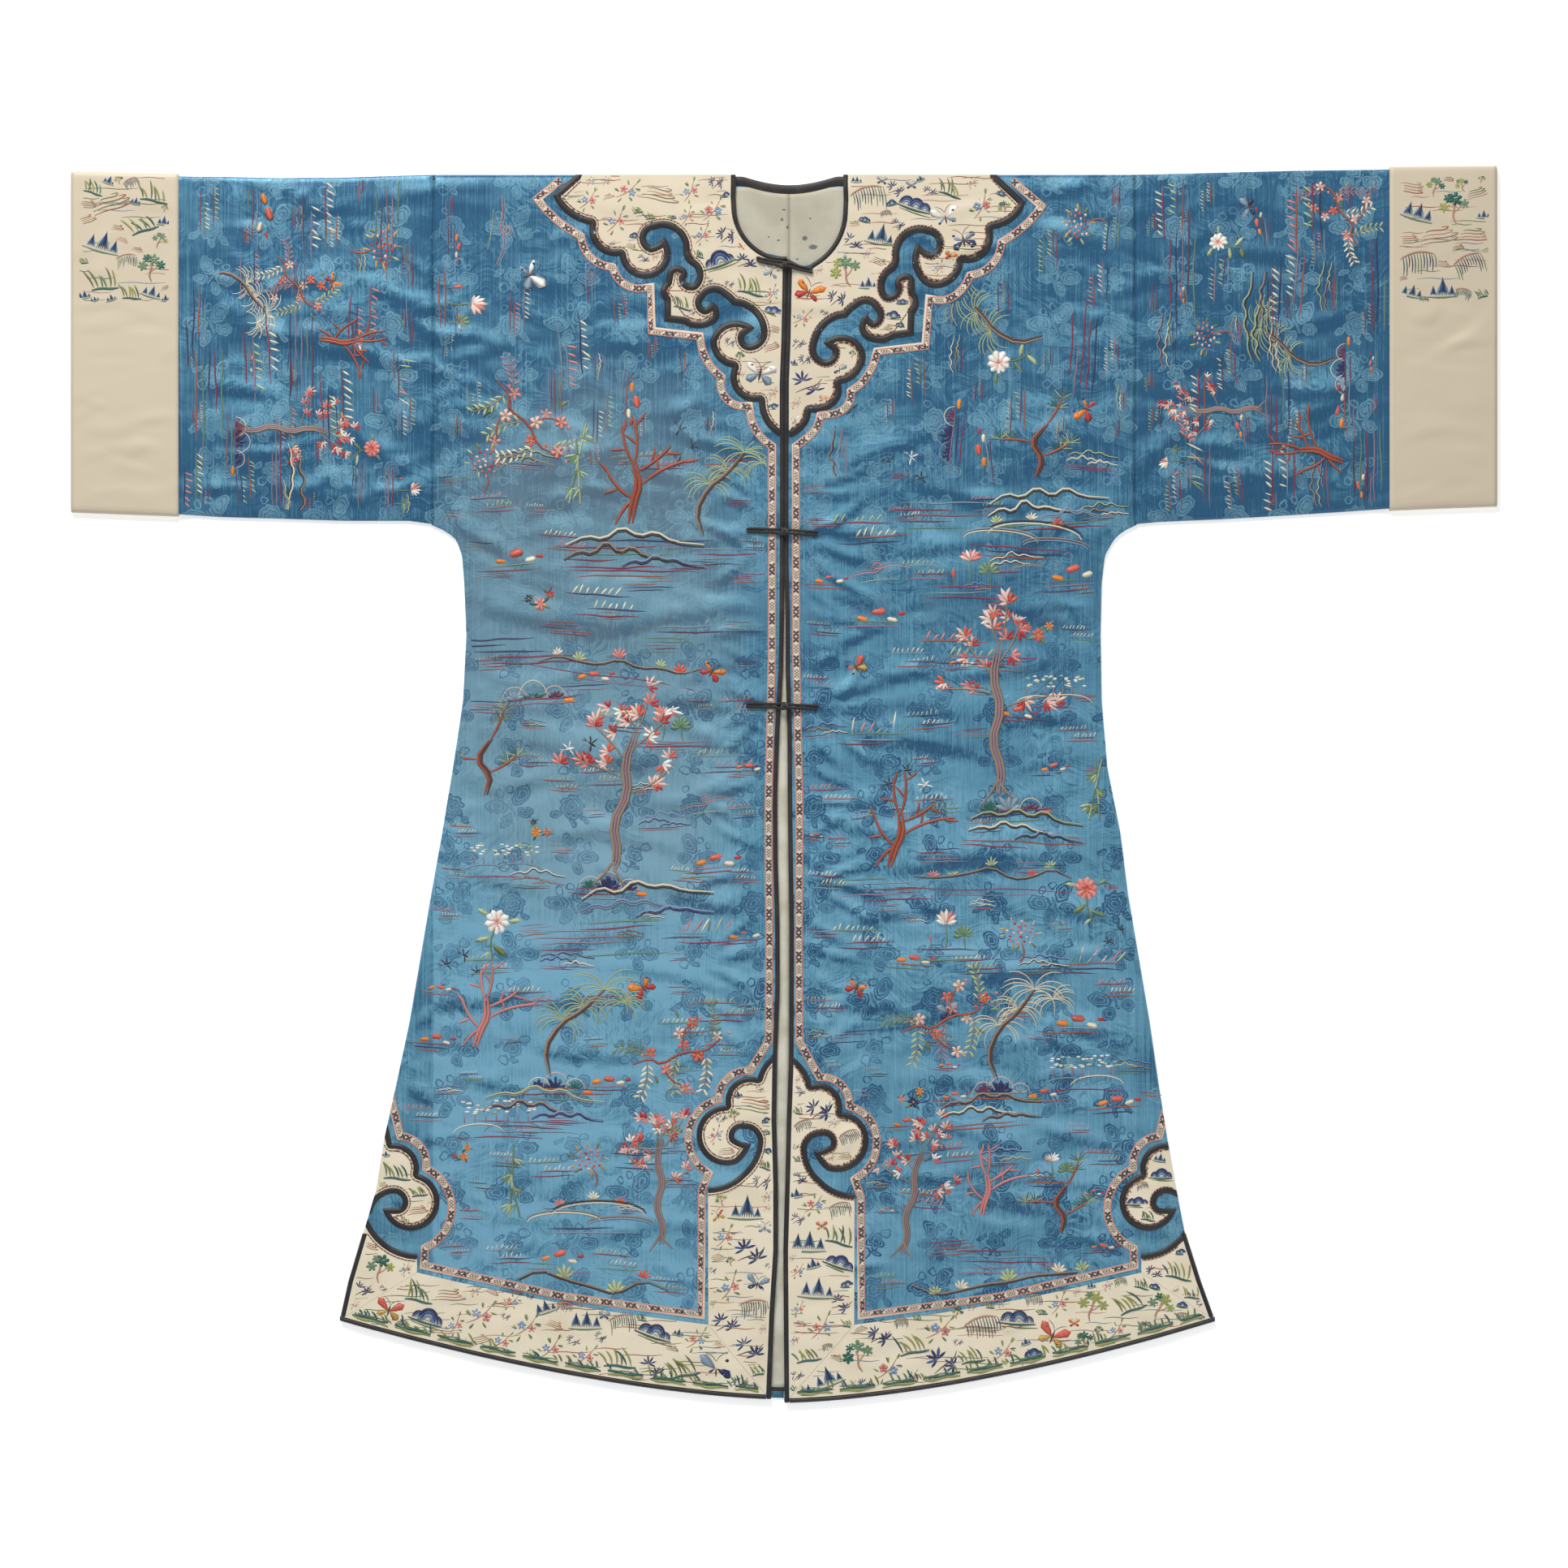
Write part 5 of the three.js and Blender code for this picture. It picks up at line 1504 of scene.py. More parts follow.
@dataclass(frozen=True)
class BlackSatin:
    """Black satin gone a little brown, with ribs across the strip."""

    dark: Colour = srgb(30, 26, 27)
    worn: Colour = srgb(66, 58, 54)

    def make(self) -> bpy.types.Material:
        """The finish as a material.

        Returns:
            The material.
        """
        graph = Graph("black_satin")
        weave = graph.weave()
        place = graph.place()
        ribs = graph.noise(weave, 1.0, 2.0, (1.7, 0.15, 1))
        patch = graph.noise(place, 0.06, 3.0)
        share = graph.step(patch, 0.45, 0.8) * 0.5 + graph.step(ribs, 0.55, 0.8) * 0.35
        graph.bump(ribs * 0.12, 1.0, 0.7)
        return graph.surface(
            graph.blend(share, self.dark, self.worn),
            Roughness=0.5,
            Sheen_Weight=0.35,
            Sheen_Roughness=0.45,
            Sheen_Tint=(0.8, 0.75, 0.72, 1.0),
        )


@dataclass(frozen=True)
class RibbonWeave:
    """Woven ribbon: coral edges, pale ground, dark florets between grey-green ones."""

    ground: Colour = srgb(218, 202, 182)
    edge: Colour = srgb(198, 104, 106)
    floret: Colour = srgb(28, 24, 38)
    sprig: Colour = srgb(86, 96, 74)
    pitch: float = 22.5

    def repeated(self, along: Wire, centre: float) -> Wire:
        """Distance along the ribbon from the nearest repeat."""
        moved = (along + (self.pitch * 1.5 - centre)) % self.pitch
        return abs(moved - self.pitch / 2)

    def pair(self, graph: Graph, along: Wire, across: Wire) -> Wire:
        """Mask of two four-petalled florets side by side along the ribbon.

        Args:
            graph: Node tree that it is added to.
            along: Distance along the strip.
            across: Distance across the strip.

        Returns:
            Its output.
        """
        from_pair = self.repeated(along, 0.0)
        u = abs(from_pair - 2.7)
        at = graph.join(u, abs(across - RIBBON_WIDTH / 2))
        petals = graph.oval(at, (1.3, 1.25), (1.5, 0.95), 42)
        return graph.step(petals.least(graph.oval(at, (0, 0), (0.5, 0.5))), 1.2, 0.95)

    def beads(self, graph: Graph, along: Wire, across: Wire) -> Wire:
        """Mask of the grey-green beading between the pairs.

        Args:
            graph: Node tree that it is added to.
            along: Distance along the strip.
            across: Distance across the strip.

        Returns:
            Its output.
        """
        from_middle = self.repeated(along, self.pitch / 2)
        u = abs((along % 2.6) - 1.3)
        at = graph.join(u, abs(across - RIBBON_WIDTH / 2))
        mask = graph.oval(at, (0.0, 1.3), (0.8, 0.62)).least(graph.oval(at, (1.3, 0.3), (0.75, 0.6)))
        return graph.step(mask, 1.25, 0.85) * graph.step(from_middle, 4.2, 3.7)

    def make(self) -> bpy.types.Material:
        """The finish as a material.

        Returns:
            The material.
        """
        graph = Graph("woven_ribbon")
        weave = graph.weave()
        along, across, _ = graph.split(weave)
        from_middle = abs(across - RIBBON_WIDTH / 2)
        border = graph.step(from_middle, 2.35, 2.6) * graph.step(from_middle, 3.55, 3.4)
        outline = graph.step(abs(from_middle - 2.35), 0.24, 0.12)
        picks = (along * (2 * math.pi / 0.85)).sine() * 0.5 + 0.5
        colour = graph.blend(border * (picks * 0.3 + 0.7), self.ground, self.edge)
        colour = graph.blend(outline * 0.5, colour, self.sprig)
        dark, grey = self.pair(graph, along, across), self.beads(graph, along, across)
        colour = graph.blend(grey * 0.9, colour, self.sprig)
        colour = graph.blend(dark * 0.95, colour, self.floret)
        wear = graph.noise(graph.place(), 0.12, 3.0)
        colour = graph.blend(graph.step(wear, 0.5, 0.8) * 0.15, colour, self.ground)
        graph.bump(picks * 0.1 + dark * 0.12 + grey * 0.1 + border * 0.12, 1.0, 0.6)
        return graph.surface(colour, Roughness=0.66, Sheen_Weight=0.2, Sheen_Roughness=0.5)


@dataclass(frozen=True)
class LiningSilk:
    """Plain greyish lining with a coarse weave and small blue and dark stains, with painted shade near the
    neck and along the centre seam.
    """

    colour: Colour = srgb(228, 226, 212)
    shade: Colour = srgb(188, 185, 166)
    # colour of the painted shade near the neck and along the seam
    neck: Colour = srgb(158, 152, 134)
    stain: Colour = srgb(44, 58, 80)
    specks: tuple[tuple[tuple[float, float], tuple[float, float]], ...] = (
        ((19, 498), (2.4, 2.0)), ((26.5, 490), (4.0, 2.2)), ((-2, 515), (1.2, 1.4)), ((3, 508), (1.0, 1.8)),
        ((-14, 499), (0.9, 0.9)), ((0, 524), (1.5, 0.9)), ((24, 516), (0.8, 0.8)), ((-5, 496), (1.1, 1.0)),
        ((12, 479), (1.0, 0.9)),
    )

    def make(self) -> bpy.types.Material:
        """The finish as a material.

        Returns:
            The material.
        """
        graph = Graph("lining_silk")
        place = graph.place()
        warp = graph.noise(place, 1.0, 2.0, (1.3, 0.05, 1))
        weft = graph.noise(place, 1.0, 2.0, (0.05, 1.2, 1))
        tone = graph.noise(place, 0.03, 3.0)
        colour = graph.blend(graph.step(tone, 0.35, 0.7), self.colour, self.shade)
        colour = graph.blend((warp + weft) * 0.35, colour, self.shade)
        _, y, _ = graph.split(place)
        # Painted shade: darker towards the neck, where the lining lies under the fronts and the bindings.
        colour = graph.blend(graph.step(y, SHOULDER_Y - 110, SHOULDER_Y - 60) * 0.6, colour, self.neck)
        x, _, _ = graph.split(place)
        # Painted shade: a soft darker band along the centre seam stands in for the shade of its fold.
        seam = graph.step(abs(x - LINING_SEAM + 1.0), 4.5, 0.5)
        colour = graph.blend(seam * 0.3, colour, self.neck)
        uneven = graph.shifted(place, 0.6, 2.0)
        for centre, size in self.specks:
            speck = graph.oval(uneven, centre, size)
            colour = graph.blend(graph.step(speck, 1.3, 0.7) * 0.75, colour, self.stain)
        graph.bump(warp * 0.12 + weft * 0.12, 1.0, 0.8)
        return graph.surface(colour, Roughness=0.82)


@dataclass(frozen=True)
class SilkCord:
    """Laid or twisted silk cord, its plies slanting round it."""

    name: str
    dark: Colour
    light: Colour
    ply: float = 1.3

    def make(self) -> bpy.types.Material:
        """The finish as a material.

        Returns:
            The material.
        """
        graph = Graph(self.name)
        along, across, _ = graph.split(graph.weave())
        plies = ((along + across * 0.55) * (2 * math.pi / self.ply)).sine() * 0.5 + 0.5
        wear = graph.noise(graph.place(), 0.25, 3.0)
        colour = graph.blend(plies * 0.4 + graph.step(wear, 0.5, 0.8) * 0.4, self.dark, self.light)
        graph.bump(plies * 0.3, 1.0, 0.8)
        return graph.surface(colour, Roughness=0.55, Sheen_Weight=0.3, Sheen_Roughness=0.4)


@dataclass(frozen=True)
class Backdrop:
    """Plain pale floor."""

    colour: Colour = (0.93, 0.93, 0.92)

    def make(self) -> bpy.types.Material:
        """The finish as a material.

        Returns:
            The material.
        """
        graph = Graph("pale_floor")
        graph.bump(graph.noise(graph.place(), 0.05, 2.0), 0.02, 0.2)
        return graph.surface(
            self.colour, Roughness=0.9, Emission_Color=(1.0, 1.0, 1.0, 1.0), Emission_Strength=0.42
        )


@dataclass(frozen=True)
class Finishes:
    """Every finish of the coat, made once."""

    silk: bpy.types.Material
    cream: bpy.types.Material
    satin: bpy.types.Material
    ribbon: bpy.types.Material
    lining: bpy.types.Material
    cord: bpy.types.Material

    @classmethod
    def make(cls) -> "Finishes":
        """Makes the materials.

        Returns:
            The finishes.
        """
        return cls(
            DamaskSilk().make(),
            CreamSilk().make(),
            BlackSatin().make(),
            RibbonWeave().make(),
            LiningSilk().make(),
            SilkCord("black_cord", srgb(26, 22, 24), srgb(62, 54, 52)).make(),
        )


# ---- Body, sleeves and cuffs -------------------------------------------------------------


def seam_groove(out: np.ndarray | float) -> np.ndarray:
    """Depth of the groove along the sleeve's seam."""
    return 0.4 * np.exp(-(((out - SLEEVE_SEAM) / 2.4) ** 2))


@dataclass
class BodyPanel:
    """One length of silk: front and back, folded at the shoulder and sewn down the side."""

    half: Half
    drape: Drape
    pitch: float = 4.4
    back_pitch: float = 14.0
    wrap_steps: int = 6
    edge_tuck: float = 0.6  # the cloth ends this far inside its binding
    cut_width: float = 0.41
    cut_length: float = 2.24
    cut_area: float = 2 * 0.36  # front and back

    def row_drops(self, pitch: float) -> np.ndarray:
        """Drops at the side edge of the rows of points.

        Args:
            pitch: Distance between two rows.

        Returns:
            The drops.
        """
        marks = (FOLD_INSET, SLEEVE_DEPTH, VENT_DROP, SIDE_EDGE[-1][0])
        drops = [np.array([marks[0]])]
        for start, end in zip(marks, marks[1:]):
            steps = max(2, round((end - start) / pitch))
            drops.append(np.linspace(start, end, steps + 1)[1:])
        return np.concatenate(drops)

    def neck_out(self, drop: np.ndarray) -> np.ndarray:
        """Distance out of the neckline at a drop, or far inside below it.

        Args:
            drop: Drops below the shoulder.

        Returns:
            Distances out.
        """
        out, lower = trace(self.half.neck).T
        lowest = lower.argmax() + 1
        found = np.interp(drop, lower[:lowest], out[:lowest])
        return np.where(drop > lower.max(), -99.0, found)

    def places(self, drops: np.ndarray, columns: int, front: bool) -> tuple[np.ndarray, np.ndarray]:
        """Out and drop of a grid of points.

        Args:
            drops: Drops of the rows.
            columns: Points in each row.
            front: Whether it is the front.

        Returns:
            Distances out and drops.
        """
        half = self.half
        side = half.side(drops)
        share = np.minimum(drops / half.hem(side), 1)
        level = share * half.hem_centre
        inset = FOLD_INSET * smooth((drops - SLEEVE_DEPTH) / 4) * smooth((VENT_DROP - drops) / 5 + 1)
        inset = np.where(drops > VENT_DROP, np.maximum(inset, self.edge_tuck), inset)
        if front:
            inner = np.maximum(half.front(level), self.neck_out(level)) + self.edge_tuck
        else:
            inner = np.full_like(drops, SEAM_GAP / 2)
        across = np.linspace(0, 1, columns)[None]
        out = inner[:, None] + (side - inset - inner)[:, None] * across
        drop = share[:, None] * half.hem(out)
        hem = half.hem(out) - self.edge_tuck
        return out, np.minimum(drop, hem)

    def front(self) -> Shell:
        """The front, with the rounded folds along the shoulder and the side.

        Returns:
            The mesh.
        """
        drops = self.row_drops(self.pitch)
        columns = round(self.half.side(WIDE_DROP) / self.pitch)
        out, drop = self.places(drops, columns, True)
        flat = self.half.plan(out, drop)
        height = self.drape.height(flat[..., 0], flat[..., 1])
        groove = seam_groove(out) * (drop < SLEEVE_DEPTH)
        grid = np.concatenate([flat, (FRONT_MIDDLE + height - groove)[..., None]], axis=2)
        sign = self.half.sign
        points = grid.reshape(-1, 3)
        faces = grid_faces(len(drops), columns, 0, sign < 0)
        sewn = np.flatnonzero((drops >= SLEEVE_DEPTH) & (drops <= VENT_DROP))
        for edge, axis, way in ((np.arange(columns), 1, 1), (sewn * columns + columns - 1, 0, sign)):
            turned = self.turned(points[edge], axis, way)
            added = len(points) + np.arange(len(turned)).reshape(-1, len(edge))
            faces += self.strip_faces(np.vstack([edge, added]), (sign > 0) == (axis > 0))
            points = np.vstack([points, turned])
        return Shell(points, faces, points[:, :2].copy())

    def turned(self, edge: np.ndarray, axis: int, way: int) -> np.ndarray:
        """Rows of points that take an edge round its fold to the back.

        Args:
            edge: Points along the edge of the front.
            axis: 0 where it turns over the side, 1 over the shoulder.
            way: Sign of the direction in which the fold bulges.

        Returns:
            The rows, one after another.
        """
        rows = []
        for angle in np.linspace(0, math.pi, self.wrap_steps + 1)[1:]:
            moved = edge.copy()
            moved[:, axis] += way * FOLD_RADIUS * math.sin(angle)
            moved[:, 2] = BACK_MIDDLE + FOLD_RADIUS * (1 + math.cos(angle))
            rows.append(moved)
        return np.concatenate(rows)

    @staticmethod
    def strip_faces(index: np.ndarray, flip: bool) -> list[tuple[int, ...]]:
        """Faces between rows of point numbers.

        Args:
            index: Point numbers, row by row.
            flip: Turns the faces over.

        Returns:
            Corners of each face.
        """
        faces = []
        for first, second in zip(index[:-1], index[1:]):
            for a, b, c, d in zip(first[:-1], first[1:], second[1:], second[:-1]):
                face = (int(a), int(b), int(c), int(d))
                faces.append(face[::-1] if flip else face)
        return faces

    def back(self) -> Shell:
        """The flat back.

        Returns:
            The mesh.
        """
        drops = self.row_drops(self.back_pitch)
        columns = round(self.half.side(WIDE_DROP) / self.back_pitch)
        out, drop = self.places(drops, columns, False)
        flat = self.half.plan(out, drop)
        dip = back_neck_drop(flat[..., 0])
        flat[..., 1] -= dip * np.clip(1 - drop / 60, 0, 1)
        grid = np.concatenate([flat, np.full((*out.shape, 1), BACK_MIDDLE)], axis=2)
        placed = grid.reshape(-1, 3)
        faces = grid_faces(len(drops), columns, 0, self.half.sign > 0)
        return Shell(placed, faces, placed[:, :2].copy())

    def build(self, finishes: Finishes) -> None:
        """Makes and dresses the piece.

        Args:
            finishes: Finishes of the coat.
        """
        whole = self.front().join(self.back())
        whole.lie = self.drape.lie(whole.points[:, 0], whole.points[:, 1])
        piece = whole.build(f"silk_body_{self.half.name}", finishes.silk)
        thicken(piece, SILK)
        dress(piece, "silk_blue", f"body_{self.half.name}")


def back_neck_drop(x: np.ndarray | float) -> np.ndarray:
    """Drop of the back neckline.

    Args:
        x: Places across the coat.

    Returns:
        Drops below the shoulder.
    """
    centre, half_width, dip = BACK_NECK
    share = np.clip((np.asarray(x, float) - centre) / half_width, -1, 1)
    return dip * np.cos(share * math.pi / 2)


@dataclass
class ArmTube:
    """A flattened tube of cloth that runs out along the arm."""

    half: Half
    drape: Drape
    name: str
    node: str
    slot: str
    edges: Rows
    start: float
    end: float
    front_middle: Callable[[np.ndarray], np.ndarray]
    back_middle: Callable[[np.ndarray], np.ndarray]
    pitch: float = 3.6
    steps: int = 88  # points down the front
    wrap_steps: int = 6

    def section(self, out: float) -> np.ndarray:
        """Points round the tube at a distance out, as drop and height, and the drape's share.

        Args:
            out: Distance out of the section.

        Returns:
            Rows of drop, height and share.
        """
        column = 1 if self.half.sign < 0 else 3
        top = float(look_up(self.edges, out, column))
        low = float(look_up(self.edges, out, column + 1))
        front = float(self.front_middle(np.array(out)))
        back = float(self.back_middle(np.array(out)))
        radius = (front - back) / 2
        inset = radius + SILK / 2
        drops = np.linspace(top + inset, low - inset, self.steps)
        angles = np.linspace(0, math.pi, self.wrap_steps + 1)[1:-1]
        wide = drops[::-6]
        runs = (
            (drops, np.full(self.steps, front), 1.0),
            (low - inset + radius * np.sin(angles), back + radius * (1 + np.cos(angles)), 0.0),
            (wide, np.full(len(wide), back), 0.0),
            (top + inset - radius * np.sin(angles), back + radius * (1 - np.cos(angles)), 0.0),
        )
        return np.vstack(
            [np.column_stack([down, up, np.full(len(down), share)]) for down, up, share in runs]
        )

    def shell(self) -> Shell:
        """The tube as one sheet.

        Returns:
            The mesh.
        """
        outs = np.linspace(self.start, self.end, max(4, round((self.end - self.start) / self.pitch)))
        rows = []
        for out in outs:
            drop, height, share = self.section(out).T
            flat = self.half.plan(np.full_like(drop, out), drop)
            lift = self.drape.height(flat[:, 0], flat[:, 1]) * share
            if self.start < SLEEVE_SEAM + 5:
                lift -= seam_groove(out) * share
            rows.append(np.column_stack([flat, height + lift]))
        points = np.vstack(rows)
        faces = tube_faces(len(outs), len(rows[0]), ends=False)
        if self.half.sign > 0:
            faces = [face[::-1] for face in faces]
        return Shell(points, faces, points[:, :2].copy())

    def build(self, finish: bpy.types.Material, flat: tuple[float, float]) -> None:
        """Makes and dresses the piece.

        Args:
            finish: Its material.
            flat: Plan points. Not used.
        """
        whole = self.shell()
        whole.lie = self.drape.lie(whole.points[:, 0], whole.points[:, 1])
        piece = whole.build(f"{self.name}_{self.half.name}", finish)
        thicken(piece, SILK)
        dress(piece, self.slot, f"{self.node}_{self.half.name}")


def sleeve_rise(out: np.ndarray) -> np.ndarray:
    """How far the sleeve's end is raised, where it lies inside the cuff."""
    return CUFF_RISE * smooth((out - CUFF_INNER + 14) / 13)


def make_sleeve(half: Half, drape: Drape, finishes: Finishes) -> None:
    """Makes the blue sleeve of one half.

    Args:
        half: Half of the coat.
        drape: Folds of the coat.
        finishes: Finishes of the coat.
    """
    tube = ArmTube(
        half, drape, "silk_sleeve", "sleeve", "silk_blue", SLEEVE_EDGES, SLEEVE_SEAM + 0.1, 562,
        lambda out: FRONT_MIDDLE + sleeve_rise(out), lambda out: BACK_MIDDLE + sleeve_rise(out),
    )
    tube.build(finishes.silk, (0.64, 0.242))


def make_cuff(half: Half, drape: Drape, finishes: Finishes) -> None:
    """Makes the cream cuff of one half.

    Args:
        half: Half of the coat.
        drape: Folds of the coat.
        finishes: Finishes of the coat.
    """
    tube = ArmTube(
        half, drape, "cuff_silk", "cuff", "silk_cream", CUFF_EDGES, CUFF_INNER, CUFF_OUTER,
        lambda out: np.full_like(out, CUFF_MIDDLE), lambda out: np.full_like(out, BACK_MIDDLE),
    )
    tube.build(finishes.cream, (0.628, 0.098))


# ---- Lining ------------------------------------------------------------------------------


@dataclass
class Lining:
    """Lining of the back, its neck band and its hem strip, where they show."""

    half: Half
    drape: Drape
    seam: float = LINING_SEAM
    reach: float = 70.0
    columns: int = 22
    rows: int = 280
    hem_steps: int = 30
    cut_length: float = 1.095

    def panel(self) -> Shell:
        """The lining of one side of its centre seam.

        Returns:
            The mesh.
        """
        xs = np.linspace(self.seam, self.seam + self.half.sign * self.reach, self.columns)
        top = SHOULDER_Y - np.maximum(back_neck_drop(xs), 3) - NECK_BAND - SEAM_GAP
        low = SHOULDER_Y - self.half.hem(xs) + BINDING_INSET + BACK_HEM_SHORT - SEAM_GAP
        share = np.linspace(0, 1, self.rows)[:, None]
        ys = top[None] + (low - top)[None] * share
        grid_x = np.broadcast_to(xs, ys.shape)
        ripple = 0.18 * np.sin(grid_x * 0.21 + ys * 0.05) * np.sin(ys * 0.13)
        groove = 0.12 * np.exp(-(((grid_x - self.seam) / 2.2) ** 2))
        points = np.stack([grid_x, ys, LINING_MIDDLE + ripple - groove], axis=2).reshape(-1, 3)
        return Shell(
            points, grid_faces(self.rows, self.columns, 0, self.half.sign < 0), points[:, :2].copy()
        )

    def build(self, finishes: Finishes) -> None:
        """Makes and dresses the lining and its hem strip.

        Args:
            finishes: Finishes of the coat.
        """
        piece = self.panel().build(f"lining_silk_{self.half.name}", finishes.lining)
        thicken(piece, LINING_WALL)
        dress(piece, "lining_silk", f"lining_{self.half.name}")
        self.reach * MM
        seam = self.seam + self.half.sign * SEAM_GAP / 2
        xs = np.linspace(seam, self.seam + self.half.sign * self.reach, self.hem_steps)
        low = np.column_stack([xs, SHOULDER_Y - self.half.hem(xs) + BACK_HEM_SHORT])
        high = low + (0, EDGE_BINDING)
        strip = padded_strip(low, high, np.full(len(xs), 1.75), np.full(len(xs), LINING_MIDDLE + 0.65))
        made = strip.build(f"back_hem_satin_{self.half.name}", finishes.satin)
        dress(made, "satin_black", f"back_hem_binding_{self.half.name}")
        declare_strip(made, low, EDGE_BINDING, piece.name)


def make_back_neck_band(finishes: Finishes) -> None:
    """Makes the broad satin band inside the back of the neck.

    Args:
        finishes: Finishes of the coat.
    """
    centre, half_width, _ = BACK_NECK
    steps, margin = 40, 1.6
    xs = np.linspace(centre - half_width - margin, centre + half_width + margin, steps)
    top = SHOULDER_Y - np.maximum(back_neck_drop(xs), margin)
    upper = np.column_stack([xs, top])
    lower = np.column_stack([xs, top - NECK_BAND])
    strip = padded_strip(upper, lower, np.full(steps, 1.6), np.full(steps, LINING_MIDDLE + 0.95))
    piece = strip.build("back_neck_satin", finishes.satin)
    dress(piece, "satin_black", "neck_binding_back")
    declare_strip(piece, upper, NECK_BAND, "lining_silk_left", "lining_silk_right")


# ---- Satin strips ------------------------------------------------------------------------

STRIP_SHARES = np.array([0.0, 0.06, 0.18, 0.36, 0.56, 0.76, 0.92, 1.0])


def padded_strip(first: np.ndarray, second: np.ndarray, low: np.ndarray, top: np.ndarray) -> Shell:
    """A strip with a rounded back, between two edges.

    Args:
        first: One edge.
        second: The other edge.
        low: Heights of its underside.
        top: Heights of its crown.

    Returns:
        The strip.
    """
    swell = np.sin(np.pi * np.clip(STRIP_SHARES * 0.92 + 0.04, 0, 1)) ** 0.55
    rise = low[None] + (top - low)[None] * (0.25 + 0.75 * swell)[:, None]
    return swept(first, second, rise, low, STRIP_SHARES)


@dataclass
class EdgeBinding:
    """A folded satin strip along a free edge of the cloth."""

    drape: Drape
    name: str
    node: str
    pitch: float = 3.0
    overhang: float = 0.5  # it wraps this far round the cloth's edge
    cut: float = 5.6  # width of what shows of it, round the edge

    def build(self, edge: np.ndarray, inner: np.ndarray, finishes: Finishes) -> None:
        """Makes and dresses the strip between two rows of plan points.

        Args:
            edge: Outer edge.
            inner: Inner edge.
            finishes: Finishes of the coat.
        """
        counts = step_counts(edge, self.pitch)
        first, second = cut_up(edge, counts), cut_up(inner, counts)
        first = first + unit(first - second) * self.overhang
        lift = self.drape.height(*((first + second) / 2).T)
        strip = padded_strip(first, second, FRONT_TOP - SILK - 0.1 + lift, BINDING_TOP + lift)
        piece = strip.build(self.name, finishes.satin)
        dress(piece, "satin_black", self.node)
        declare_strip(piece, second, self.cut)


def along_front(half: Half, start: float, end: float, inset: float) -> np.ndarray:
    """Points down the free front edge between two drops, moved in from it.

    Args:
        half: Half of the coat.
        start: Drop where it starts.
        end: Drop where it ends.
        inset: How far it is moved in from the edge.

    Returns:
        Plan points along it.
    """
    between = [row[0] for row in FRONT_EDGE if min(start, end) < row[0] < max(start, end)]
    drops = np.array([start, *(between if start < end else between[::-1]), end])
    return half.plan(half.front(drops) + inset, drops)


def along_side(half: Half, start: float, end: float, inset: float) -> np.ndarray:
    """Points down the side edge between two drops, moved in from it.

    Args:
        half: Half of the coat.
        start: Drop where it starts.
        end: Drop where it ends.
        inset: How far it is moved in from the edge.

    Returns:
        Plan points along it.
    """
    between = [row[0] for row in SIDE_EDGE if start < row[0] < end]
    drops = np.array([start, *between, end])
    return half.plan(half.side(drops) - inset, drops)


def along_hem(half: Half, start: float, end: float, inset: float, steps: int = 60) -> np.ndarray:
    """Points along the hem between two distances out, moved up from it."""
    out = np.linspace(start, end, steps + 1)
    return half.plan(out, half.hem(out) - inset)


def below_neck(half: Half, across: float) -> float:
    """Drop of the neck binding's lower edge, a little way in from the front edge."""
    return SHOULDER_Y - float(neck_line(half, BINDING_INSET, across)[-1, 1])


def neck_line(half: Half, inset: float, across: float | None = None) -> np.ndarray:
    """Neckline of a front, moved back from the opening, up to a distance from the front edge.

    Args:
        half: Half of the coat.
        inset: How far it is moved in from the edge.
        across: Distance of the last point from the front edge, if it isn't the inset.

    Returns:
        Plan points along it.
    """
    edge = half.plan(*trace(half.neck, 6.0).T)
    moved = offset_line(edge, half.sign * inset) if inset else edge
    start = SHOULDER_Y - TRIM_INSET
    below = moved[moved[:, 1] < start]
    first = np.array([[below[0, 0], start]])
    before, last = below[-2:]
    x = half.sign * (half.neck[-1][0] + (inset if across is None else across))
    below[-1] = x, last[1] + (last[1] - before[1]) / (last[0] - before[0]) * (x - last[0])
    return np.vstack([first, below])


@dataclass
class Bindings:
    """The satin strips that bind the neck, the front edge, the hem and the vent."""

    half: Half
    drape: Drape

    def strip(self, kind: str) -> EdgeBinding:
        """One strip, named after its edge."""
        return EdgeBinding(self.drape, f"{kind}_satin_{self.half.name}", f"{kind}_binding_{self.half.name}")

    def build(self, finishes: Finishes) -> None:
        """Makes the four strips.

        Args:
            finishes: Finishes of the coat.
        """
        half = self.half
        self.strip("neck").build(neck_line(half, 0), neck_line(half, EDGE_BINDING, 0), finishes)
        foot = float(half.hem(half.front(FRONT_END)))
        edge = along_front(half, below_neck(half, 0), foot, 0)
        fold = along_front(half, below_neck(half, EDGE_BINDING), foot, EDGE_BINDING)
        self.strip("front").build(edge, fold, finishes)
        inner = float(half.front(FRONT_END)) + BINDING_INSET
        corner = half.hem_corner
        edge, fold = (along_hem(half, inner, corner, inset) for inset in (0, EDGE_BINDING))
        self.strip("hem").build(edge, fold, finishes)
        low = float(half.hem(corner)) - BINDING_INSET
        edge, fold = (along_side(half, VENT_DROP, low, inset) for inset in (0, EDGE_BINDING))
        self.strip("vent").build(edge, fold, finishes)


# ---- Applied borders ---------------------------------------------------------------------


SLAB_FACE = 0.94  # share of half a slab's surface that is its face
LEAST_FILL = 0.3  # least share of its cut that a sheet's area is counted with


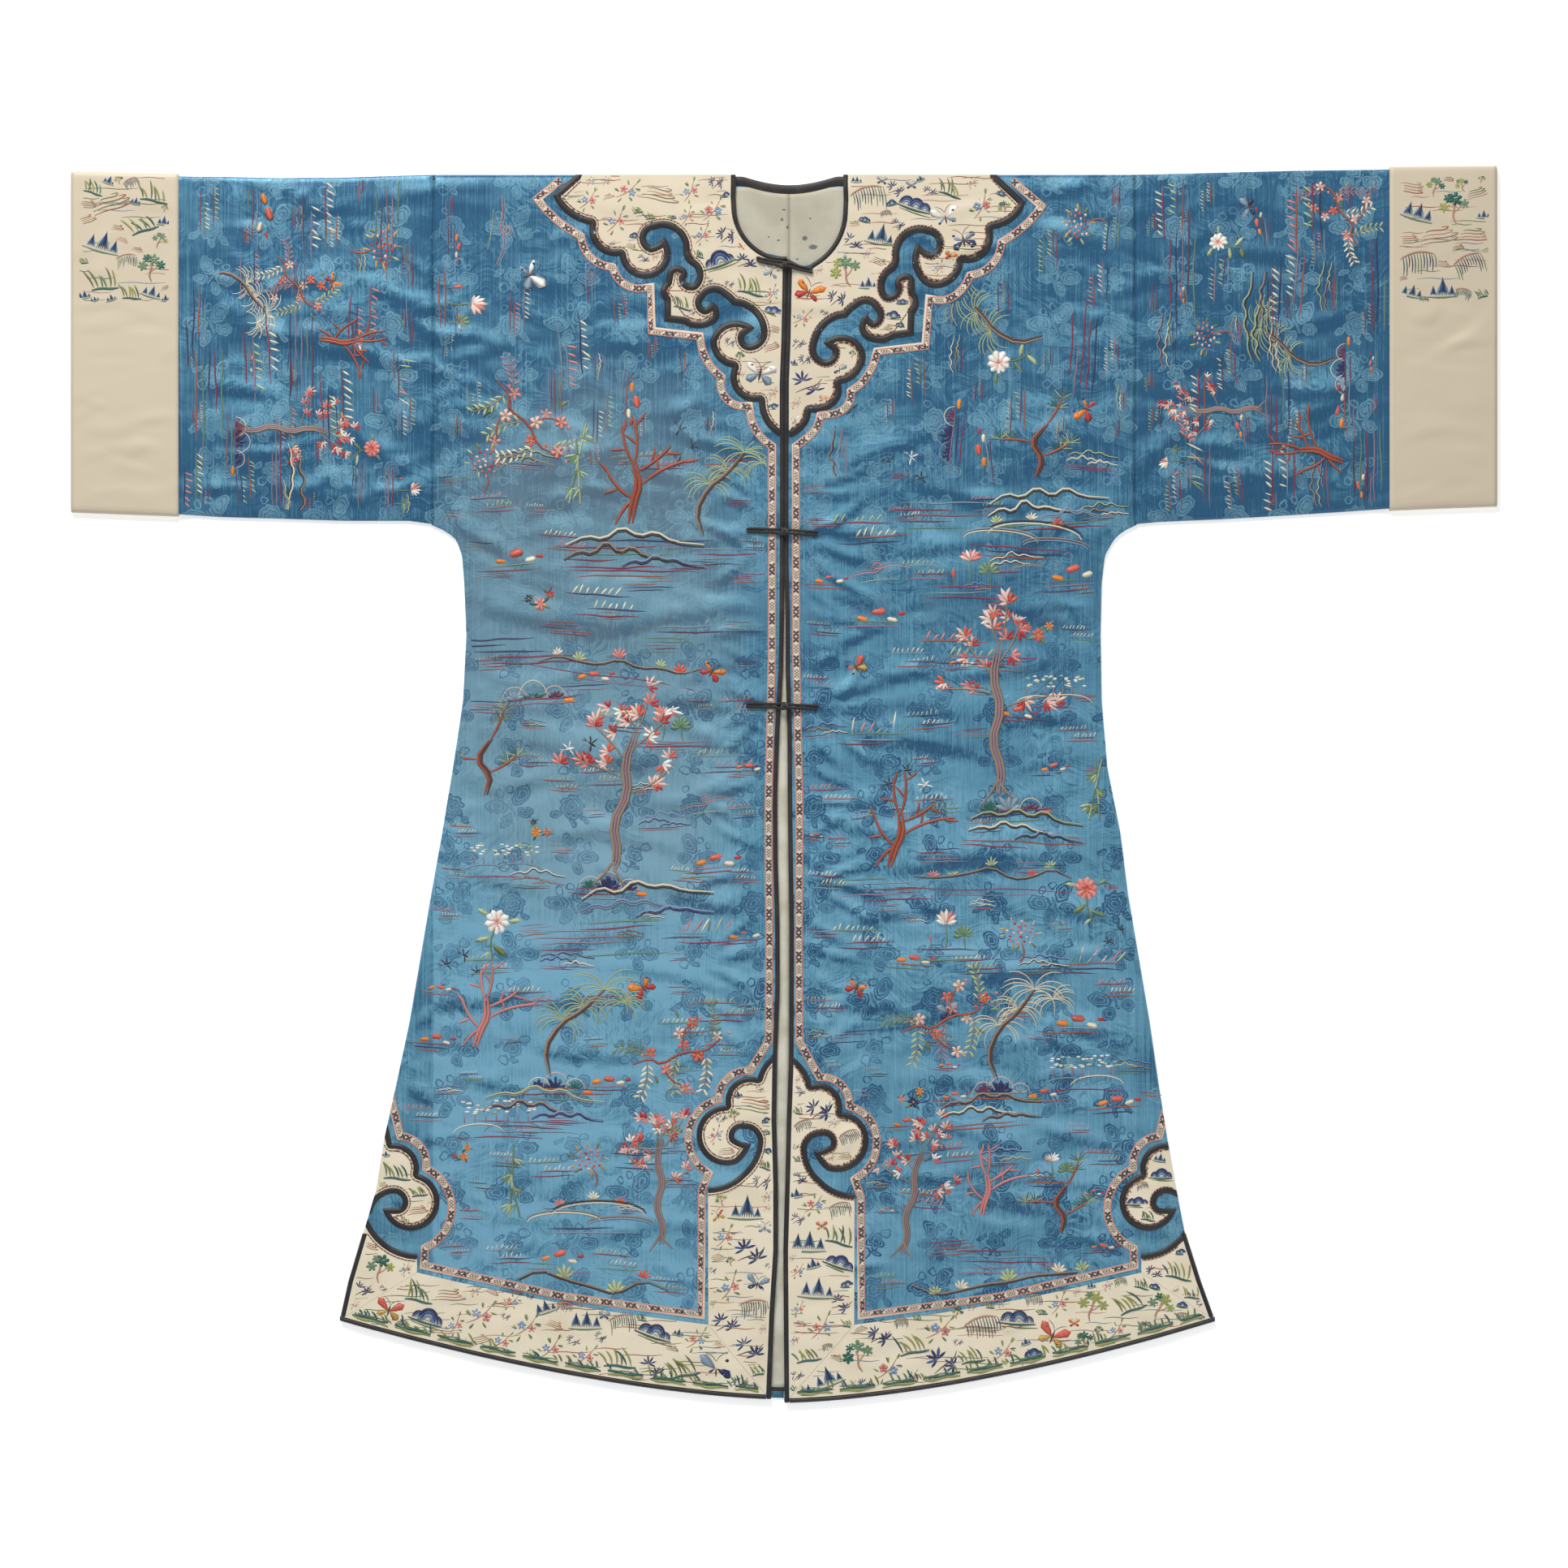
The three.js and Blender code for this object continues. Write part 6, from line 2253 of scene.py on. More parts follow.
@dataclass
class BandedShape:
    """An applied shape of cream silk inside a satin band."""

    half: Half
    drape: Drape
    line: np.ndarray
    outline: np.ndarray
    width: float
    band_name: str
    silk_name: str
    pitch: float = 4.0

    @property
    def inward(self) -> float:
        """Side of the line that faces away from the ground silk, as a sign."""
        return 1.0 if self.half.sign < 0 else -1.0

    def area(self) -> np.ndarray:
        """Outline of the part of a front that trims may cover.

        Returns:
            Its plan points.
        """
        half = self.half
        return np.vstack(
            [
                half.plan(-OVERRUN, TRIM_INSET)[None],
                along_side(half, TRIM_INSET, VENT_DROP, TRIM_INSET),
                along_side(half, VENT_DROP, SIDE_EDGE[-1][0], BINDING_INSET),
                half.plan(half.hem_corner, half.hem_centre + OVERRUN)[None],
                half.plan(-OVERRUN, half.hem_centre + OVERRUN)[None],
            ]
        )

    def band(self) -> Shell:
        """The satin band, rounded across.

        Returns:
            The mesh.
        """
        area = self.area()
        shares = (0.05, 0.16, 0.34, 0.5, 0.66, 0.84, 0.95, 1.0)
        lines = [self.line] + [rounded_offset(self.line, self.inward * self.width * s) for s in shares]

        def keep(middles: np.ndarray) -> np.ndarray:
            """Which triangles are part of the band, by their middles."""
            near = to_line(middles, self.line)[0] < self.width
            return near & inside(middles, self.outline) & inside(middles, area)

        flat, triangles = fill_plan([self.outline, area], lines, self.pitch, keep)
        gap, along = to_line(flat, self.line)
        lift = self.drape.height(*flat.T)
        swell = np.sin(np.pi * np.clip(gap / self.width, 0, 1) * 0.94 + 0.06) ** 0.55
        top = TRIM_FACE + (BINDING_TOP - TRIM_LOW - 0.25) * np.maximum(swell, 0) + lift
        return slab(flat, triangles, top, TRIM_FOOT + lift, np.column_stack([along, gap]))

    def silk(self) -> Shell:
        """The cream silk inside the band.

        Returns:
            The mesh.
        """
        area = self.area()
        edge = rounded_offset(self.line, self.inward * (self.width - 0.1))

        def keep(middles: np.ndarray) -> np.ndarray:
            """Which triangles are part of the silk, by their middles."""
            clear = to_line(middles, self.line)[0] > self.width - 0.12
            return clear & inside(middles, self.outline) & inside(middles, area)

        flat, triangles = fill_plan([self.outline, area], [edge], self.pitch, keep)
        lift = self.drape.height(*flat.T)
        return slab(flat, triangles, APPLIQUE_TOP + lift, TRIM_FOOT + lift, flat.copy())

    def build(self, finishes: Finishes, cut: tuple[float, float]) -> None:
        """Makes and dresses the band and the silk.

        Args:
            finishes: Finishes of the coat.
            cut: Width and length of its cut in metres.
        """
        suffix = self.half.name
        band = self.band().build(f"{self.band_name}_satin_{suffix}", finishes.satin)
        dress(band, "satin_black", f"{self.band_name}_binding_{suffix}")
        declare_strip(band, self.line, self.width, f"silk_body_{suffix}")
        silk = self.silk().build(f"{self.silk_name}_silk_{suffix}", finishes.cream)
        dress(silk, "silk_cream", f"{self.silk_name}_{suffix}")
        face = sum(polygon.area for polygon in silk.data.polygons) / 2
        area = min(max(face * SLAB_FACE, LEAST_FILL * cut[0] * cut[1]), cut[0] * cut[1])


def collar_shape(half: Half, drape: Drape) -> BandedShape:
    """The cloud collar of one half.

    Args:
        half: Half of the coat.
        drape: Folds of the coat.

    Returns:
        The shape.
    """
    line = edge_line(half, COLLAR_EDGE)
    line[0, 1] = SHOULDER_Y - TRIM_INSET
    front = along_front(half, 239, below_neck(half, BINDING_INSET), BINDING_INSET)
    line[-1] = front[0]
    neck = neck_line(half, BINDING_INSET)[::-1]
    outline = np.vstack([line, front[1:-1], neck])
    return BandedShape(half, drape, line, outline, COLLAR_BAND, "collar", "collar")


def front_foot(half: Half) -> np.ndarray:
    """Where the front border's mitre meets the bindings."""
    out = float(half.front(FRONT_END)) + BINDING_INSET
    return half.plan(out, half.hem(out) - BINDING_INSET)


def side_foot(half: Half) -> np.ndarray:
    """Where the hem border's side mitre meets the bindings."""
    out = half.hem_corner - BINDING_INSET
    return half.plan(out, half.hem(out) - BINDING_INSET)


def front_border_shape(half: Half, drape: Drape) -> BandedShape:
    """The front border with its ruyi head.

    Args:
        half: Half of the coat.
        drape: Folds of the coat.

    Returns:
        The shape.
    """
    line = edge_line(half, FRONT_HEAD_EDGE)
    top = SHOULDER_Y - line[0, 1]
    line[0, 0] = half.sign * (half.front(top) + BINDING_INSET)
    foot = front_foot(half)
    front = along_front(half, SHOULDER_Y - foot[1], top, BINDING_INSET)
    outline = np.vstack([line, fitted_point(half, FRONT_MITRE)[None], foot[None], front[1:-1]])
    return BandedShape(half, drape, line, outline, HEAD_BAND, "front_head", "front_border")


def side_border_shape(half: Half, drape: Drape) -> BandedShape:
    """The strip between the vent, the crescent of the side head and the side mitre.

    Args:
        half: Half of the coat.
        drape: Folds of the coat.

    Returns:
        The shape.
    """
    line = edge_line(half, SIDE_BORDER_EDGE)
    foot = side_foot(half)
    upper = fitted_point(half, (334.7, 999))
    beyond = half.plan(half.hem_corner + OVERRUN, SHOULDER_Y - foot[1])
    outline = np.vstack([upper[None], line, beyond[None], foot[None], fitted_point(half, SIDE_MITRE)[None]])
    return BandedShape(half, drape, line, outline, HEAD_BAND, "side_border", "side_border")


def side_head_shape(half: Half, drape: Drape) -> BandedShape:
    """The ruyi head that lies against the side seam.

    Args:
        half: Half of the coat.
        drape: Folds of the coat.

    Returns:
        The shape.
    """
    line = edge_line(half, SIDE_HEAD_EDGE)
    beyond = half.plan(np.full(2, half.hem_corner), np.array([855, 964]))
    outline = np.vstack([line, beyond])
    return BandedShape(half, drape, line, outline, HEAD_BAND, "side_head", "side_head")


def hem_outline(half: Half) -> np.ndarray:
    """Outline of the hem border.

    Args:
        half: Half of the coat.

    Returns:
        Its plan points.
    """
    front, side = fitted_point(half, FRONT_MITRE), fitted_point(half, SIDE_MITRE)
    start, end = front_foot(half), side_foot(half)
    bottom = along_hem(half, half.sign * start[0], half.sign * end[0], BINDING_INSET)
    return np.vstack([bottom, side[None], front[None]])


def make_hem_border(half: Half, drape: Drape, finishes: Finishes) -> None:
    """Makes the straight border along the hem, mitred at both ends.

    Args:
        half: Half of the coat.
        drape: Folds of the coat.
        finishes: Finishes of the coat.
    """
    front, side = fitted_point(half, FRONT_MITRE), fitted_point(half, SIDE_MITRE)
    start, end = front_foot(half), side_foot(half)
    steps = 90
    bottom = along_hem(half, half.sign * start[0], half.sign * end[0], BINDING_INSET, steps)
    share = np.linspace(0, 1, steps + 1)
    gap = half.sign * SEAM_GAP
    top = np.column_stack(
        [
            np.interp(share, (0, 1), (front[0] + gap, side[0] - gap)),
            np.interp(share, (0, 1), (front[1], side[1])) - HEM_BELLY * np.sin(np.pi * share),
        ]
    )
    bottom[:, 0] += gap * (1 - 2 * share)
    across = np.linspace(0, 1, 16)
    flat = top[None] + (bottom - top)[None] * across[:, None, None]
    lift = drape.height(flat[..., 0], flat[..., 1])
    strip = swept(top, bottom, APPLIQUE_TOP + lift, TRIM_FOOT + lift.mean(0), across)
    piece = strip.build(f"hem_border_silk_{half.name}", finishes.cream)
    dress(piece, "silk_cream", f"hem_border_{half.name}")


def make_ribbon(half: Half, drape: Drape, finishes: Finishes) -> None:
    """Makes the woven ribbon, one strip from the shoulder to the side seam.

    Args:
        half: Half of the coat.
        drape: Folds of the coat.
        finishes: Finishes of the coat.
    """
    outer = edge_line(half, RIBBON_EDGE)
    inner = offset_line(outer, (1 if half.sign < 0 else -1) * RIBBON_WIDTH, 1.45)
    counts = step_counts(outer, RIBBON_PITCH)
    outer, inner = cut_up(outer, counts), cut_up(inner, counts)
    for line in (outer, inner):
        line[:, 1] = np.minimum(line[:, 1], SHOULDER_Y - TRIM_INSET)
        limit = half.side(SHOULDER_Y - line[:, 1]) - TRIM_INSET
        line[:, 0] = half.sign * np.minimum(half.sign * line[:, 0], limit)
    across = np.array([0, 0.08, 0.3, 0.5, 0.7, 0.92, 1.0])
    flat = outer[None] + (inner - outer)[None] * across[:, None, None]
    lift = drape.height(flat[..., 0], flat[..., 1])
    edge = np.where((across < 0.05) | (across > 0.95), 0.35, 0.0)[:, None]
    strip = swept(outer, inner, TRIM_LOW + 0.75 - edge + lift, TRIM_FOOT + lift.mean(0), across)
    piece = strip.build(f"ribbon_weave_{half.name}", finishes.ribbon)
    dress(piece, "ribbon_weave", f"ribbon_{half.name}")
    declare_strip(piece, (outer + inner) / 2, RIBBON_WIDTH, f"silk_body_{half.name}")


# ---- Embroidery --------------------------------------------------------------------------


class Thread(Enum):
    """Colours of the embroidery silks."""

    RED = (188, 46, 44)
    CORAL = (220, 100, 80)
    ROSE = (222, 140, 134)
    BLUSH = (240, 200, 188)
    CREAM = (236, 226, 198)
    WHITE = (243, 241, 232)
    ORANGE = (238, 136, 40)
    AMBER = (204, 166, 78)
    OLIVE = (116, 132, 70)
    CELADON = (182, 196, 146)
    SAGE = (108, 144, 112)
    TEAL = (30, 100, 92)
    NAVY = (30, 42, 94)
    PLUM = (98, 52, 84)
    MAUVE = (160, 126, 146)
    TAUPE = (160, 138, 118)
    RUST = (174, 82, 52)
    BROWN = (92, 58, 44)
    TAN = (206, 158, 130)
    CRIMSON = (146, 36, 72)
    MOSS = (166, 172, 92)
    BLUE = (54, 92, 150)
    SKY = (126, 160, 198)
    SLATE = (134, 158, 176)
    INK = (38, 32, 36)


RED, CORAL, ROSE, BLUSH, CREAM, WHITE, ORANGE, AMBER, OLIVE, CELADON, SAGE, TEAL, NAVY = [*Thread][:13]
PLUM, MAUVE, TAUPE, RUST, BROWN, TAN, CRIMSON, MOSS, BLUE, SKY, SLATE, INK = [*Thread][13:]


class Stitch(Enum):
    """Shapes of a padded satin stitch, by their place among the templates."""

    LEAF = 0  # pointed at both ends
    PETAL = 1  # narrow foot and round tip
    OVAL = 2
    KNOT = 3


# places along each stitch and its half width there, both as shares
STITCH_OUTLINES = {
    Stitch.LEAF: ((0, 0.02), (0.3, 0.42), (0.68, 0.46), (1, 0.02)),
    Stitch.PETAL: ((0, 0.1), (0.35, 0.35), (0.76, 0.5), (1, 0.12)),
    Stitch.OVAL: ((0, 0.12), (0.2, 0.44), (0.8, 0.44), (1, 0.12)),
    Stitch.KNOT: ((0, 0.2), (0.25, 0.48), (0.75, 0.48), (1, 0.2)),
}
SCENE_SIZE = 1.22
THREAD_RISE = 0.55  # height of a laid thread as a share of its width
STITCH_SINK = 0.12


class StitchBook:
    """Template stitches and the node tree that sets them out."""

    def __init__(self) -> None:
        """Makes the templates and the tree."""
        self.templates = bpy.data.collections.new("stitches")
        for stitch, outline in STITCH_OUTLINES.items():
            self.templates.objects.link(self.template(stitch, outline))
        self.tree = self.make_tree()

    @staticmethod
    def template(stitch: Stitch, outline: Rows) -> bpy.types.Object:
        """One closed domed stitch, one unit long, wide and high.

        Args:
            stitch: Which stitch it is.
            outline: Places along it and half widths there.

        Returns:
            The object.
        """
        rows = np.array(outline, float)
        count = len(rows)
        dome = np.sqrt(np.clip(1 - (2 * rows[:, 0] - 1) ** 2, 0.08, 1))
        low = np.zeros(count)
        points = np.concatenate(
            [
                np.column_stack([rows[:, 0], -rows[:, 1], low]),
                np.column_stack([rows[:, 0], low, 0.95 * dome]),
                np.column_stack([rows[:, 0], rows[:, 1], low]),
            ]
        )
        faces = [
            (lane * count + i, lane * count + i + 1, (lane + 1) * count + i + 1, (lane + 1) * count + i)
            for lane in range(2)
            for i in range(count - 1)
        ]
        faces += [
            tuple(lane * count for lane in range(3)), tuple(lane * count + count - 1 for lane in (2, 1, 0))
        ]
        faces.append((*range(count - 1, -1, -1), *range(2 * count, 3 * count)))
        mesh = bpy.data.meshes.new(f"stitch_{stitch.value}")
        mesh.from_pydata(points.tolist(), [], faces)
        corners = np.empty(len(mesh.loops), np.int32)
        mesh.loops.foreach_get("vertex_index", corners)
        mesh.uv_layers.new(name="weave").data.foreach_set(
            "uv", points[corners, :2].astype(np.float32).ravel()
        )
        mesh.polygons.foreach_set("use_smooth", np.ones(len(mesh.polygons), bool))
        return bpy.data.objects.new(f"stitch_{stitch.value}", mesh)

    def make_tree(self) -> bpy.types.NodeTree:
        """Tree that turns marked points into stitches, and marked lines into laid threads.

        Returns:
            The tree.
        """
        tree = bpy.data.node_groups.new("stitching", "GeometryNodeTree")
        face = tree.interface
        face.new_socket("Marks", in_out="INPUT", socket_type="NodeSocketGeometry")
        face.new_socket("Stitches", in_out="INPUT", socket_type="NodeSocketCollection")
        face.new_socket("Thread rise", in_out="INPUT", socket_type="NodeSocketFloat")
        face.new_socket("Finish", in_out="INPUT", socket_type="NodeSocketMaterial")
        face.new_socket("Embroidery", in_out="OUTPUT", socket_type="NodeSocketGeometry")

        node = partial(add_node, tree)

        def marked(name: str, kind: str) -> bpy.types.NodeSocket:
            """The marks' attribute of a name.

            Args:
                name: Name of the attribute.
                kind: Its data type.

            Returns:
                The attribute's socket.
            """
            made = node("GeometryNodeInputNamedAttribute", data_type=kind)
            made.inputs["Name"].default_value = name
            return next(s for s in made.outputs if s.enabled and s.name == "Attribute")

        link = tree.links.new
        given, result = node("NodeGroupInput"), node("NodeGroupOutput")
        kinds = marked("kind", "INT")
        chosen = node("FunctionNodeCompare", data_type="INT", operation="GREATER_EQUAL")
        wanted = [s for s in chosen.inputs if s.enabled]
        link(kinds, wanted[0])
        shown = node("GeometryNodeCollectionInfo")
        shown.inputs["Separate Children"].default_value = True
        shown.inputs["Reset Children"].default_value = True
        link(given.outputs["Stitches"], shown.inputs["Collection"])
        turned = node("FunctionNodeEulerToRotation")
        link(marked("turn", "FLOAT_VECTOR"), turned.inputs[0])
        spread = node("GeometryNodeInstanceOnPoints")
        link(given.outputs["Marks"], spread.inputs["Points"])
        link(chosen.outputs["Result"], spread.inputs["Selection"])
        link(shown.outputs[0], spread.inputs["Instance"])
        spread.inputs["Pick Instance"].default_value = True
        link(kinds, spread.inputs["Instance Index"])
        link(turned.outputs[0], spread.inputs["Rotation"])
        link(marked("size", "FLOAT_VECTOR"), spread.inputs["Scale"])
        lines = node("GeometryNodeMeshToCurve")
        link(given.outputs["Marks"], lines.inputs["Mesh"])
        upright = node("GeometryNodeSetCurveNormal", mode="Z_UP")
        link(lines.outputs[0], upright.inputs["Curve"])
        ring = node("GeometryNodeCurvePrimitiveCircle", mode="RADIUS")
        ring.inputs["Resolution"].default_value = 4
        ring.inputs["Radius"].default_value = 0.5
        flatness = node("ShaderNodeCombineXYZ")
        flatness.inputs["Z"].default_value = 1.0
        flatness.inputs["X"].default_value = 1.0
        link(given.outputs["Thread rise"], flatness.inputs["Y"])
        squashed = node("GeometryNodeTransform")
        link(ring.outputs["Curve"], squashed.inputs["Geometry"])
        link(flatness.outputs[0], squashed.inputs["Scale"])
        laid = node("GeometryNodeCurveToMesh")
        link(upright.outputs[0], laid.inputs["Curve"])
        link(squashed.outputs[0], laid.inputs["Profile Curve"])
        link(marked("thick", "FLOAT"), laid.inputs["Scale"])
        laid.inputs["Fill Caps"].default_value = True
        soft = node("GeometryNodeSetShadeSmooth")
        link(laid.outputs[0], soft.inputs["Geometry"])
        both = node("GeometryNodeJoinGeometry")
        link(spread.outputs[0], both.inputs[0])
        link(soft.outputs[0], both.inputs[0])
        real = node("GeometryNodeRealizeInstances")
        link(both.outputs[0], real.inputs["Geometry"])
        dressed = node("GeometryNodeSetMaterial")
        link(real.outputs[0], dressed.inputs["Geometry"])
        link(given.outputs["Finish"], dressed.inputs["Material"])
        link(dressed.outputs[0], result.inputs[0])
        return tree

    def work(self, marks: bpy.types.Mesh, name: str, finish: bpy.types.Material) -> bpy.types.Object:
        """Embroidery over the marks, as a plain mesh.

        Args:
            marks: Points and lines with their attributes.
            name: Name of the piece.
            finish: Its material.

        Returns:
            The embroidery.
        """
        made = bpy.data.objects.new(name, marks)
        bpy.context.scene.collection.objects.link(made)
        modifier = made.modifiers.new("stitching", "NODES")
        modifier.node_group = self.tree
        values = {"Stitches": self.templates, "Thread rise": THREAD_RISE, "Finish": finish}
        for item in self.tree.interface.items_tree:
            if item.name in values:
                modifier[item.identifier] = values[item.name]
        graph = bpy.context.evaluated_depsgraph_get()
        plain = bpy.data.meshes.new_from_object(made.evaluated_get(graph), depsgraph=graph)
        made.modifiers.remove(modifier)
        made.data = plain
        bpy.data.meshes.remove(marks)
        return made

    def close(self) -> None:
        """Removes the templates."""
        for template in list(self.templates.objects):
            bpy.data.objects.remove(template)
        bpy.data.collections.remove(self.templates)


@dataclass
class ThreadWork:
    """Stitches gathered for one piece of cloth."""

    surface: Callable[[np.ndarray, np.ndarray], np.ndarray]
    chance: np.random.Generator
    stitches: list[tuple[float, ...]] = field(default_factory=list)
    lines: list[tuple[np.ndarray, np.ndarray, Colour]] = field(default_factory=list)

    def tinted(self, thread: Thread) -> Colour:
        """The thread's colour, a little lighter or darker by chance."""
        shade = float(np.clip(self.chance.normal(1, 0.07), 0.8, 1.2))
        return tuple(min(part * shade, 0.92) for part in srgb(*thread.value))

    def tips(self) -> np.ndarray:
        """Far ends of the stitches."""
        rows = np.array(self.stitches)
        return rows[:, :2] + np.column_stack([np.cos(rows[:, 2]), np.sin(rows[:, 2])]) * rows[:, 3:4]

    def take(self, other: "ThreadWork", x: float, y: float, reach: float) -> None:
        """Adds another's stitches, centred on a place and fitted within a reach.

        Args:
            other: The work to add.
            x: Place across the coat.
            y: Place up the coat.
            reach: Half the size that it is fitted to.
        """
        spots = [line for line, _, _ in other.lines]
        if other.stitches:
            spots += [other.tips(), np.array(other.stitches)[:, :2]]
        spots = np.concatenate(spots)
        low, high = spots.min(0), spots.max(0)
        middle, size = (low + high) / 2, reach / (np.linalg.norm(high - low) / 2)
        for sx, sy, angle, length, width, rise, *rest in other.stitches:
            sx, sy = (np.array([sx, sy]) - middle) * size + (x, y)
            self.stitches.append(
                (sx, sy, angle, length * size, width * size, rise * min(1.0, size**0.4), *rest)
            )
        for line, widths, colour in other.lines:
            self.lines.append(((line - middle) * size + (x, y), widths * size**0.5, colour))

    def clip(self, keep: Callable[[np.ndarray], np.ndarray]) -> None:
        """Leaves out stitches beyond the cloth, and cuts lines where they leave it.

        Args:
            keep: Says which places are kept.
        """
        if self.stitches:
            good = keep(np.array(self.stitches)[:, :2]) & keep(self.tips())
            self.stitches = [row for row, kept in zip(self.stitches, good) if kept]
        lines, self.lines = self.lines, []
        for line, widths, colour in lines:
            kept = keep(line)
            cuts = np.flatnonzero(np.diff(kept.astype(int))) + 1
            for run in np.split(np.arange(len(line)), cuts):
                if len(run) > 1 and kept[run[0]]:
                    self.lines.append((line[run], widths[run], colour))

    def marks(self) -> bpy.types.Mesh:
        """Points and lines that carry the stitches' kinds, turns, sizes and colours.

        Returns:
            A mesh of loose points and lines.
        """
        rows = np.array(self.stitches).reshape(-1, 10)
        x, y, angle, length, width, high = rows[:, :6].T
        kinds, colours = [rows[:, 6].astype(np.int32)], [rows[:, 7:10]]
        step = 1.0
        z = self.surface(x, y)
        slope_x = (self.surface(x + step, y) - self.surface(x - step, y)) / (2 * step)
        slope_y = (self.surface(x, y + step) - self.surface(x, y - step)) / (2 * step)
        up = unit(np.stack([-slope_x, -slope_y, np.ones(len(x))], 1))
        c, s = np.cos(angle), np.sin(angle)
        along = unit(np.stack([c, s, c * slope_x + s * slope_y], 1))
        side = np.cross(up, along)
        turns = np.stack(
            [
                np.arctan2(side[:, 2], up[:, 2]),
                -np.arcsin(np.clip(along[:, 2], -1, 1)),
                np.arctan2(along[:, 1], along[:, 0]),
            ],
            1,
        )
        points = [np.column_stack([x, y, z - STITCH_SINK])]
        sizes = np.column_stack([length, width, high])
        thick, edges, total = [np.ones(len(x))], [], len(x)
        for line, widths, colour in self.lines:
            height = self.surface(line[:, 0], line[:, 1]) + widths * (THREAD_RISE / 2) - STITCH_SINK
            points.append(np.column_stack([line, height]))
            thick.append(widths)
            kinds.append(np.full(len(line), -1, np.int32))
            colours.append(np.tile(colour, (len(line), 1)))
            edges += [(total + i, total + i + 1) for i in range(len(line) - 1)]
            total += len(line)
        mesh = bpy.data.meshes.new("marks")
        mesh.from_pydata((np.concatenate(points) * MM).tolist(), edges, [])
        count = len(mesh.vertices)
        loose = count - len(x)
        tints = np.concatenate(colours)
        for name, kind, key, values in (
            ("kind", "INT", "value", np.concatenate(kinds)),
            ("turn", "FLOAT_VECTOR", "vector", np.vstack([turns, np.zeros((loose, 3))])),
            ("size", "FLOAT_VECTOR", "vector", np.vstack([sizes * MM, np.zeros((loose, 3))])),
            ("thick", "FLOAT", "value", np.concatenate(thick) * MM),
            ("thread", "FLOAT_COLOR", "color", np.column_stack([tints, np.ones(count)])),
        ):
            layer = mesh.attributes.new(name, kind, "POINT")
            layer.data.foreach_set(key, np.ascontiguousarray(values).ravel())
        return mesh


@dataclass(frozen=True)
class Pen:
    """A place, turn and size on the cloth in which a motif is drawn, in millimetres."""

    work: ThreadWork
    x: float
    y: float
    turn: float = 0.0
    size: float = 1.0

    def spot(self, x: float, y: float) -> tuple[float, float]:
        """A point of the motif on the cloth."""
        c, s = math.cos(math.radians(self.turn)), math.sin(math.radians(self.turn))
        return self.x + self.size * (x * c - y * s), self.y + self.size * (x * s + y * c)

    def at(self, x: float, y: float, turn: float = 0.0, size: float = 1.0) -> "Pen":
        """A pen within this one."""
        return Pen(self.work, *self.spot(x, y), self.turn + turn, self.size * size)

    def stitch(
        self, kind: Stitch, x: float, y: float, angle: float, length: float, width: float,
        thread: Thread, high: float = 0.6,
    ) -> None:
        """One padded stitch from its foot at x and y, leaning at an angle.

        Args:
            kind: Its kind.
            x: Place across the coat.
            y: Place up the coat.
            angle: Its heading in degrees.
            length: Its length.
            width: Its width.
            thread: Its thread.
            high: How high it is padded.
        """
        colour = self.work.tinted(thread)
        turn = math.radians(self.turn + angle)
        size = self.size
        rise = high * (0.5 + 0.5 * min(size, 1.2))
        self.work.stitches.append(
            (*self.spot(x, y), turn, length * size, width * size, rise, kind.value, *colour)
        )

    leaf = partialmethod(stitch, Stitch.LEAF)
    petal = partialmethod(stitch, Stitch.PETAL)
    oval = partialmethod(stitch, Stitch.OVAL)

    def knot(self, x: float, y: float, width: float, thread: Thread) -> None:
        """One round knot about its middle."""
        self.stitch(Stitch.KNOT, x - width / 2, y, 0, width, width, thread, 0.75)

    def line(
        self, points: Sequence[tuple[float, float]], width: float, thread: Thread, taper: float = 0.45
    ) -> None:
        """A laid thread through the points, rounded at its bends.

        Args:
            points: Points that it passes through.
            width: Its width.
            thread: Its thread.
            taper: How much its ends thin out.
        """
        line = soften(np.array([self.spot(*point) for point in points]))
        share = np.linspace(-1, 1, len(line))
        widths = width * self.size**0.7 * (1 - taper * share**4)
        self.work.lines.append((line, widths, self.work.tinted(thread)))

    def curl(
        self, x: float, y: float, angle: float, length: float, bend: float, steps: int = 5
    ) -> list[tuple[float, float]]:
        """Points of a curve that sets out at an angle and bends by so many degrees in all.

        Args:
            x: Place across the coat.
            y: Place up the coat.
            angle: Its heading in degrees.
            length: Its length.
            bend: How many degrees it bends in all.
            steps: Number of steps.

        Returns:
            The points.
        """
        points = [(x, y)]
        for step in range(steps):
            heading = math.radians(angle + bend * (step + 0.5) / steps)
            x, y = x + math.cos(heading) * length / steps, y + math.sin(heading) * length / steps
            points.append((x, y))
        return points

    def pick(self, *threads: Thread) -> Thread:
        """One of the threads, by chance."""
        return threads[int(self.work.chance.integers(len(threads)))]

    def vary(self, low: float, high: float) -> float:
        """A number between two, by chance."""
        return float(self.work.chance.uniform(low, high))


def soften(points: np.ndarray) -> np.ndarray:
    """The line with two points for each corner, so that it bends softly.

    Args:
        points: Points of the line.

    Returns:
        The softened line.
    """
    if len(points) < 3:
        return np.array([points[0], points.mean(0), points[-1]])
    cut = np.empty((2 * len(points) - 2, 2))
    cut[0::2] = points[:-1] * 0.76 + points[1:] * 0.24
    cut[1::2] = points[:-1] * 0.24 + points[1:] * 0.76
    cut[0], cut[-1] = points[0], points[-1]
    return cut


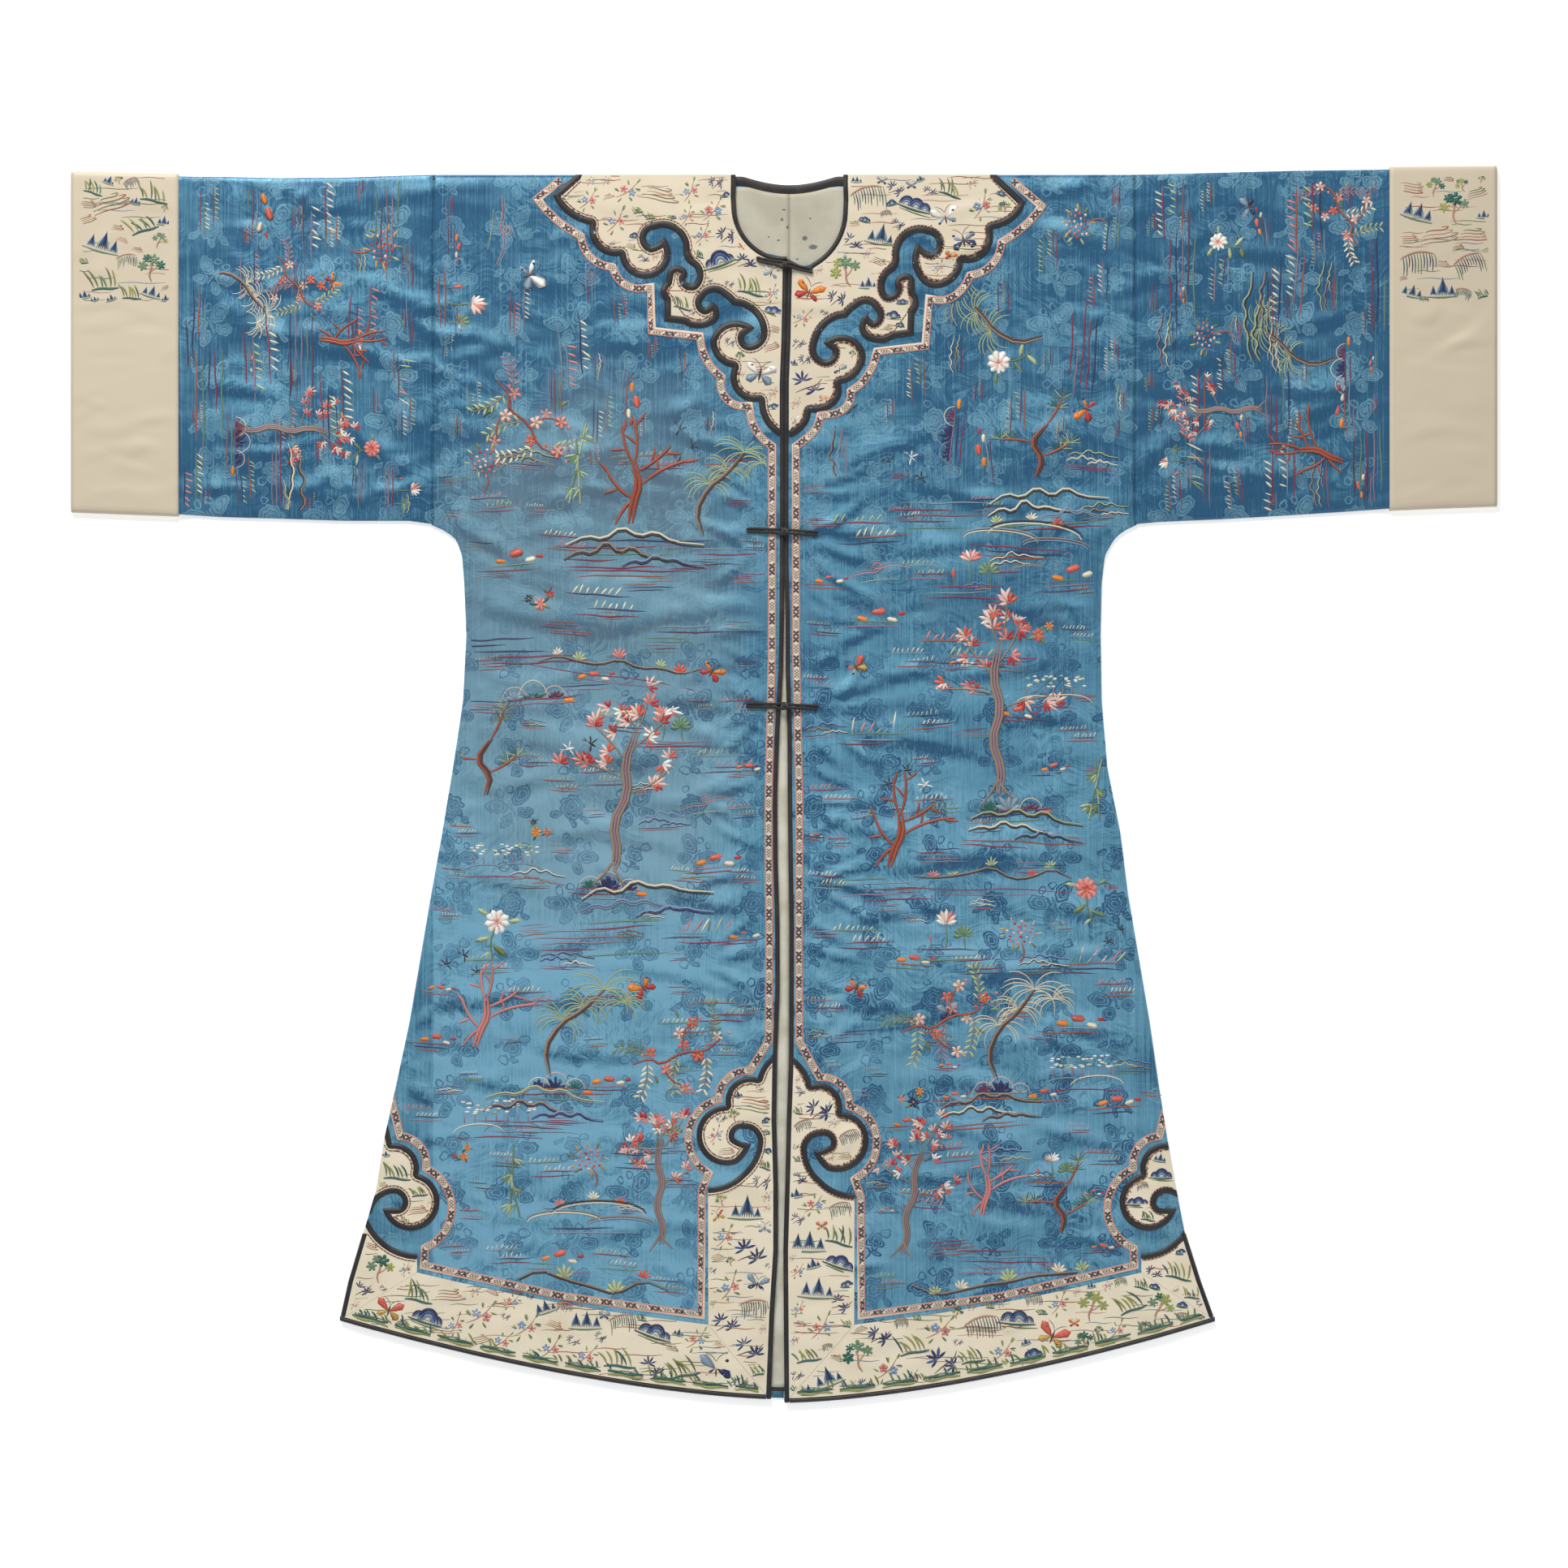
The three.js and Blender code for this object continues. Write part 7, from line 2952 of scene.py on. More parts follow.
class Motif(Enum):
    """What the embroidery shows, by the name of the method that draws it."""

    MAPLE = "maple"
    CORAL = "coral"
    WILLOW = "willow"
    PLUM = "plum"
    PEONY = "peony"
    POSY = "posy"
    BAMBOO = "bamboo"
    REEDS = "reeds"
    WATER = "water"
    TUFTS = "tufts"
    ROCKS = "rocks"
    PEBBLES = "pebbles"
    LOTUS = "lotus"
    PINE = "pine"
    BUTTERFLY = "butterfly"
    BIRDS = "birds"
    CLOUD = "cloud"
    BERRIES = "berries"
    HILLS = "hills"
    RIDGE = "ridge"
    MOUND = "mound"
    GROVE = "grove"
    BLADES = "blades"
    STAR = "star"
    BLOOM = "bloom"
    SWIRL = "swirl"
    FROND = "frond"
    BOULDER = "boulder"
    PEAKS = "peaks"
    BUSH = "bush"


class Needle:
    """Draws the motifs."""

    def draw(self, motif: Motif, pen: Pen) -> None:
        """Draws one motif."""
        getattr(self, motif.value)(pen)

    def stem(self, pen: Pen, points: Sequence[tuple[float, float]], width: float, *threads: Thread) -> None:
        """A trunk of threads laid side by side.

        Args:
            pen: Where and how large it is drawn.
            points: Points of the line.
            width: Its width.
            threads: Its threads, side by side.
        """
        pitch = width / len(threads)
        for index, thread in enumerate(threads):
            shift = (index - (len(threads) - 1) / 2) * pitch
            pen.line([(x + shift, y) for x, y in points], pitch * 1.35, thread, 0.6)

    def maple_leaf(self, pen: Pen) -> None:
        """A leaf of five pointed fingers, dark above and pale below.

        Args:
            pen: Where and how large it is drawn.
        """
        first, second = pen.pick(
            (RED, BLUSH), (CORAL, WHITE), (RED, ROSE), (CORAL, BLUSH)
        )
        for index, angle in enumerate((-78, -40, 0, 40, 78)):
            length = 7.2 - abs(index - 2) * 0.9
            pen.leaf(0, 0, angle, length * pen.vary(0.85, 1.1), 2.4, first if index < 2 else second, 0.7)

    def maple(self, pen: Pen) -> None:
        """A leaning tree with red and pale leaves.

        Args:
            pen: Where and how large it is drawn.
        """
        trunk = [(0, 0), (3, 13), (-1, 28), (6, 44), (3, 60), (8, 76)]
        self.stem(pen, trunk, 4.6, TAUPE, MAUVE, TAUPE)
        for foot in (-9, 8):
            pen.line([(foot, -4), (foot * 0.3, 3), (0.5, 9)], 1.6, TAUPE)
        for x, y, angle, length in (
            (6, 44, 18, 30), (2, 52, 158, 30), (4, 60, 128, 28), (5, 66, 38, 30), (8, 76, 62, 24),
            (8, 76, 112, 22),
        ):
            branch = pen.curl(x, y, angle, length * pen.vary(0.85, 1.15), pen.vary(-40, 40))
            pen.line(branch, 1.1, TAUPE, 0.5)
            for index in (2, 3, 4, 5):
                bx, by = branch[index]
                self.maple_leaf(
                    pen.at(bx + pen.vary(-4, 4), by + pen.vary(-4, 4), angle + pen.vary(-80, 80))
                )

    def coral(self, pen: Pen) -> None:
        """A bare forked tree in rose.

        Args:
            pen: Where and how large it is drawn.
        """
        rose = pen.pick(ROSE, RUST)
        trunk = [(0, 0), (2, 10), (6, 20), (4, 32)]
        self.stem(pen, trunk, 4.2, rose, rose)
        pen.line([(-8, 0), (-3, 8), (3, 13)], 2.0, rose)
        for x, y, angle, length, bend in (
            (5, 18, 42, 34, -38), (4, 30, 118, 22, -30), (4, 30, 70, 26, 36), (3, 12, 150, 24, -46),
            (4, 26, 20, 24, 26),
        ):
            branch = pen.curl(x, y, angle, length, bend)
            pen.line(branch, 1.9, rose, 0.5)
            for index in (2, 4):
                twig = pen.curl(
                    *branch[index], angle + pen.vary(30, 60) * (1 if index == 2 else -1), 9, 20, 3
                )
                pen.line(twig, 1.5, rose, 0.6)

    def willow(self, pen: Pen) -> None:
        """A bent stem with hanging fronds.

        Args:
            pen: Where and how large it is drawn.
        """
        pale = pen.pick(CELADON, CREAM)
        trunk = [(0, 0), (-4, 14), (3, 28), (14, 36), (24, 48)]
        self.stem(pen, trunk, 2.6, TAUPE, BROWN)
        heads = ((24, 48, 1.0), (3, 30, 0.8), (14, 38, 0.75), (34, 42, 0.7))
        for x, y, size in heads:
            for index in range(11):
                lean = 180 - index * 18 + pen.vary(-6, 6)
                fall = (-95 if lean < 90 else 95) * pen.vary(0.9, 1.2)
                pen.line(pen.curl(x, y, lean, 20 * size, fall, 4), 0.75, pale, 0.5)

    def plum(self, pen: Pen) -> None:
        """A crooked branch with round flowers and buds.

        Args:
            pen: Where and how large it is drawn.
        """
        pen.line([(0, 0), (10, 6), (18, 3), (30, 14), (44, 16), (52, 26)], 1.7, RUST)
        pen.line([(18, 3), (26, -6), (36, -8)], 1.2, RUST)
        pen.line([(30, 14), (28, 26), (34, 34)], 1.2, RUST)
        for x, y, angle, bend in (
            (8, 5, -60, -40), (28, 12, -110, 40), (44, 16, -70, -30), (12, 6, 150, 50), (46, 22, 80, 40)
        ):
            self.leafy_twig(pen, pen.curl(x, y, angle + pen.vary(-10, 10), 24, bend, 6))
        for x, y in ((10, 9), (22, 1), (30, 18), (40, 13), (50, 27), (36, -9), (33, 33), (26, 25)):
            self.flower(pen.at(x, y, pen.vary(0, 72)), 4.2, 5, pen.pick(ROSE, CORAL, BLUSH))
        for x, y in ((45, 21), (37, 37), (41, -11), (5, 7), (57, 31)):
            pen.knot(x, y, 2.4, pen.pick(CORAL, ROSE))
        for x, y, angle in ((15, -4, -60), (46, 8, -30), (24, 34, 120), (54, 20, 10)):
            pen.leaf(x, y, angle, 7, 2.6, pen.pick(OLIVE, SAGE))

    def leafy_twig(self, pen: Pen, points: list[tuple[float, float]]) -> None:
        """A hanging twig with paired leaves.

        Args:
            pen: Where and how large it is drawn.
            points: Points along the twig.
        """
        thread = pen.pick(CELADON, SAGE, MAUVE, CREAM)
        pen.line(points, 0.8, TAUPE, 0.5)
        for (x, y), (x1, y1) in zip(points, points[1:]):
            along = math.degrees(math.atan2(y1 - y, x1 - x))
            for side in (-1, 1):
                pen.leaf(x1, y1, along + side * pen.vary(38, 60), 5.6, 2.2, thread)

    def flower(self, pen: Pen, length: float, count: int, outer: Thread) -> None:
        """An open flower of one ring of petals.

        Args:
            pen: Where and how large it is drawn.
            length: Length of a petal.
            count: Number of petals.
            outer: Thread of the petals.
        """
        for index in range(count):
            pen.petal(0, 0, index * 360 / count, length, length * 0.8, outer, 0.6)
        pen.knot(0, 0, length * 0.42, AMBER)

    def peony(self, pen: Pen) -> None:
        """A full flower of three rings on a leafy stem.

        Args:
            pen: Where and how large it is drawn.
        """
        pen.line([(0, -4), (-2, -16), (3, -30)], 1.3, OLIVE)
        for x, y, angle, length in (
            (-1, -12, 205, 14), (0, -18, -25, 15), (1, -24, 215, 12), (-6, 4, 165, 12), (8, 2, 20, 12)
        ):
            pen.leaf(x, y, angle, length, 5.2, pen.pick(OLIVE, SAGE, CELADON), 0.6)
            pen.line(pen.curl(x, y, angle, length * 0.85, 0, 2), 0.5, CREAM)
        tones = pen.pick(
            (BLUSH, ROSE, CORAL), (ROSE, CORAL, RED), (WHITE, BLUSH, ROSE)
        )
        for count, reach, tone in zip((9, 7, 5), (10.5, 7.6, 4.8), tones):
            for index in range(count):
                angle = index * 360 / count + pen.vary(-6, 6)
                pen.petal(0, 0, angle, reach * pen.vary(0.9, 1.05), reach * 0.72, tone, 0.9 - reach * 0.02)
        for index in range(4):
            pen.knot(pen.vary(-1.2, 1.2), pen.vary(-1.2, 1.2), 1.5, AMBER)

    def posy(self, pen: Pen) -> None:
        """Two or three small flowers with leaves.

        Args:
            pen: Where and how large it is drawn.
        """
        for x, y, size in ((0, 0, 1.0), (9, 5, 0.75), (-7, 7, 0.65)):
            for angle in (pen.vary(10, 60), pen.vary(120, 200), pen.vary(240, 320)):
                pen.leaf(x, y, angle, 9 * size, 3 * size, pen.pick(OLIVE, SAGE, TEAL))
            tone = pen.pick(CORAL, ROSE, RED, NAVY, ORANGE)
            self.flower(pen.at(x, y, pen.vary(0, 90), size), 5.2, 6, tone)

    def bamboo(self, pen: Pen) -> None:
        """Two jointed stalks with drooping leaves.

        Args:
            pen: Where and how large it is drawn.
        """
        for x, height, lean in ((0, 5, 4), (9, 4, -5)):
            for joint in range(height):
                foot = joint * 13
                pen.line(
                    [(x + lean * joint * 0.4, foot), (x + lean * (joint + 0.9) * 0.4, foot + 12)], 1.7,
                    pen.pick(SAGE, CELADON), 0.2,
                )
                if joint:
                    side = -1 if joint % 2 else 1
                    for angle in (-18, -42, -66):
                        heading = angle if side > 0 else 180 - angle
                        pen.leaf(
                            x + lean * joint * 0.4, foot, heading, 12 * pen.vary(0.8, 1.1), 2.5,
                            pen.pick(CELADON, SAGE, OLIVE),
                        )

    def reeds(self, pen: Pen) -> None:
        """Blades of grass over a line of ground.

        Args:
            pen: Where and how large it is drawn.
        """
        for index in range(7):
            thread = pen.pick(CELADON, CREAM, SAGE, ROSE)
            pen.leaf(index * 6 - 18, 0, 62 + pen.vary(-24, 22), pen.vary(10, 19), 2.0, thread)
        self.ground(pen, 52)

    def ground(self, pen: Pen, length: float) -> None:
        """Two or three thin lines under a motif.

        Args:
            pen: Where and how large it is drawn.
            length: Length of the longest line.
        """
        for y in (0, -4, -8)[: int(pen.vary(2, 4))]:
            start = -length / 2 + pen.vary(-8, 8)
            self.ripple(pen, start, y, length * pen.vary(0.6, 1.1))

    def ripple(self, pen: Pen, x: float, y: float, length: float) -> None:
        """One thin wavering line.

        Args:
            pen: Where and how large it is drawn.
            x: Where it starts.
            y: Its level.
            length: Its length.
        """
        thread = pen.pick(
            CRIMSON, PLUM, RUST, SLATE, NAVY, CRIMSON, SAGE, MAUVE
        )
        steps = max(2, int(length / 12))
        pen.line(
            [(x + length * i / steps, y + pen.vary(-0.9, 0.9)) for i in range(steps + 1)], 1.2, thread, 0.7
        )

    def water(self, pen: Pen) -> None:
        """Thin lines of water, one above another."""
        for index in range(5):
            self.ripple(pen, pen.vary(-46, -14), index * -4.5, pen.vary(36, 84))

    def tufts(self, pen: Pen) -> None:
        """A row of short blades on a line, and another beside it.

        Args:
            pen: Where and how large it is drawn.
        """
        for x, y, count in ((-22, 0, 7), (-4, -11, 6)):
            thread = pen.pick(CELADON, CREAM, CREAM, ROSE, CELADON)
            for index in range(count):
                pen.leaf(x + index * 5.6, y, 64 + pen.vary(-16, 12), pen.vary(6, 10), 2.1, thread)
            self.ripple(pen, x - 6, y, count * 5.6 + 14)
        self.ripple(pen, -20, -16, 52)

    def rocks(self, pen: Pen) -> None:
        """Rounded garden rocks in dark silk with pale outlines.

        Args:
            pen: Where and how large it is drawn.
        """
        for x, width, height in ((-16, 17, 9), (-2, 20, 13), (14, 15, 8)):
            dark = pen.pick(NAVY, PLUM, TEAL, SLATE)
            for index in range(5):
                angle = 20 + index * 35
                pen.leaf(x, 0, angle, height * pen.vary(0.8, 1.05), width * 0.27, dark)
            arch = [
                (x + width * 0.55 * math.cos(a), height * 1.08 * math.sin(a))
                for a in np.linspace(math.pi, 0, 7)
            ]
            pen.line(arch, 0.9, pen.pick(CREAM, BLUSH, SLATE))
        pen.oval(20, -3, 0, 9, 5, pen.pick(ORANGE, CORAL))
        self.ground(pen, 60)

    def hills(self, pen: Pen) -> None:
        """Wavering ridges in bold doubled threads above long thin lines.

        Args:
            pen: Where and how large it is drawn.
        """
        for shift, lift, share in ((0, 0, 1.0), (-12, -9, 0.75), (20, -14, 0.6)):
            ridge = [(-44, 0), (-30, 7), (-18, 3), (-6, 13), (6, 5), (17, 9), (29, 2), (50, 0)]
            ridge = [(x * share + shift, y * pen.vary(0.7, 1.3) * share + lift) for x, y in ridge]
            pen.line(ridge, 1.5, pen.pick(INK, NAVY, SLATE))
            pen.line([(x, y + 1.7) for x, y in ridge], 1.9, pen.pick(CREAM, CELADON, SKY, TAUPE))
        self.ground(pen.at(0, -16), 96)

    def pebbles(self, pen: Pen) -> None:
        """Bright oval stones by thin lines of water.

        Args:
            pen: Where and how large it is drawn.
        """
        for x, y, length, thread in (
            (-16, 0, 10, ORANGE), (-4, 4, 12, CORAL), (9, -1, 9, CREAM), (18, 3, 6.5, RED),
        ):
            pen.oval(x, y, pen.vary(-15, 20), length, length * 0.62, thread, 0.95)
        self.ground(pen.at(0, -4), 56)

    def lotus(self, pen: Pen) -> None:
        """A lotus and its round leaf above the water.

        Args:
            pen: Where and how large it is drawn.
        """
        pen.line([(0, 0), (1, -12), (-1, -20)], 1.1, OLIVE)
        for angle, reach in ((20, 9), (160, 9), (45, 11), (135, 11), (68, 12), (112, 12), (90, 12.5)):
            pen.leaf(0, 0, angle, reach, 4.6, pen.pick(BLUSH, ROSE, WHITE), 0.8)
        pen.line([(15, -20), (14, -9)], 1.0, OLIVE)
        for angle in range(0, 181, 30):
            pen.petal(14, -9, angle, 8.5, 4.4, SAGE, 0.5)
        pen.leaf(-12, -14, 100, 8, 3.6, CORAL)
        pen.line([(-12, -20), (-12, -13)], 0.9, OLIVE)
        self.ground(pen.at(0, -20), 56)

    def pine(self, pen: Pen) -> None:
        """A bent trunk with clumps of needles.

        Args:
            pen: Where and how large it is drawn.
        """
        self.stem(pen, [(0, 0), (4, 10), (-3, 20), (6, 30)], 3.2, RUST, BROWN)
        for x, y, angle in ((3, 12, 15), (-3, 20, 165), (6, 30, 50)):
            branch = pen.curl(x, y, angle, 18, 20, 3)
            pen.line(branch, 1.5, RUST)
            for bx, by in (branch[2], branch[3]):
                for index in range(9):
                    pen.line(pen.curl(bx, by, index * 22.5, 6.5, 0, 1), 0.7, pen.pick(SAGE, TEAL, CELADON))

    def butterfly(self, pen: Pen) -> None:
        """Four wings with spots, a body and feelers.

        Args:
            pen: Where and how large it is drawn.
        """
        wing, under = pen.pick((CORAL, AMBER), (WHITE, SLATE), (ORANGE, RED), (SLATE, NAVY))
        for side in (-1, 1):
            for angle, reach, width, thread in ((38, 12, 7.5, wing), (-32, 9, 6.2, under)):
                heading = angle if side > 0 else 180 - angle
                pen.petal(side * 0.6, 0, heading, reach, width, thread, 0.7)
                x, y = (reach * 0.66 * f(math.radians(heading)) for f in (math.cos, math.sin))
                pen.knot(x, y, 2.2, INK if thread is not NAVY else CREAM)
            pen.line(pen.curl(0, 4, 90 - side * 20, 9, side * -60, 4), 0.5, INK)
        pen.leaf(0, -5, 90, 10, 1.9, BROWN, 1.0)

    def birds(self, pen: Pen) -> None:
        """Three small birds in flight.

        Args:
            pen: Where and how large it is drawn.
        """
        for x, y, turn in ((0, 0, 10), (17, 8, -15), (29, -7, 25)):
            bird = pen.at(x, y, turn + pen.vary(-15, 15), 0.95)
            thread = pen.pick(INK, INK, INK, WHITE)
            bird.leaf(-4, 0, 0, 9.5, 2.5, thread, 0.7)
            for angle in (68, 128, -62):
                bird.leaf(0, 0, angle, 7.5, 1.9, thread)
            bird.line([(-4, 0), (-8.5, 1.4)], 0.7, thread)
            bird.line([(-4, 0), (-8.5, -1.2)], 0.7, thread)

    def blades(self, pen: Pen) -> None:
        """A tuft of long bent blades over a scrap of ground.

        Args:
            pen: Where and how large it is drawn.
        """
        for index in range(6):
            tone = pen.pick(SAGE, OLIVE, MOSS, MOSS, TEAL)
            blade = pen.curl(
                (index - 2.5) * 3.2, 0, pen.vary(80, 110), pen.vary(9, 17), pen.vary(25, 66), 4
            )
            pen.line(blade, 1.5, tone, 0.8)
        pen.line([(-10, -1.4), (-3, 0), (5, -1), (11, -0.4)], 1.9, TEAL)

    def star(self, pen: Pen) -> None:
        """Dark pointed leaves fanned out from one twig.

        Args:
            pen: Where and how large it is drawn.
        """
        for start in ((-5, 3), (5, -3)):
            base = pen.vary(0, 60)
            for index in range(6):
                tone = BLUE if index % 3 == 1 else NAVY
                pen.leaf(*start, base + index * 38, pen.vary(7, 9), 2.3, tone)
        pen.line([(-9, -6), (-2, -2), (6, 1), (9, 6)], 0.9, BROWN)

    def bloom(self, pen: Pen) -> None:
        """Two round flowers on a twig with leaves shaded in two tones.

        Args:
            pen: Where and how large it is drawn.
        """
        tones = [(ROSE, RED), (SKY, WHITE)]
        pen.line([(-11, -9), (-3, -4), (4, 3), (9, 12)], 1.1, TAN)
        for x, y, angle in (
            (-8, -2, 140), (3, -5, -50), (8, 5, -10), (1, 7, 100), (-4, -8, 240), (9, 11, 60)
        ):
            for shift, tone in ((0, MOSS), (9, pen.pick(SAGE, TEAL))):
                pen.leaf(x, y, angle + shift + pen.vary(-12, 12), 7.2, 2.4, tone)
        for (x, y), (tone, heart) in zip(((-4, 2), (6, 0)), tones if pen.vary(0, 1) < 0.5 else tones[::-1]):
            for index in range(5):
                pen.petal(x, y, index * 72 + 20, 4.6, 3.9, tone)
            pen.knot(x, y, 2.4, heart)

    def swirl(self, pen: Pen) -> None:
        """Level lines of mist that curl back at one end.

        Args:
            pen: Where and how large it is drawn.
        """
        for index in range(4):
            y, reach = index * 2.8 - 4, 14 - index * 2.0 + pen.vary(-2, 2)
            ends = [
                (-reach, y), (-4, y + 0.8), (5, y - 0.5), (reach, y + 0.3), (reach + 1.2, y + 1.5),
                (reach - 4, y + 1.9),
            ]
            pen.line(ends, 0.9, pen.pick(RUST, TAN, OLIVE, TAUPE))

    def frond(self, pen: Pen) -> None:
        """A pale branch with dark hanging threads.

        Args:
            pen: Where and how large it is drawn.
        """
        branch = pen.curl(-12, 2, 40, 26, -62, 6)
        pen.line(branch, 1.5, TAN)
        for x, y in branch[1:]:
            for shift in (-1.7, 0.5):
                drop = pen.vary(9, 17)
                fall = [(x + shift, y), (x + shift + 1.2, y - drop * 0.5), (x + shift + 0.7, y - drop)]
                pen.line(fall, 0.95, pen.pick(TEAL, SAGE, NAVY))

    def boulder(self, pen: Pen) -> None:
        """Domed rocks, each in arcs from dark to pale.

        Args:
            pen: Where and how large it is drawn.
        """
        for x, size in ((-7, 0.8), (2, 1.15), (10, 0.7)):
            size *= pen.vary(0.85, 1.15)
            for reach, thread in ((7.2, NAVY), (5.4, BLUE), (3.4, SKY), (1.4, CREAM)):
                arc = [
                    (x + reach * size * math.cos(a), reach * 1.25 * size * math.sin(a))
                    for a in np.linspace(math.pi, 0, 7)
                ]
                pen.line(arc, 1.9 * size, thread)
        pen.line([(-16, -1.4), (0, -2.4), (16, -1)], 1.9, TEAL)
        pen.line([(-12, -4), (4, -4.8), (18, -4)], 1.2, OLIVE)

    def peaks(self, pen: Pen) -> None:
        """Pointed hills, each shaded across in upright threads.

        Args:
            pen: Where and how large it is drawn.
        """
        for x, size in ((-8, 0.75), (0.5, 1.1), (8.5, 0.65)):
            size *= pen.vary(0.85, 1.15)
            tones = (SKY, TEAL, BLUE, NAVY, NAVY, TEAL, SKY)
            for index, thread in enumerate(tones):
                side = index - 3
                top = (x + side * 0.3 * size, (14 - abs(side) * 1.3) * size)
                pen.line([top, (x + side * 1.55 * size, 0)], 1.9 * size, thread, 0.8)
        pen.line([(-14, -1), (-2, -1.8), (13, -0.6)], 1.5, SAGE)

    def bush(self, pen: Pen) -> None:
        """A low tree with clouds of teal and green leaves.

        Args:
            pen: Where and how large it is drawn.
        """
        pen.line([(1, -9), (-1, -4), (1, 2), (0, 6)], 1.6, TAN)
        pen.line([(0, -2), (6, 3)], 1.1, TAN)
        for x, y, size in ((-6, 3, 0.9), (2, 8, 1.1), (8, 4, 0.8), (-3, 9, 0.7)):
            tone = pen.pick(TEAL, SAGE, MOSS)
            for index in range(6):
                pen.oval(x, y, index * 60 + 15, 4.8 * size, 3.2 * size, tone, 0.8)
            pen.oval(x - 1.5, y + 0.5, 10, 3.4 * size, 1.4 * size, CELADON, 1.1)

    def ridge(self, pen: Pen) -> None:
        """A long rolling ridge in doubled threads, with flowers along it.

        Args:
            pen: Where and how large it is drawn.
        """
        xs = np.linspace(-82, 82, 9)
        tops = [(float(x), pen.vary(-9, 9)) for x in xs]
        pen.line(tops, 1.2, INK)
        pen.line([(x, y + 1.5) for x, y in tops], 1.5, TAUPE)
        pen.line([(-88, -6), (-30, -13), (20, -14), (84, -24)], 1.0, CRIMSON)
        pen.line([(-60, -14), (-8, -20), (40, -22)], 1.0, MAUVE)
        for index in (1, 2, 4, 6, 7):
            self.fan(pen.at(tops[index][0], tops[index][1] + 2, pen.vary(-20, 20), pen.vary(0.8, 1.2)))

    def fan(self, pen: Pen) -> None:
        """A fan of upright petals.

        Args:
            pen: Where and how large it is drawn.
        """
        thread = pen.pick(CELADON, ROSE, CREAM, CORAL, CELADON)
        for angle in (30, 60, 90, 120, 150):
            pen.leaf(0, 0, angle, 10 - abs(angle - 90) * 0.03, 3.4, thread, 0.7)

    def mound(self, pen: Pen) -> None:
        """Low banks one behind another, the nearer ones paler, with flowers behind them.

        Args:
            pen: Where and how large it is drawn.
        """
        for x, y, turn in ((-26, 9, 12), (24, 10, -12), (2, 14, 0)):
            self.fan(pen.at(x, y, turn, 0.8))
        for x, y, reach, rise, thread in (
            (6, 2, 40, 11, INK), (6, 0, 39, 11, CREAM), (-22, -3, 32, 8, SLATE),
            (-22, -5, 31, 8, CREAM), (24, -6, 28, 6, TAUPE), (24, -8, 27, 6, SKY),
        ):
            arc = [(x + reach * math.cos(a), y + rise * math.sin(a)) for a in np.linspace(math.pi, 0, 9)]
            pen.line(arc, 1.5, thread)
        self.ground(pen.at(0, -10), 84)

    def grove(self, pen: Pen) -> None:
        """A row of small trees with pale round leaves over two low arcs.

        Args:
            pen: Where and how large it is drawn.
        """
        for x in range(-24, 25, 8):
            pen.leaf(x, 0, 90, pen.vary(8, 11), 1.8, MAUVE)
            for _ in range(5):
                leaf = pen.pick(WHITE, CREAM, WHITE, CELADON)
                pen.oval(x + pen.vary(-5.5, 2.5), pen.vary(8, 18), 0, 3.6, 2.2, leaf, 0.8)
        for x, reach in ((-14, 19), (12, 22)):
            arc = [
                (x + reach * math.cos(a), -6 + reach * 0.35 * math.sin(a))
                for a in np.linspace(math.pi, 0, 7)
            ]
            pen.line(arc, 1.2, pen.pick(SLATE, CREAM))
        pen.line([(-32, -10), (0, -9), (34, -12)], 1.0, CRIMSON)

    def cloud(self, pen: Pen) -> None:
        """A scroll of cloud in two threads.

        Args:
            pen: Where and how large it is drawn.
        """
        for shift, thread in ((0, ROSE), (1.8, SLATE)):
            points = [(-22, 0), (-10, 3), (0, 2), (6, 6), (2, 10), (-3, 7), (2, 4.5), (14, 7), (26, 3)]
            pen.line([(x, y + shift) for x, y in points], 0.9, thread)
        pen.line([(-12, -4), (2, -3), (16, -4)], 0.8, CELADON)

    def berries(self, pen: Pen) -> None:
        """A thick cluster of berries and leaves.

        Args:
            pen: Where and how large it is drawn.
        """
        for index in range(22):
            angle, reach = index * 2.4, 3.0 * math.sqrt(index)
            x, y = reach * math.cos(angle), reach * math.sin(angle) * 0.8
            pen.knot(x, y, pen.vary(2.4, 3.4), pen.pick(CORAL, ROSE, RED, BLUSH))
        for index in range(9):
            angle = index * 40 + pen.vary(-12, 12)
            x, y = 13 * math.cos(math.radians(angle)), 10 * math.sin(math.radians(angle))
            pen.leaf(x, y, angle + pen.vary(-40, 40), 7.5, 2.8, pen.pick(CELADON, OLIVE, AMBER))
        pen.line([(2, -8), (6, -18), (3, -27)], 1.6, RUST)


def scene_rows(text: str) -> tuple[tuple[Motif, float, float, float, float], ...]:
    """Scenes from their list: motif, x, drop, size and turn of each."""
    words = (row.split() for row in text.split(","))
    return tuple((Motif[name], *map(float, numbers)) for name, *numbers in words)


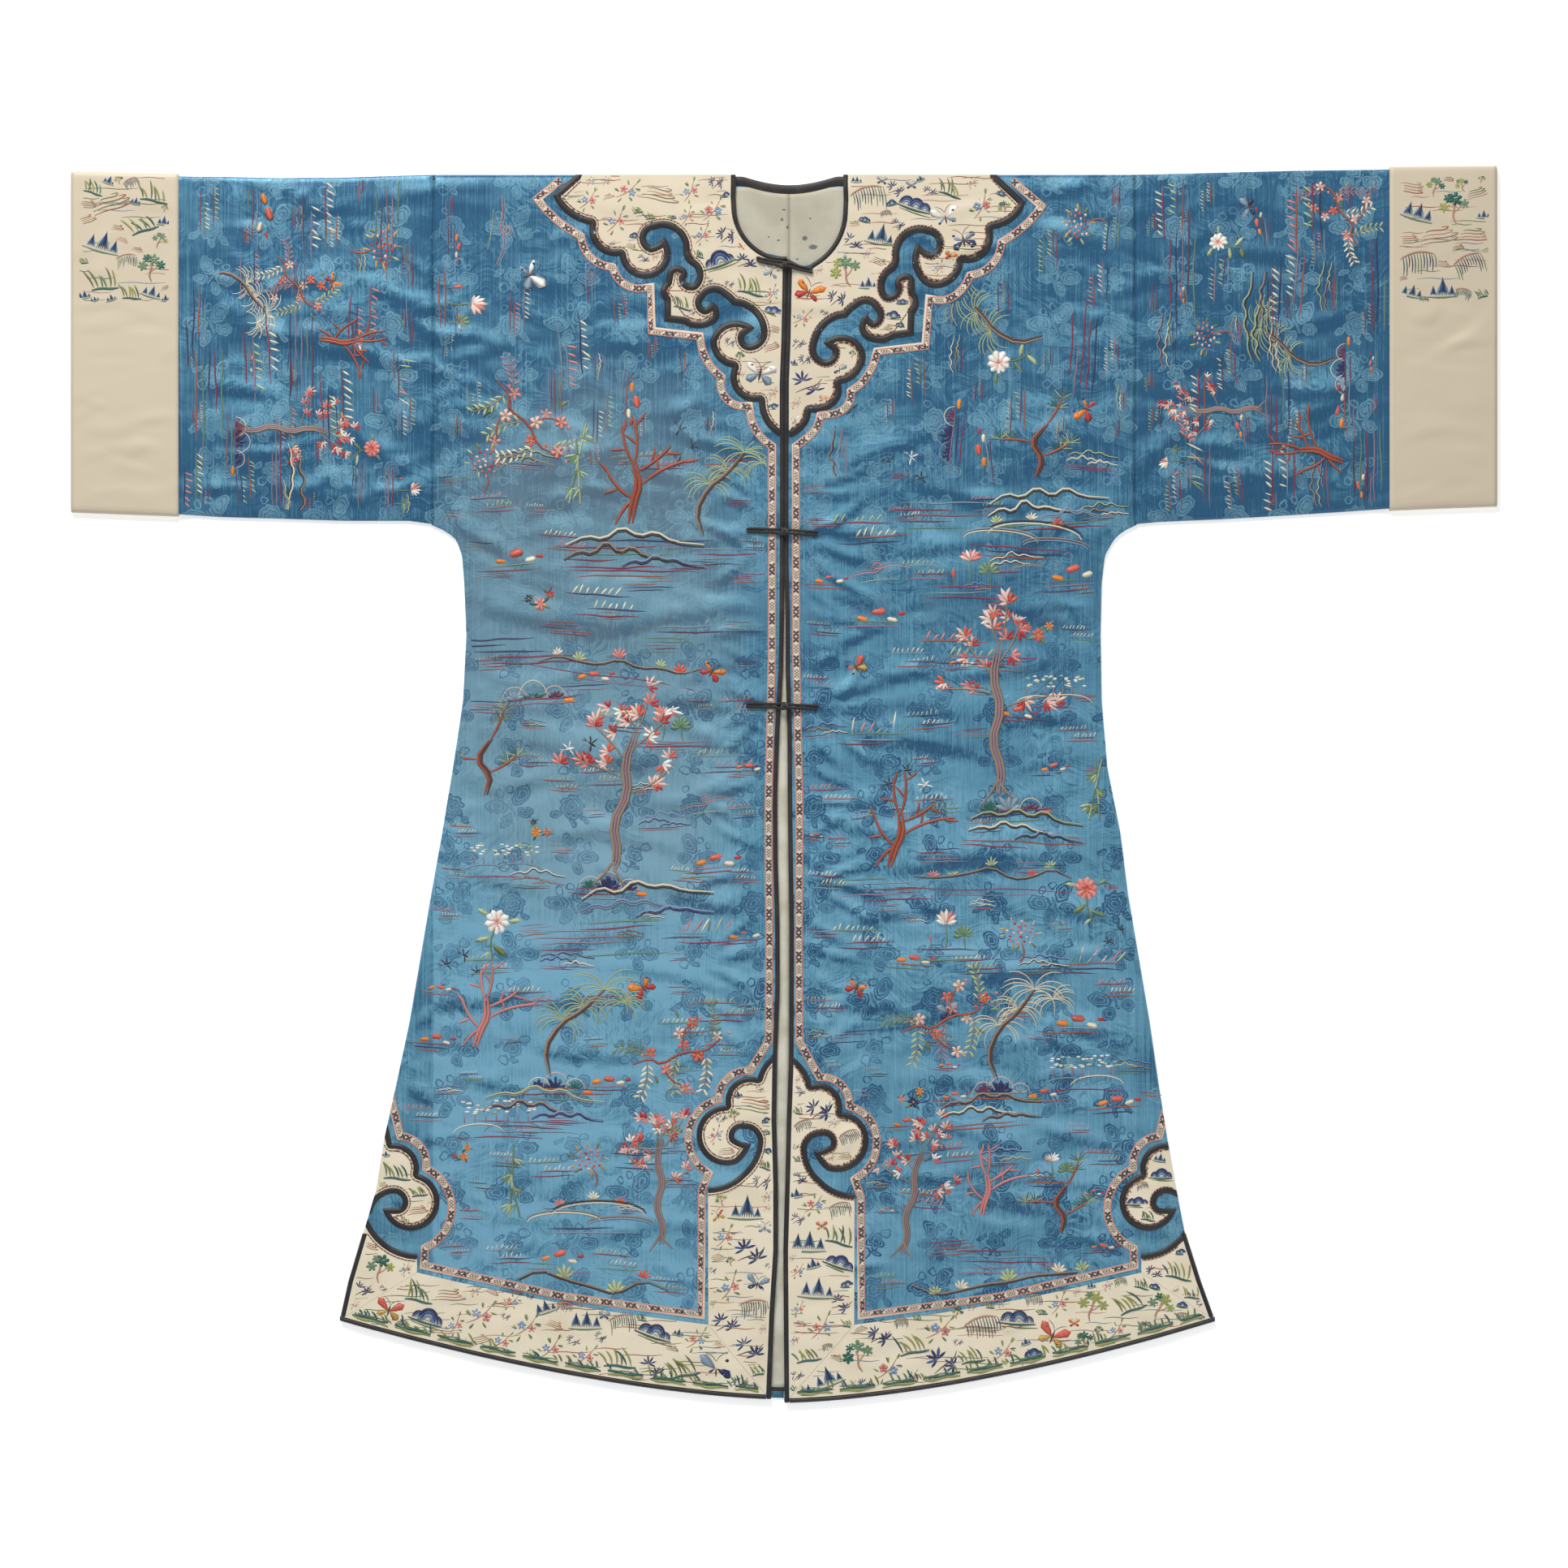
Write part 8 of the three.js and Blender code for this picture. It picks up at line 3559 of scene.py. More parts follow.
LEFT_SCENES = scene_rows(
    """
    CLOUD -262 48 1.1 -8, BUTTERFLY -232 92 1.15 20, LOTUS -285 118 1.0 0, PLUM -262 188 0.95 12,
    TUFTS -185 160 1.0 4, PEBBLES -140 205 0.8 -6, BIRDS -95 232 0.85 10, BERRIES -272 262 0.85 -10,
    BAMBOO -196 300 0.95 -5, CORAL -140 318 1.1 4, WATER -150 334 1.1 0, WILLOW -74 330 1.0 0,
    WATER -62 342 0.8 0, PEBBLES -246 352 0.9 3, POSY -222 392 1.0 20, TUFTS -168 384 0.95 -3,
    REEDS -80 412 1.05 2, WATER -252 424 1.0 2, RIDGE -150 446 0.75 -3, BUTTERFLY -66 454 0.9 -30,
    ROCKS -226 478 1.0 4, LOTUS -110 494 0.95 0, TUFTS -58 530 0.8 2, BIRDS -196 524 0.9 -12,
    PINE -272 566 1.05 6, MAPLE -158 642 1.12 -4, POSY -226 600 0.8 -30, CLOUD -72 578 0.9 6,
    ROCKS -158 652 0.95 -2, PEBBLES -64 628 0.85 4, GROVE -256 630 0.9 0, PEONY -262 682 0.95 -12,
    REEDS -76 692 0.9 0, WATER -180 690 1.0 2, BUTTERFLY -128 742 1.0 35, TUFTS -62 756 0.8 0,
    CORAL -282 796 0.9 -6, WILLOW -214 822 1.1 -6, ROCKS -206 834 0.9 0, PLUM -138 812 0.9 -10,
    LOTUS -116 866 0.9 0, GROVE -262 866 1.0 2, BERRIES -178 898 0.8 8, BAMBOO -250 952 0.85 4,
    MAPLE -112 976 0.8 6, MOUND -176 950 0.9 0, PEBBLES -206 990 0.8 0, BIRDS -308 720 0.8 0,
    HILLS -140 340 1.1 0, HILLS -128 660 1.05 3, HILLS -222 846 0.95 -2, RIDGE -200 1010 0.95 -4,
    POSY -292 896 0.7 40
    """
)
RIGHT_SCENES = scene_rows(
    """
    BIRDS 62 214 0.9 5, BERRIES 268 46 0.8 0, WILLOW 236 148 1.0 0, WATER 262 160 1.0 -4,
    PEONY 196 172 0.9 14, BUTTERFLY 276 214 1.0 -20, ROCKS 154 236 0.9 -5, BIRDS 96 262 0.9 -14,
    PINE 230 276 1.0 0, TUFTS 70 318 0.95 2, WATER 142 300 1.0 0, MOUND 222 330 0.9 -4,
    PEBBLES 262 366 0.9 4, LOTUS 170 352 1.0 0, CLOUD 84 366 1.0 6, PEBBLES 84 404 0.9 0,
    POSY 232 420 1.0 10, TUFTS 156 426 1.0 -2, BUTTERFLY 66 450 0.85 30, MAPLE 196 566 1.12 6,
    GROVE 246 476 0.85 0, REEDS 84 510 1.0 0, BIRDS 96 556 0.9 12, ROCKS 208 580 1.0 3,
    BAMBOO 278 588 0.9 -5, CORAL 96 632 1.0 -4, WATER 96 642 0.9 2, RIDGE 190 640 0.72 4,
    PEONY 276 652 0.9 8, TUFTS 66 690 0.8 0, LOTUS 148 684 0.95 0, BERRIES 216 692 0.85 -8,
    REEDS 282 720 0.9 0, BUTTERFLY 66 742 0.9 -25, PLUM 108 782 0.9 -6, PEBBLES 266 774 0.9 0,
    WILLOW 194 826 1.05 4, ROCKS 200 838 0.9 0, GROVE 272 824 0.9 2, POSY 118 846 0.9 30,
    CORAL 180 950 0.75 0, LOTUS 244 900 0.8 0, MAPLE 108 984 0.78 -5, PINE 252 966 0.9 4,
    WATER 196 982 0.9 0, BIRDS 296 700 0.7 20, HILLS 238 300 0.95 3, HILLS 218 592 0.9 -3,
    HILLS 186 850 0.8 4, RIDGE 206 1012 0.9 4, BUTTERFLY 150 764 0.8 10
    """
)
LEFT_ARM_SCENES = scene_rows(
    """
    MAPLE -496 232 0.66 4, ROCKS -500 246 0.8 0, WATER -512 214 1.1 0, WILLOW -524 92 0.72 -6,
    TUFTS -470 158 1.1 4, WATER -528 150 1.0 0, PLUM -462 74 0.66 10, PEBBLES -476 34 0.85 0,
    TUFTS -418 34 1.0 0, CORAL -424 150 0.7 6, WATER -430 150 0.9 0, BERRIES -366 66 0.9 0,
    TUFTS -378 128 0.9 -4, PEONY -376 250 0.62 20, REEDS -352 186 0.8 0, TUFTS -402 206 1.0 2,
    HILLS -446 284 0.7 0, BUTTERFLY -412 98 0.7 30, LOTUS -340 288 0.7 0, WATER -352 40 0.9 0,
    TUFTS -536 276 0.8 0
    """
)
RIGHT_ARM_SCENES = scene_rows(
    """
    CORAL 510 262 0.8 -8, WATER 520 258 1.1 0, WILLOW 502 168 0.85 4, ROCKS 512 176 0.8 0,
    PEBBLES 508 216 0.8 0, PLUM 524 66 0.72 4, TUFTS 468 42 1.1 0, WATER 536 104 1.0 0,
    TUFTS 452 106 1.0 -4, MAPLE 436 214 0.56 6, TUFTS 446 280 1.0 0, HILLS 428 132 0.7 0,
    PEONY 396 62 0.7 -16, BERRIES 384 148 0.75 0, REEDS 384 272 0.85 0, WATER 440 214 0.9 0,
    TUFTS 366 214 0.9 0, LOTUS 350 262 0.7 0, BUTTERFLY 424 30 0.75 10, WATER 352 96 1.0 0,
    TUFTS 346 32 0.9 0
    """
)
TURNED_ABOVE = 258.0  # on the body, scenes above this drop lie along the arm
SMALL_SPRAYS = [
    Motif[name]
    for name in "BLADES STAR BLOOM BOULDER FROND BLOOM PEAKS SWIRL BUSH BLOOM BLADES BUTTERFLY STAR".split()
]
CUFF_SPRAYS = [Motif[name] for name in "SWIRL BUSH PEAKS FROND SWIRL BLADES".split()]
LOOSE_SPRAYS = [Motif[name] for name in "TUFTS WATER TUFTS HILLS TUFTS PEBBLES WATER".split()]
TALL_GROWTH = 1.3  # trees stand this much larger than the rest
TREES = [Motif[name] for name in "MAPLE WILLOW PLUM PINE CORAL".split()]


@dataclass(frozen=True)
class EmbroiderySilk:
    """Floss silk in every colour, its strands running along each stitch."""

    def make(self) -> bpy.types.Material:
        """The finish as a material.

        Returns:
            The material.
        """
        graph = Graph("embroidery_silk")
        thread = graph.attribute("thread", "Color")
        along, across, _ = graph.split(graph.weave())
        strands = graph.noise(graph.join(along * 1.2, across * 9.0), 1.0, 1.0)
        fine = graph.noise(graph.place(), 1.6, 2.0)
        shade = graph.step(strands * 0.5 + fine * 0.5, 0.3, 0.7)
        darker = graph.blend(0.45, thread, (0.05, 0.04, 0.05))
        tip = graph.step(along, 0.0, 0.7) * 0.5 + 0.5
        colour = graph.blend((shade * 0.6).most(tip * 0.7) * 0.8 + 0.2, darker, thread)
        graph.bump(strands * 0.2 + fine * 0.08, 1.0, 0.7)
        return graph.surface(
            colour, Roughness=0.42, Sheen_Weight=0.25, Sheen_Roughness=0.35,
            Sheen_Tint=(1.0, 0.97, 0.92, 1.0),
        )


@dataclass
class Embroideress:
    """Works the motifs on every part of the coat."""

    drape: Drape
    book: StitchBook
    finish: bpy.types.Material
    needle: Needle = field(default_factory=Needle)
    tries: int = 2600  # places tried for small motifs
    mist: float = 460.0  # square millimetres for each line of mist

    def level(self, top: float) -> Callable[[np.ndarray, np.ndarray], np.ndarray]:
        """Height of a cloth whose face is at a level before the folds lift it."""
        return lambda x, y: top + self.drape.height(x, y)

    def arm_level(self, x: np.ndarray, y: np.ndarray) -> np.ndarray:
        """Height of a sleeve's face."""
        return FRONT_TOP + sleeve_rise(np.abs(x)) + self.drape.height(x, y)

    def front_silk(self, half: Half) -> np.ndarray:
        """Outline of the open silk of a front.

        Args:
            half: Half of the coat.

        Returns:
            Its plan points.
        """
        ribbon = edge_line(half, RIBBON_EDGE)
        side = along_side(half, SLEEVE_DEPTH, VENT_DROP, 2.0)
        corner = half.plan(SLEEVE_SEAM - 1.5, np.array([SLEEVE_DEPTH, 2.0]))[::-1]
        return np.vstack([corner, side[side[:, 1] > ribbon[-1, 1]], ribbon[::-1]])

    def fillers(self, area: np.ndarray, rows: Iterable[tuple], seed: int) -> list[tuple]:
        """Small motifs for the open silk between the scenes."""
        taken = [(x, SHOULDER_Y - drop + 18 * size, 25 * size) for _, x, drop, size, _ in rows]
        return self.packed(area, (closed(area),), (27.0, 20.0, 14.0), LOOSE_SPRAYS, seed, taken, 5.0, 0.84)

    def finish_work(self, work: ThreadWork, name: str) -> bpy.types.Object:
        """Turns the gathered stitches into a piece."""
        piece = self.book.work(work.marks(), name, self.finish)
        return dress(piece, "")

    def scenes(
        self, name: str, rows: Iterable[tuple], seed: int, surface: Callable, area: np.ndarray,
        fillers: Iterable[tuple],
        turned_above: float,
    ) -> bpy.types.Object:
        """A piece with the motifs of a table, cut off at the edge of their cloth.

        Args:
            name: Name of the piece.
            rows: Motif, x, drop, size and turn of each scene.
            seed: Fixes the small differences.
            surface: Height of the cloth at a place.
            area: Outline of the cloth.
            fillers: Small motifs between the scenes.
            turned_above: Drop above which motifs grow in towards the neck.

        Returns:
            The piece.
        """
        work = ThreadWork(surface, np.random.default_rng(seed))
        for motif, x, drop, size, turn in rows:
            growth = TALL_GROWTH if motif in TREES else 1.0
            lean = math.copysign(90.0, x) if drop < turned_above else 0.0
            self.needle.draw(
                motif, Pen(work, x, SHOULDER_Y - drop, turn + lean, size * SCENE_SIZE * growth)
            )
        self.sprinkle(work, fillers, SHOULDER_Y - turned_above)
        rim = closed(area)
        work.clip(lambda spots: inside(spots, area) & (to_line(spots, rim)[0] > 1.0))
        return self.finish_work(work, name)

    def packed(
        self, area: np.ndarray, edges: Sequence[np.ndarray], sizes: Sequence[float],
        motifs: Sequence[Motif], seed: int,
        taken: Sequence[tuple[float, float, float]] = (), sway: float = 22.0, spread: float = 0.74,
    ) -> list[tuple]:
        """Places for small motifs packed into an area.

        Args:
            area: Closed outline.
            edges: Lines that the motifs stay clear of.
            sizes: Reaches of the motifs, the largest first.
            motifs: What to choose from.
            seed: Fixes the choices.
            taken: Places in use already, with their reach.
            sway: Greatest turn, in degrees.
            spread: Distance between two motifs as a share of their reaches.

        Returns:
            Rows of motif, x, y, reach and turn.
        """
        chance = np.random.default_rng(seed)
        low, high = area.min(0), area.max(0)
        spots = low + chance.random((self.tries, 2)) * (high - low)
        spots = spots[inside(spots, area)]
        clear = np.min([to_line(spots, line)[0] for line in edges], axis=0)
        found, rows = np.array([*taken, (1e6, 1e6, 0.0)]), []
        for largest in sizes:
            for (x, y), room in zip(spots, clear):
                reach = min(float(room) + 2.0, largest)
                gap = np.hypot(found[:, 0] - x, found[:, 1] - y) - found[:, 2] * spread
                if reach >= largest * 0.8 and gap.min() > reach * spread:
                    found = np.vstack([found, (x, y, reach)])
                    motif = motifs[int(chance.integers(len(motifs)))]
                    rows.append((motif, float(x), float(y), reach, float(chance.uniform(-sway, sway))))
        return rows

    def sprinkle(self, work: ThreadWork, rows: Iterable[tuple], turned_above: float = math.inf) -> None:
        """Works motifs fitted to their places, those above a level turned a quarter.

        Args:
            work: Gathers the stitches.
            rows: Motif, x, y, reach and turn of each.
            turned_above: Level above which motifs are turned.
        """
        for motif, x, y, reach, turn in rows:
            scratch = ThreadWork(work.surface, work.chance)
            lean = math.copysign(90.0, x) if y > turned_above else 0.0
            self.needle.draw(motif, Pen(scratch, 0, 0, turn + lean, 1.0))
            work.take(scratch, x, y, reach)

    def fill(
        self, work: ThreadWork, outline: np.ndarray, limits: Sequence[np.ndarray], seed: int,
        ground: np.ndarray | None = None,
        motifs: Sequence[Motif] = SMALL_SPRAYS,
    ) -> None:
        """Works a garden of small motifs on a cream border.

        Args:
            work: Gathers the stitches.
            outline: Outline of the cream silk.
            limits: Closed or banded lines to stay inside of: the band's inner edge, then other outlines.
            seed: Fixes the choices.
            ground: Line along which a strip of ground is laid.
            motifs: What to choose from.
        """
        chance = np.random.default_rng(seed)
        edges = [*map(closed, (outline, *limits[1:])), *limits[:1]]
        rough = ThreadWork(work.surface, chance)
        low, high = outline.min(0), outline.max(0)
        pen = Pen(rough, 0, 0)
        for _ in range(int(np.prod(high - low) / self.mist)):
            x, y = low + chance.random(2) * (high - low)
            reach, thread = chance.uniform(8, 24), pen.pick(RUST, TAN, TAUPE, OLIVE, SLATE)
            pen.line(
                [(x - reach, y), (x - reach / 3, y + 1.1), (x + reach / 3, y - 0.4), (x + reach, y + 0.7)],
                0.75, thread,
            )
        if ground is not None:
            run = divided(ground, 7.0)
            for lift, width, thread in ((3.6, 2.6, TEAL), (1.6, 2.4, MOSS), (5.2, 1.1, SAGE)):
                wave = lift + np.abs(np.sin(np.arange(len(run)) * 0.9 + lift)) * 2.4
                for start in range(0, len(run) - 3, 6):
                    part = slice(start, start + 6)
                    pen.line(list(zip(run[part, 0], run[part, 1] + wave[part])), width, thread)
            for x, y in divided(ground, 5.0)[1:-1]:
                if chance.random() < 0.45:
                    tone = pen.pick(SAGE, OLIVE, MOSS, TEAL)
                    blade = pen.curl(
                        x, y + chance.uniform(4, 7), chance.uniform(70, 120), chance.uniform(6, 11),
                        chance.uniform(25, 60), 4,
                    )
                    pen.line(blade, 1.7, tone, 0.75)
        self.sprinkle(rough, self.packed(outline, edges, (20.0, 15.5, 12.0, 9.0, 6.5), motifs, seed))
        for area in (outline, *limits[1:]):
            rough.clip(lambda spots, area=area: inside(spots, area))
        rough.clip(lambda spots: np.min([to_line(spots, line)[0] for line in edges], axis=0) > 0.9)
        work.stitches += rough.stitches
        work.lines += rough.lines

    def edging(self, work: ThreadWork, line: np.ndarray, pitch: float = 1.7) -> None:
        """A two-colour twisted cord along a line.

        Args:
            work: Gathers the stitches.
            line: Plan points along the line.
            pitch: Distance between two stitches.
        """
        run = distances(line)
        marks = np.arange(0, run[-1], pitch)
        points = np.stack([np.interp(marks, run, line[:, i]) for i in range(2)], 1)
        ahead = np.stack([np.interp(marks + 0.6, run, line[:, i]) for i in range(2)], 1)
        for index, ((x, y), (x1, y1)) in enumerate(zip(points, ahead)):
            thread = BROWN if index % 2 else TAN
            angle = math.atan2(y1 - y, x1 - x) + 0.45
            colour = work.tinted(thread)
            work.stitches.append((x, y, angle, pitch * 1.4, 1.4, 1.0, Stitch.OVAL.value, *colour))


def twisted(
    route: np.ndarray, radius: float, pitch: float = 3.2, sides: int = 10, step: float = 0.55
) -> Shell:
    """A two-ply cord along a smooth route in space.

    Args:
        route: Points in space.
        radius: Its radius.
        pitch: Length of one turn.
        sides: Points round it.
        step: Distance between two rings.

    Returns:
        The cord.
    """
    run = distances(route)
    at = np.linspace(0, run[-1], max(4, int(run[-1] / step)))
    path = np.stack([np.interp(at, run, route[:, i]) for i in range(3)], 1)
    for _ in range(3):
        path[1:-1] = (path[:-2] + 2 * path[1:-1] + path[2:]) / 4
    along = unit(np.gradient(path, axis=0))
    side = unit(np.cross(along, (0.0, 0.0, 1.0)))
    up = np.cross(side, along)
    angles = np.linspace(0, 2 * math.pi, sides, endpoint=False)
    swell = 0.8 + 0.24 * np.abs(np.cos(angles[None] - at[:, None] * (2 * math.pi / pitch)))
    ends = np.sqrt(np.clip(np.minimum(at, run[-1] - at) / radius, 0.05, 1))
    reach = radius * swell * ends[:, None]
    out, rise = (np.cos(angles) * reach)[..., None], (np.sin(angles) * reach)[..., None]
    ring = path[:, None] + side[:, None] * out + up[:, None] * rise
    count = len(path)
    weave = np.column_stack([np.repeat(at, sides), np.tile(angles * radius, count)])
    return Shell(ring.reshape(-1, 3), tube_faces(count, sides), weave)


@dataclass
class Frog:
    """A cord fastening: a looped arm on the left front and an arm with a ball knot on the right."""

    name: str
    drop: float
    left_reach: float
    right_reach: float
    knot: float
    lean: float
    on_trim: bool
    radius: float = 1.3
    strand: float = 1.5

    def levels(self) -> tuple[float, float]:
        """Heights of the cord's middle at its far end and over the trims."""
        over = BINDING_TOP + 0.25 + self.radius
        return (over if self.on_trim else FRONT_TOP + 0.25 + self.radius), over

    def build(self, drape: Drape, finish: bpy.types.Material) -> None:
        """Makes and dresses both arms.

        Args:
            drape: Folds of the coat.
            finish: Its material.
        """
        far, over = self.levels()
        y, p = SHOULDER_Y - self.drop, self.strand
        loop = [(-self.left_reach, p, far, 1), (-22, p, far, 0.8), (-16, p, over, 0.6), (-7, p, over, 0.3),
                (-3.2, p + 0.9, over, 0.1), (0.6, p + 1.1, over, 0), (2.6, p + 0.4, over, 0)]
        bent = [(-self.left_reach - 1.8, 0.9, far, 1), (-self.left_reach - 2.1, 0, far, 1)]
        there = [(x, y + a + self.lean * s, z) for x, a, z, s in bent[::-1] + loop]
        back = [(x, y - a + self.lean * s, z) for x, a, z, s in (bent[::-1] + loop)[::-1]]
        self.finish_arm(
            "loop", [twisted(self.lifted(there + [(3.3, y, over)] + back, drape), self.radius)], finish
        )
        high = over + 2 * self.radius + 0.2
        knot = [(self.right_reach, p, far, 1), (22, p, far, 0.8), (16.5, p, over, 0.6), (10, p, over, 0.3),
                (6, p, high, 0), (2, p * 0.8, high + 0.5, 0)]
        cords = [
            twisted(
                self.lifted([(x, y + sign * a - self.lean * s, z) for x, a, z, s in knot], drape),
                self.radius,
            )
            for sign in (1, -1)
        ]
        self.finish_arm("knot", [*cords, self.ball(y, high + self.knot * 0.5, drape)], finish)

    def finish_arm(self, kind: str, parts: Sequence[Shell], finish: bpy.types.Material) -> None:
        """Joins the parts of one arm into its piece.

        Args:
            kind: Which arm it is.
            parts: Meshes to join.
            finish: Its material.
        """
        whole = parts[0]
        for part in parts[1:]:
            whole = whole.join(part)
        piece = whole.build(f"cord_{self.name}_{kind}", finish, 80)
        dress(piece, "cord_black", f"frog_{self.name}_{kind}")

    @staticmethod
    def lifted(route: Sequence[tuple[float, float, float]], drape: Drape) -> np.ndarray:
        """The route raised by the folds beneath it.

        Args:
            route: Points in space before the folds lift them.
            drape: Folds of the coat.

        Returns:
            Points on the coat.
        """
        points = np.array(route)
        fine = np.concatenate([soften(points[:, :2]), soften(points[:, [2, 2]])[:, :1]], axis=1)
        fine[:, 2] += drape.height(fine[:, 0], fine[:, 1])
        return fine

    def ball(self, y: float, z: float, drape: Drape) -> Shell:
        """A ball knot of interlaced cord.

        Args:
            y: Place of its middle up the coat.
            z: Height of its middle.
            drape: Folds of the coat.

        Returns:
            The ball.
        """
        across, around = 15, 26
        polar = np.linspace(0.05, math.pi - 0.05, across)[:, None]
        angle = np.linspace(0, 2 * math.pi, around, endpoint=False)[None]
        weave = np.maximum(np.sin(3 * angle + 2.2 * polar), np.sin(3 * angle - 2.2 * polar))
        reach = self.knot * (0.88 + 0.14 * weave)
        lift = float(drape.height(0.2, y))
        points = np.stack(
            [
                0.2 + reach * np.sin(polar) * np.cos(angle), y + reach * np.sin(polar) * np.sin(angle),
                z + lift + reach * np.cos(polar) + 0 * angle
            ],
            axis=2,
        ).reshape(-1, 3)
        return Shell(points, tube_faces(across, around), points[:, :2] * 1.5)


FROGS = (
    Frog("neck", 83, 23, 26.5, 2.4, 5.5, True),
    Frog("chest", 326, 32, 31.5, 3.4, 1.5, False),
    Frog("waist", 485, 32.5, 31.5, 3.4, 1, False),
)


# ---- Studio ------------------------------------------------------------------------------


@dataclass
class Studio:
    """Plain pale floor, soft light and a camera straight above."""

    field: float = 1.43  # width of what the camera sees, on the coat
    lens: float = 120.0
    sensor: float = 36.0
    reach: float = 14.0  # half the floor's width
    level: float = -0.0004  # the floor lies just under the coat

    def floor(self) -> None:
        """A wide plane just under the coat."""
        mesh = bpy.data.meshes.new("floor")
        corners = [
            (x * self.reach, y * self.reach, self.level) for x, y in ((-1, -1), (1, -1), (1, 1), (-1, 1))
        ]
        mesh.from_pydata(corners, [], [(0, 1, 2, 3)])
        mesh.materials.append(Backdrop().make())
        made = bpy.data.objects.new("floor", mesh)
        bpy.context.scene.collection.objects.link(made)
        made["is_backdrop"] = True

    def lamp(self, name: str, place: Sequence[float], size: float, power: float, warm: Colour) -> None:
        """One soft area light aimed at the coat.

        Args:
            name: Its name.
            place: Its place in metres.
            size: Width of the light in metres.
            power: Its power in watts.
            warm: Its colour.
        """
        light = bpy.data.lights.new(name, "AREA")
        light.shape = "SQUARE"
        light.size, light.energy, light.color = size, power, warm
        made = bpy.data.objects.new(name, light)
        made.location = place
        aim = -np.array(place) / np.linalg.norm(place)
        made.rotation_euler = (math.acos(-aim[2]), 0.0, math.atan2(aim[1], aim[0]) - math.pi / 2)
        made.visible_camera = False
        bpy.context.scene.collection.objects.link(made)

    def build(self) -> None:
        """Sets the stage."""
        scene = bpy.context.scene
        scene.view_settings.view_transform = "Standard"
        world = bpy.data.worlds.new("studio")
        scene.world = world
        world.use_nodes = True
        back = world.node_tree.nodes["Background"]
        back.inputs["Color"].default_value = (1.0, 1.0, 1.0, 1.0)
        back.inputs["Strength"].default_value = 0.42
        self.floor()
        self.lamp("key", (-0.7, 2.5, 1.9), 1.3, 88.0, (1.0, 0.985, 0.96))
        self.lamp("fill", (0.9, -2.3, 2.2), 1.8, 18.0, (0.94, 0.97, 1.0))
        camera = bpy.data.cameras.new("camera")
        camera.lens, camera.sensor_width = self.lens, self.sensor
        made = bpy.data.objects.new("camera", camera)
        made.location = (0.0, 0.0, self.field * self.lens / self.sensor + 0.005)
        scene.collection.objects.link(made)
        scene.camera = made


# ---- The coat ----------------------------------------------------------------------------


def save_bounds(key: str, sizes: dict[str, list[list[float]]]) -> None:
    """Args:
        key: The box's name.
        sizes: Boxes found so far.
    """
    sizes[key] = [list(corner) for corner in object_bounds()]


# out and drop of the corners of what is worked on a sleeve and on a cuff
SLEEVE_FIELD = ((SLEEVE_SEAM + 2, 3), (549, 4), (549, 305), (SLEEVE_SEAM + 2, 312))
CUFF_FIELD = ((560, 1), (643, 1), (643, 118), (560, 118))
HEM_FIELD = (12, 400)  # distances out between which the hem has its strip of ground


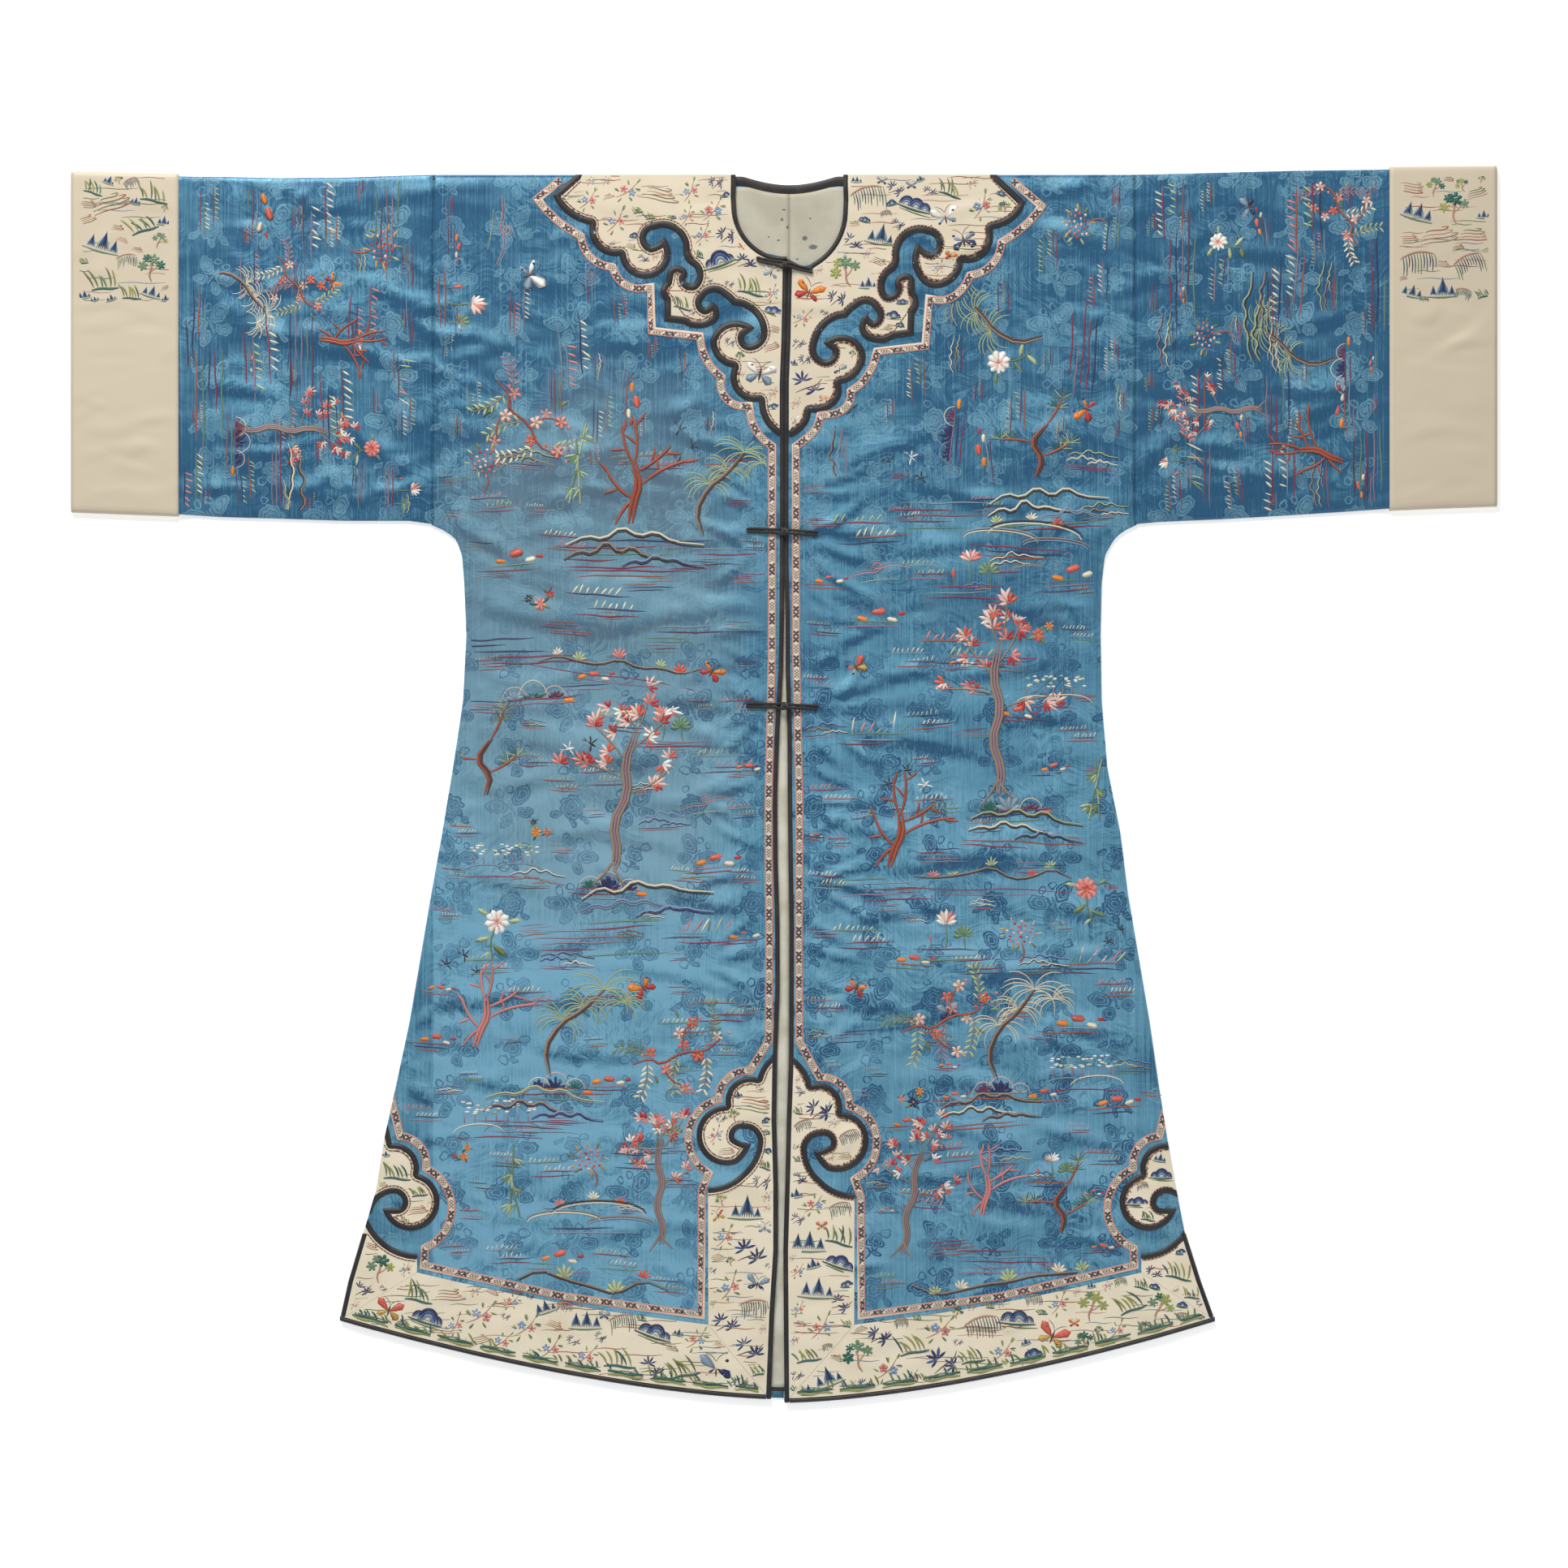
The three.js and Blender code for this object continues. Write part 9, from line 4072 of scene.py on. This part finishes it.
@dataclass
class Tailor:
    """Makes the pieces of one half of the coat, in order."""

    half: Half
    drape: Drape
    finishes: Finishes
    hand: Embroideress
    seed: int

    def cloth(self) -> None:
        """Makes the silk, the cuff and the lining."""
        BodyPanel(self.half, self.drape).build(self.finishes)
        make_sleeve(self.half, self.drape, self.finishes)
        make_cuff(self.half, self.drape, self.finishes)
        Lining(self.half, self.drape).build(self.finishes)

    def scenery(self) -> None:
        """Works the scenes on the body and the sleeve."""
        half, hand, seed = self.half, self.hand, self.seed
        body, arm = (LEFT_SCENES, LEFT_ARM_SCENES) if half.sign < 0 else (RIGHT_SCENES, RIGHT_ARM_SCENES)
        silk = hand.front_silk(half)
        sleeve = half.plan(*np.array(SLEEVE_FIELD).T)
        for part, rows, chance, surface, area, turned_above in (
            ("body", body, seed, hand.level(FRONT_TOP), silk, TURNED_ABOVE),
            ("sleeve", arm, seed + 10, hand.arm_level, sleeve, math.inf),
        ):
            fillers = hand.fillers(area, rows, seed)
            hand.scenes(
                f"{part}_embroidery_{half.name}", rows, chance, surface, area, fillers, turned_above
            )

    def cuff(self) -> None:
        """Works the cuff."""
        work = ThreadWork(self.hand.level(CUFF_TOP), np.random.default_rng(self.seed + 20))
        self.hand.fill(work, self.half.plan(*np.array(CUFF_FIELD).T), (), self.seed + 40, motifs=CUFF_SPRAYS)
        self.hand.finish_work(work, f"cuff_embroidery_{self.half.name}")

    def borders(self) -> None:
        """Makes the applied borders and works their gardens."""
        half, hand = self.half, self.hand
        work = ThreadWork(hand.level(APPLIQUE_TOP), np.random.default_rng(self.seed + 30))
        for index, (shape, cut) in enumerate(BORDER_CUTS):
            made = shape(half, self.drape)
            made.build(self.finishes, cut)
            inner = rounded_offset(made.line, made.inward * (made.width + 0.9))
            clear = to_line(inner, made.line)[0] > made.width + 0.6
            hand.edging(work, inner[clear & inside(inner, made.outline) & inside(inner, made.area())])
            hand.fill(work, made.outline, (inner, made.area()), self.seed * 7 + index)
        ground = along_hem(half, *HEM_FIELD, BINDING_INSET + 0.4)
        hand.fill(work, hem_outline(half), (), self.seed * 7 + 5, ground)
        hand.finish_work(work, f"border_embroidery_{half.name}")
        make_hem_border(half, self.drape, self.finishes)

    def edges(self) -> None:
        """Sews on the ribbon and the bindings."""
        make_ribbon(self.half, self.drape, self.finishes)
        Bindings(self.half, self.drape).build(self.finishes)


# width and length in metres of the silk that each shape is cut from
BORDER_CUTS = (
    (collar_shape, (0.19, 0.24)),
    (front_border_shape, (0.075, 0.32)),
    (side_border_shape, (0.06, 0.065)),
    (side_head_shape, (0.045, 0.09)),
)


def main() -> None:
    """Builds the coat, piece by piece."""
    logging.basicConfig(level=logging.INFO, format="%(name)s: %(message)s")
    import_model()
    sizes: dict[str, list[list[float]]] = {}
    save_bounds("cad", sizes)
    Studio().build()
    finishes = Finishes.make()
    drape = Drape()
    book = StitchBook()
    hand = Embroideress(drape, book, EmbroiderySilk().make())
    for seed, half in enumerate(HALVES, 21):
        tailor = Tailor(half, drape, finishes, hand, seed)
        tailor.cloth()
        tailor.scenery()
        tailor.cuff()
        tailor.borders()
        tailor.edges()
    make_back_neck_band(finishes)
    for frog in FROGS:
        frog.build(drape, finishes.cord)
    book.close()
    save_bounds("visual", sizes)


if __name__ == "__main__":
    main()
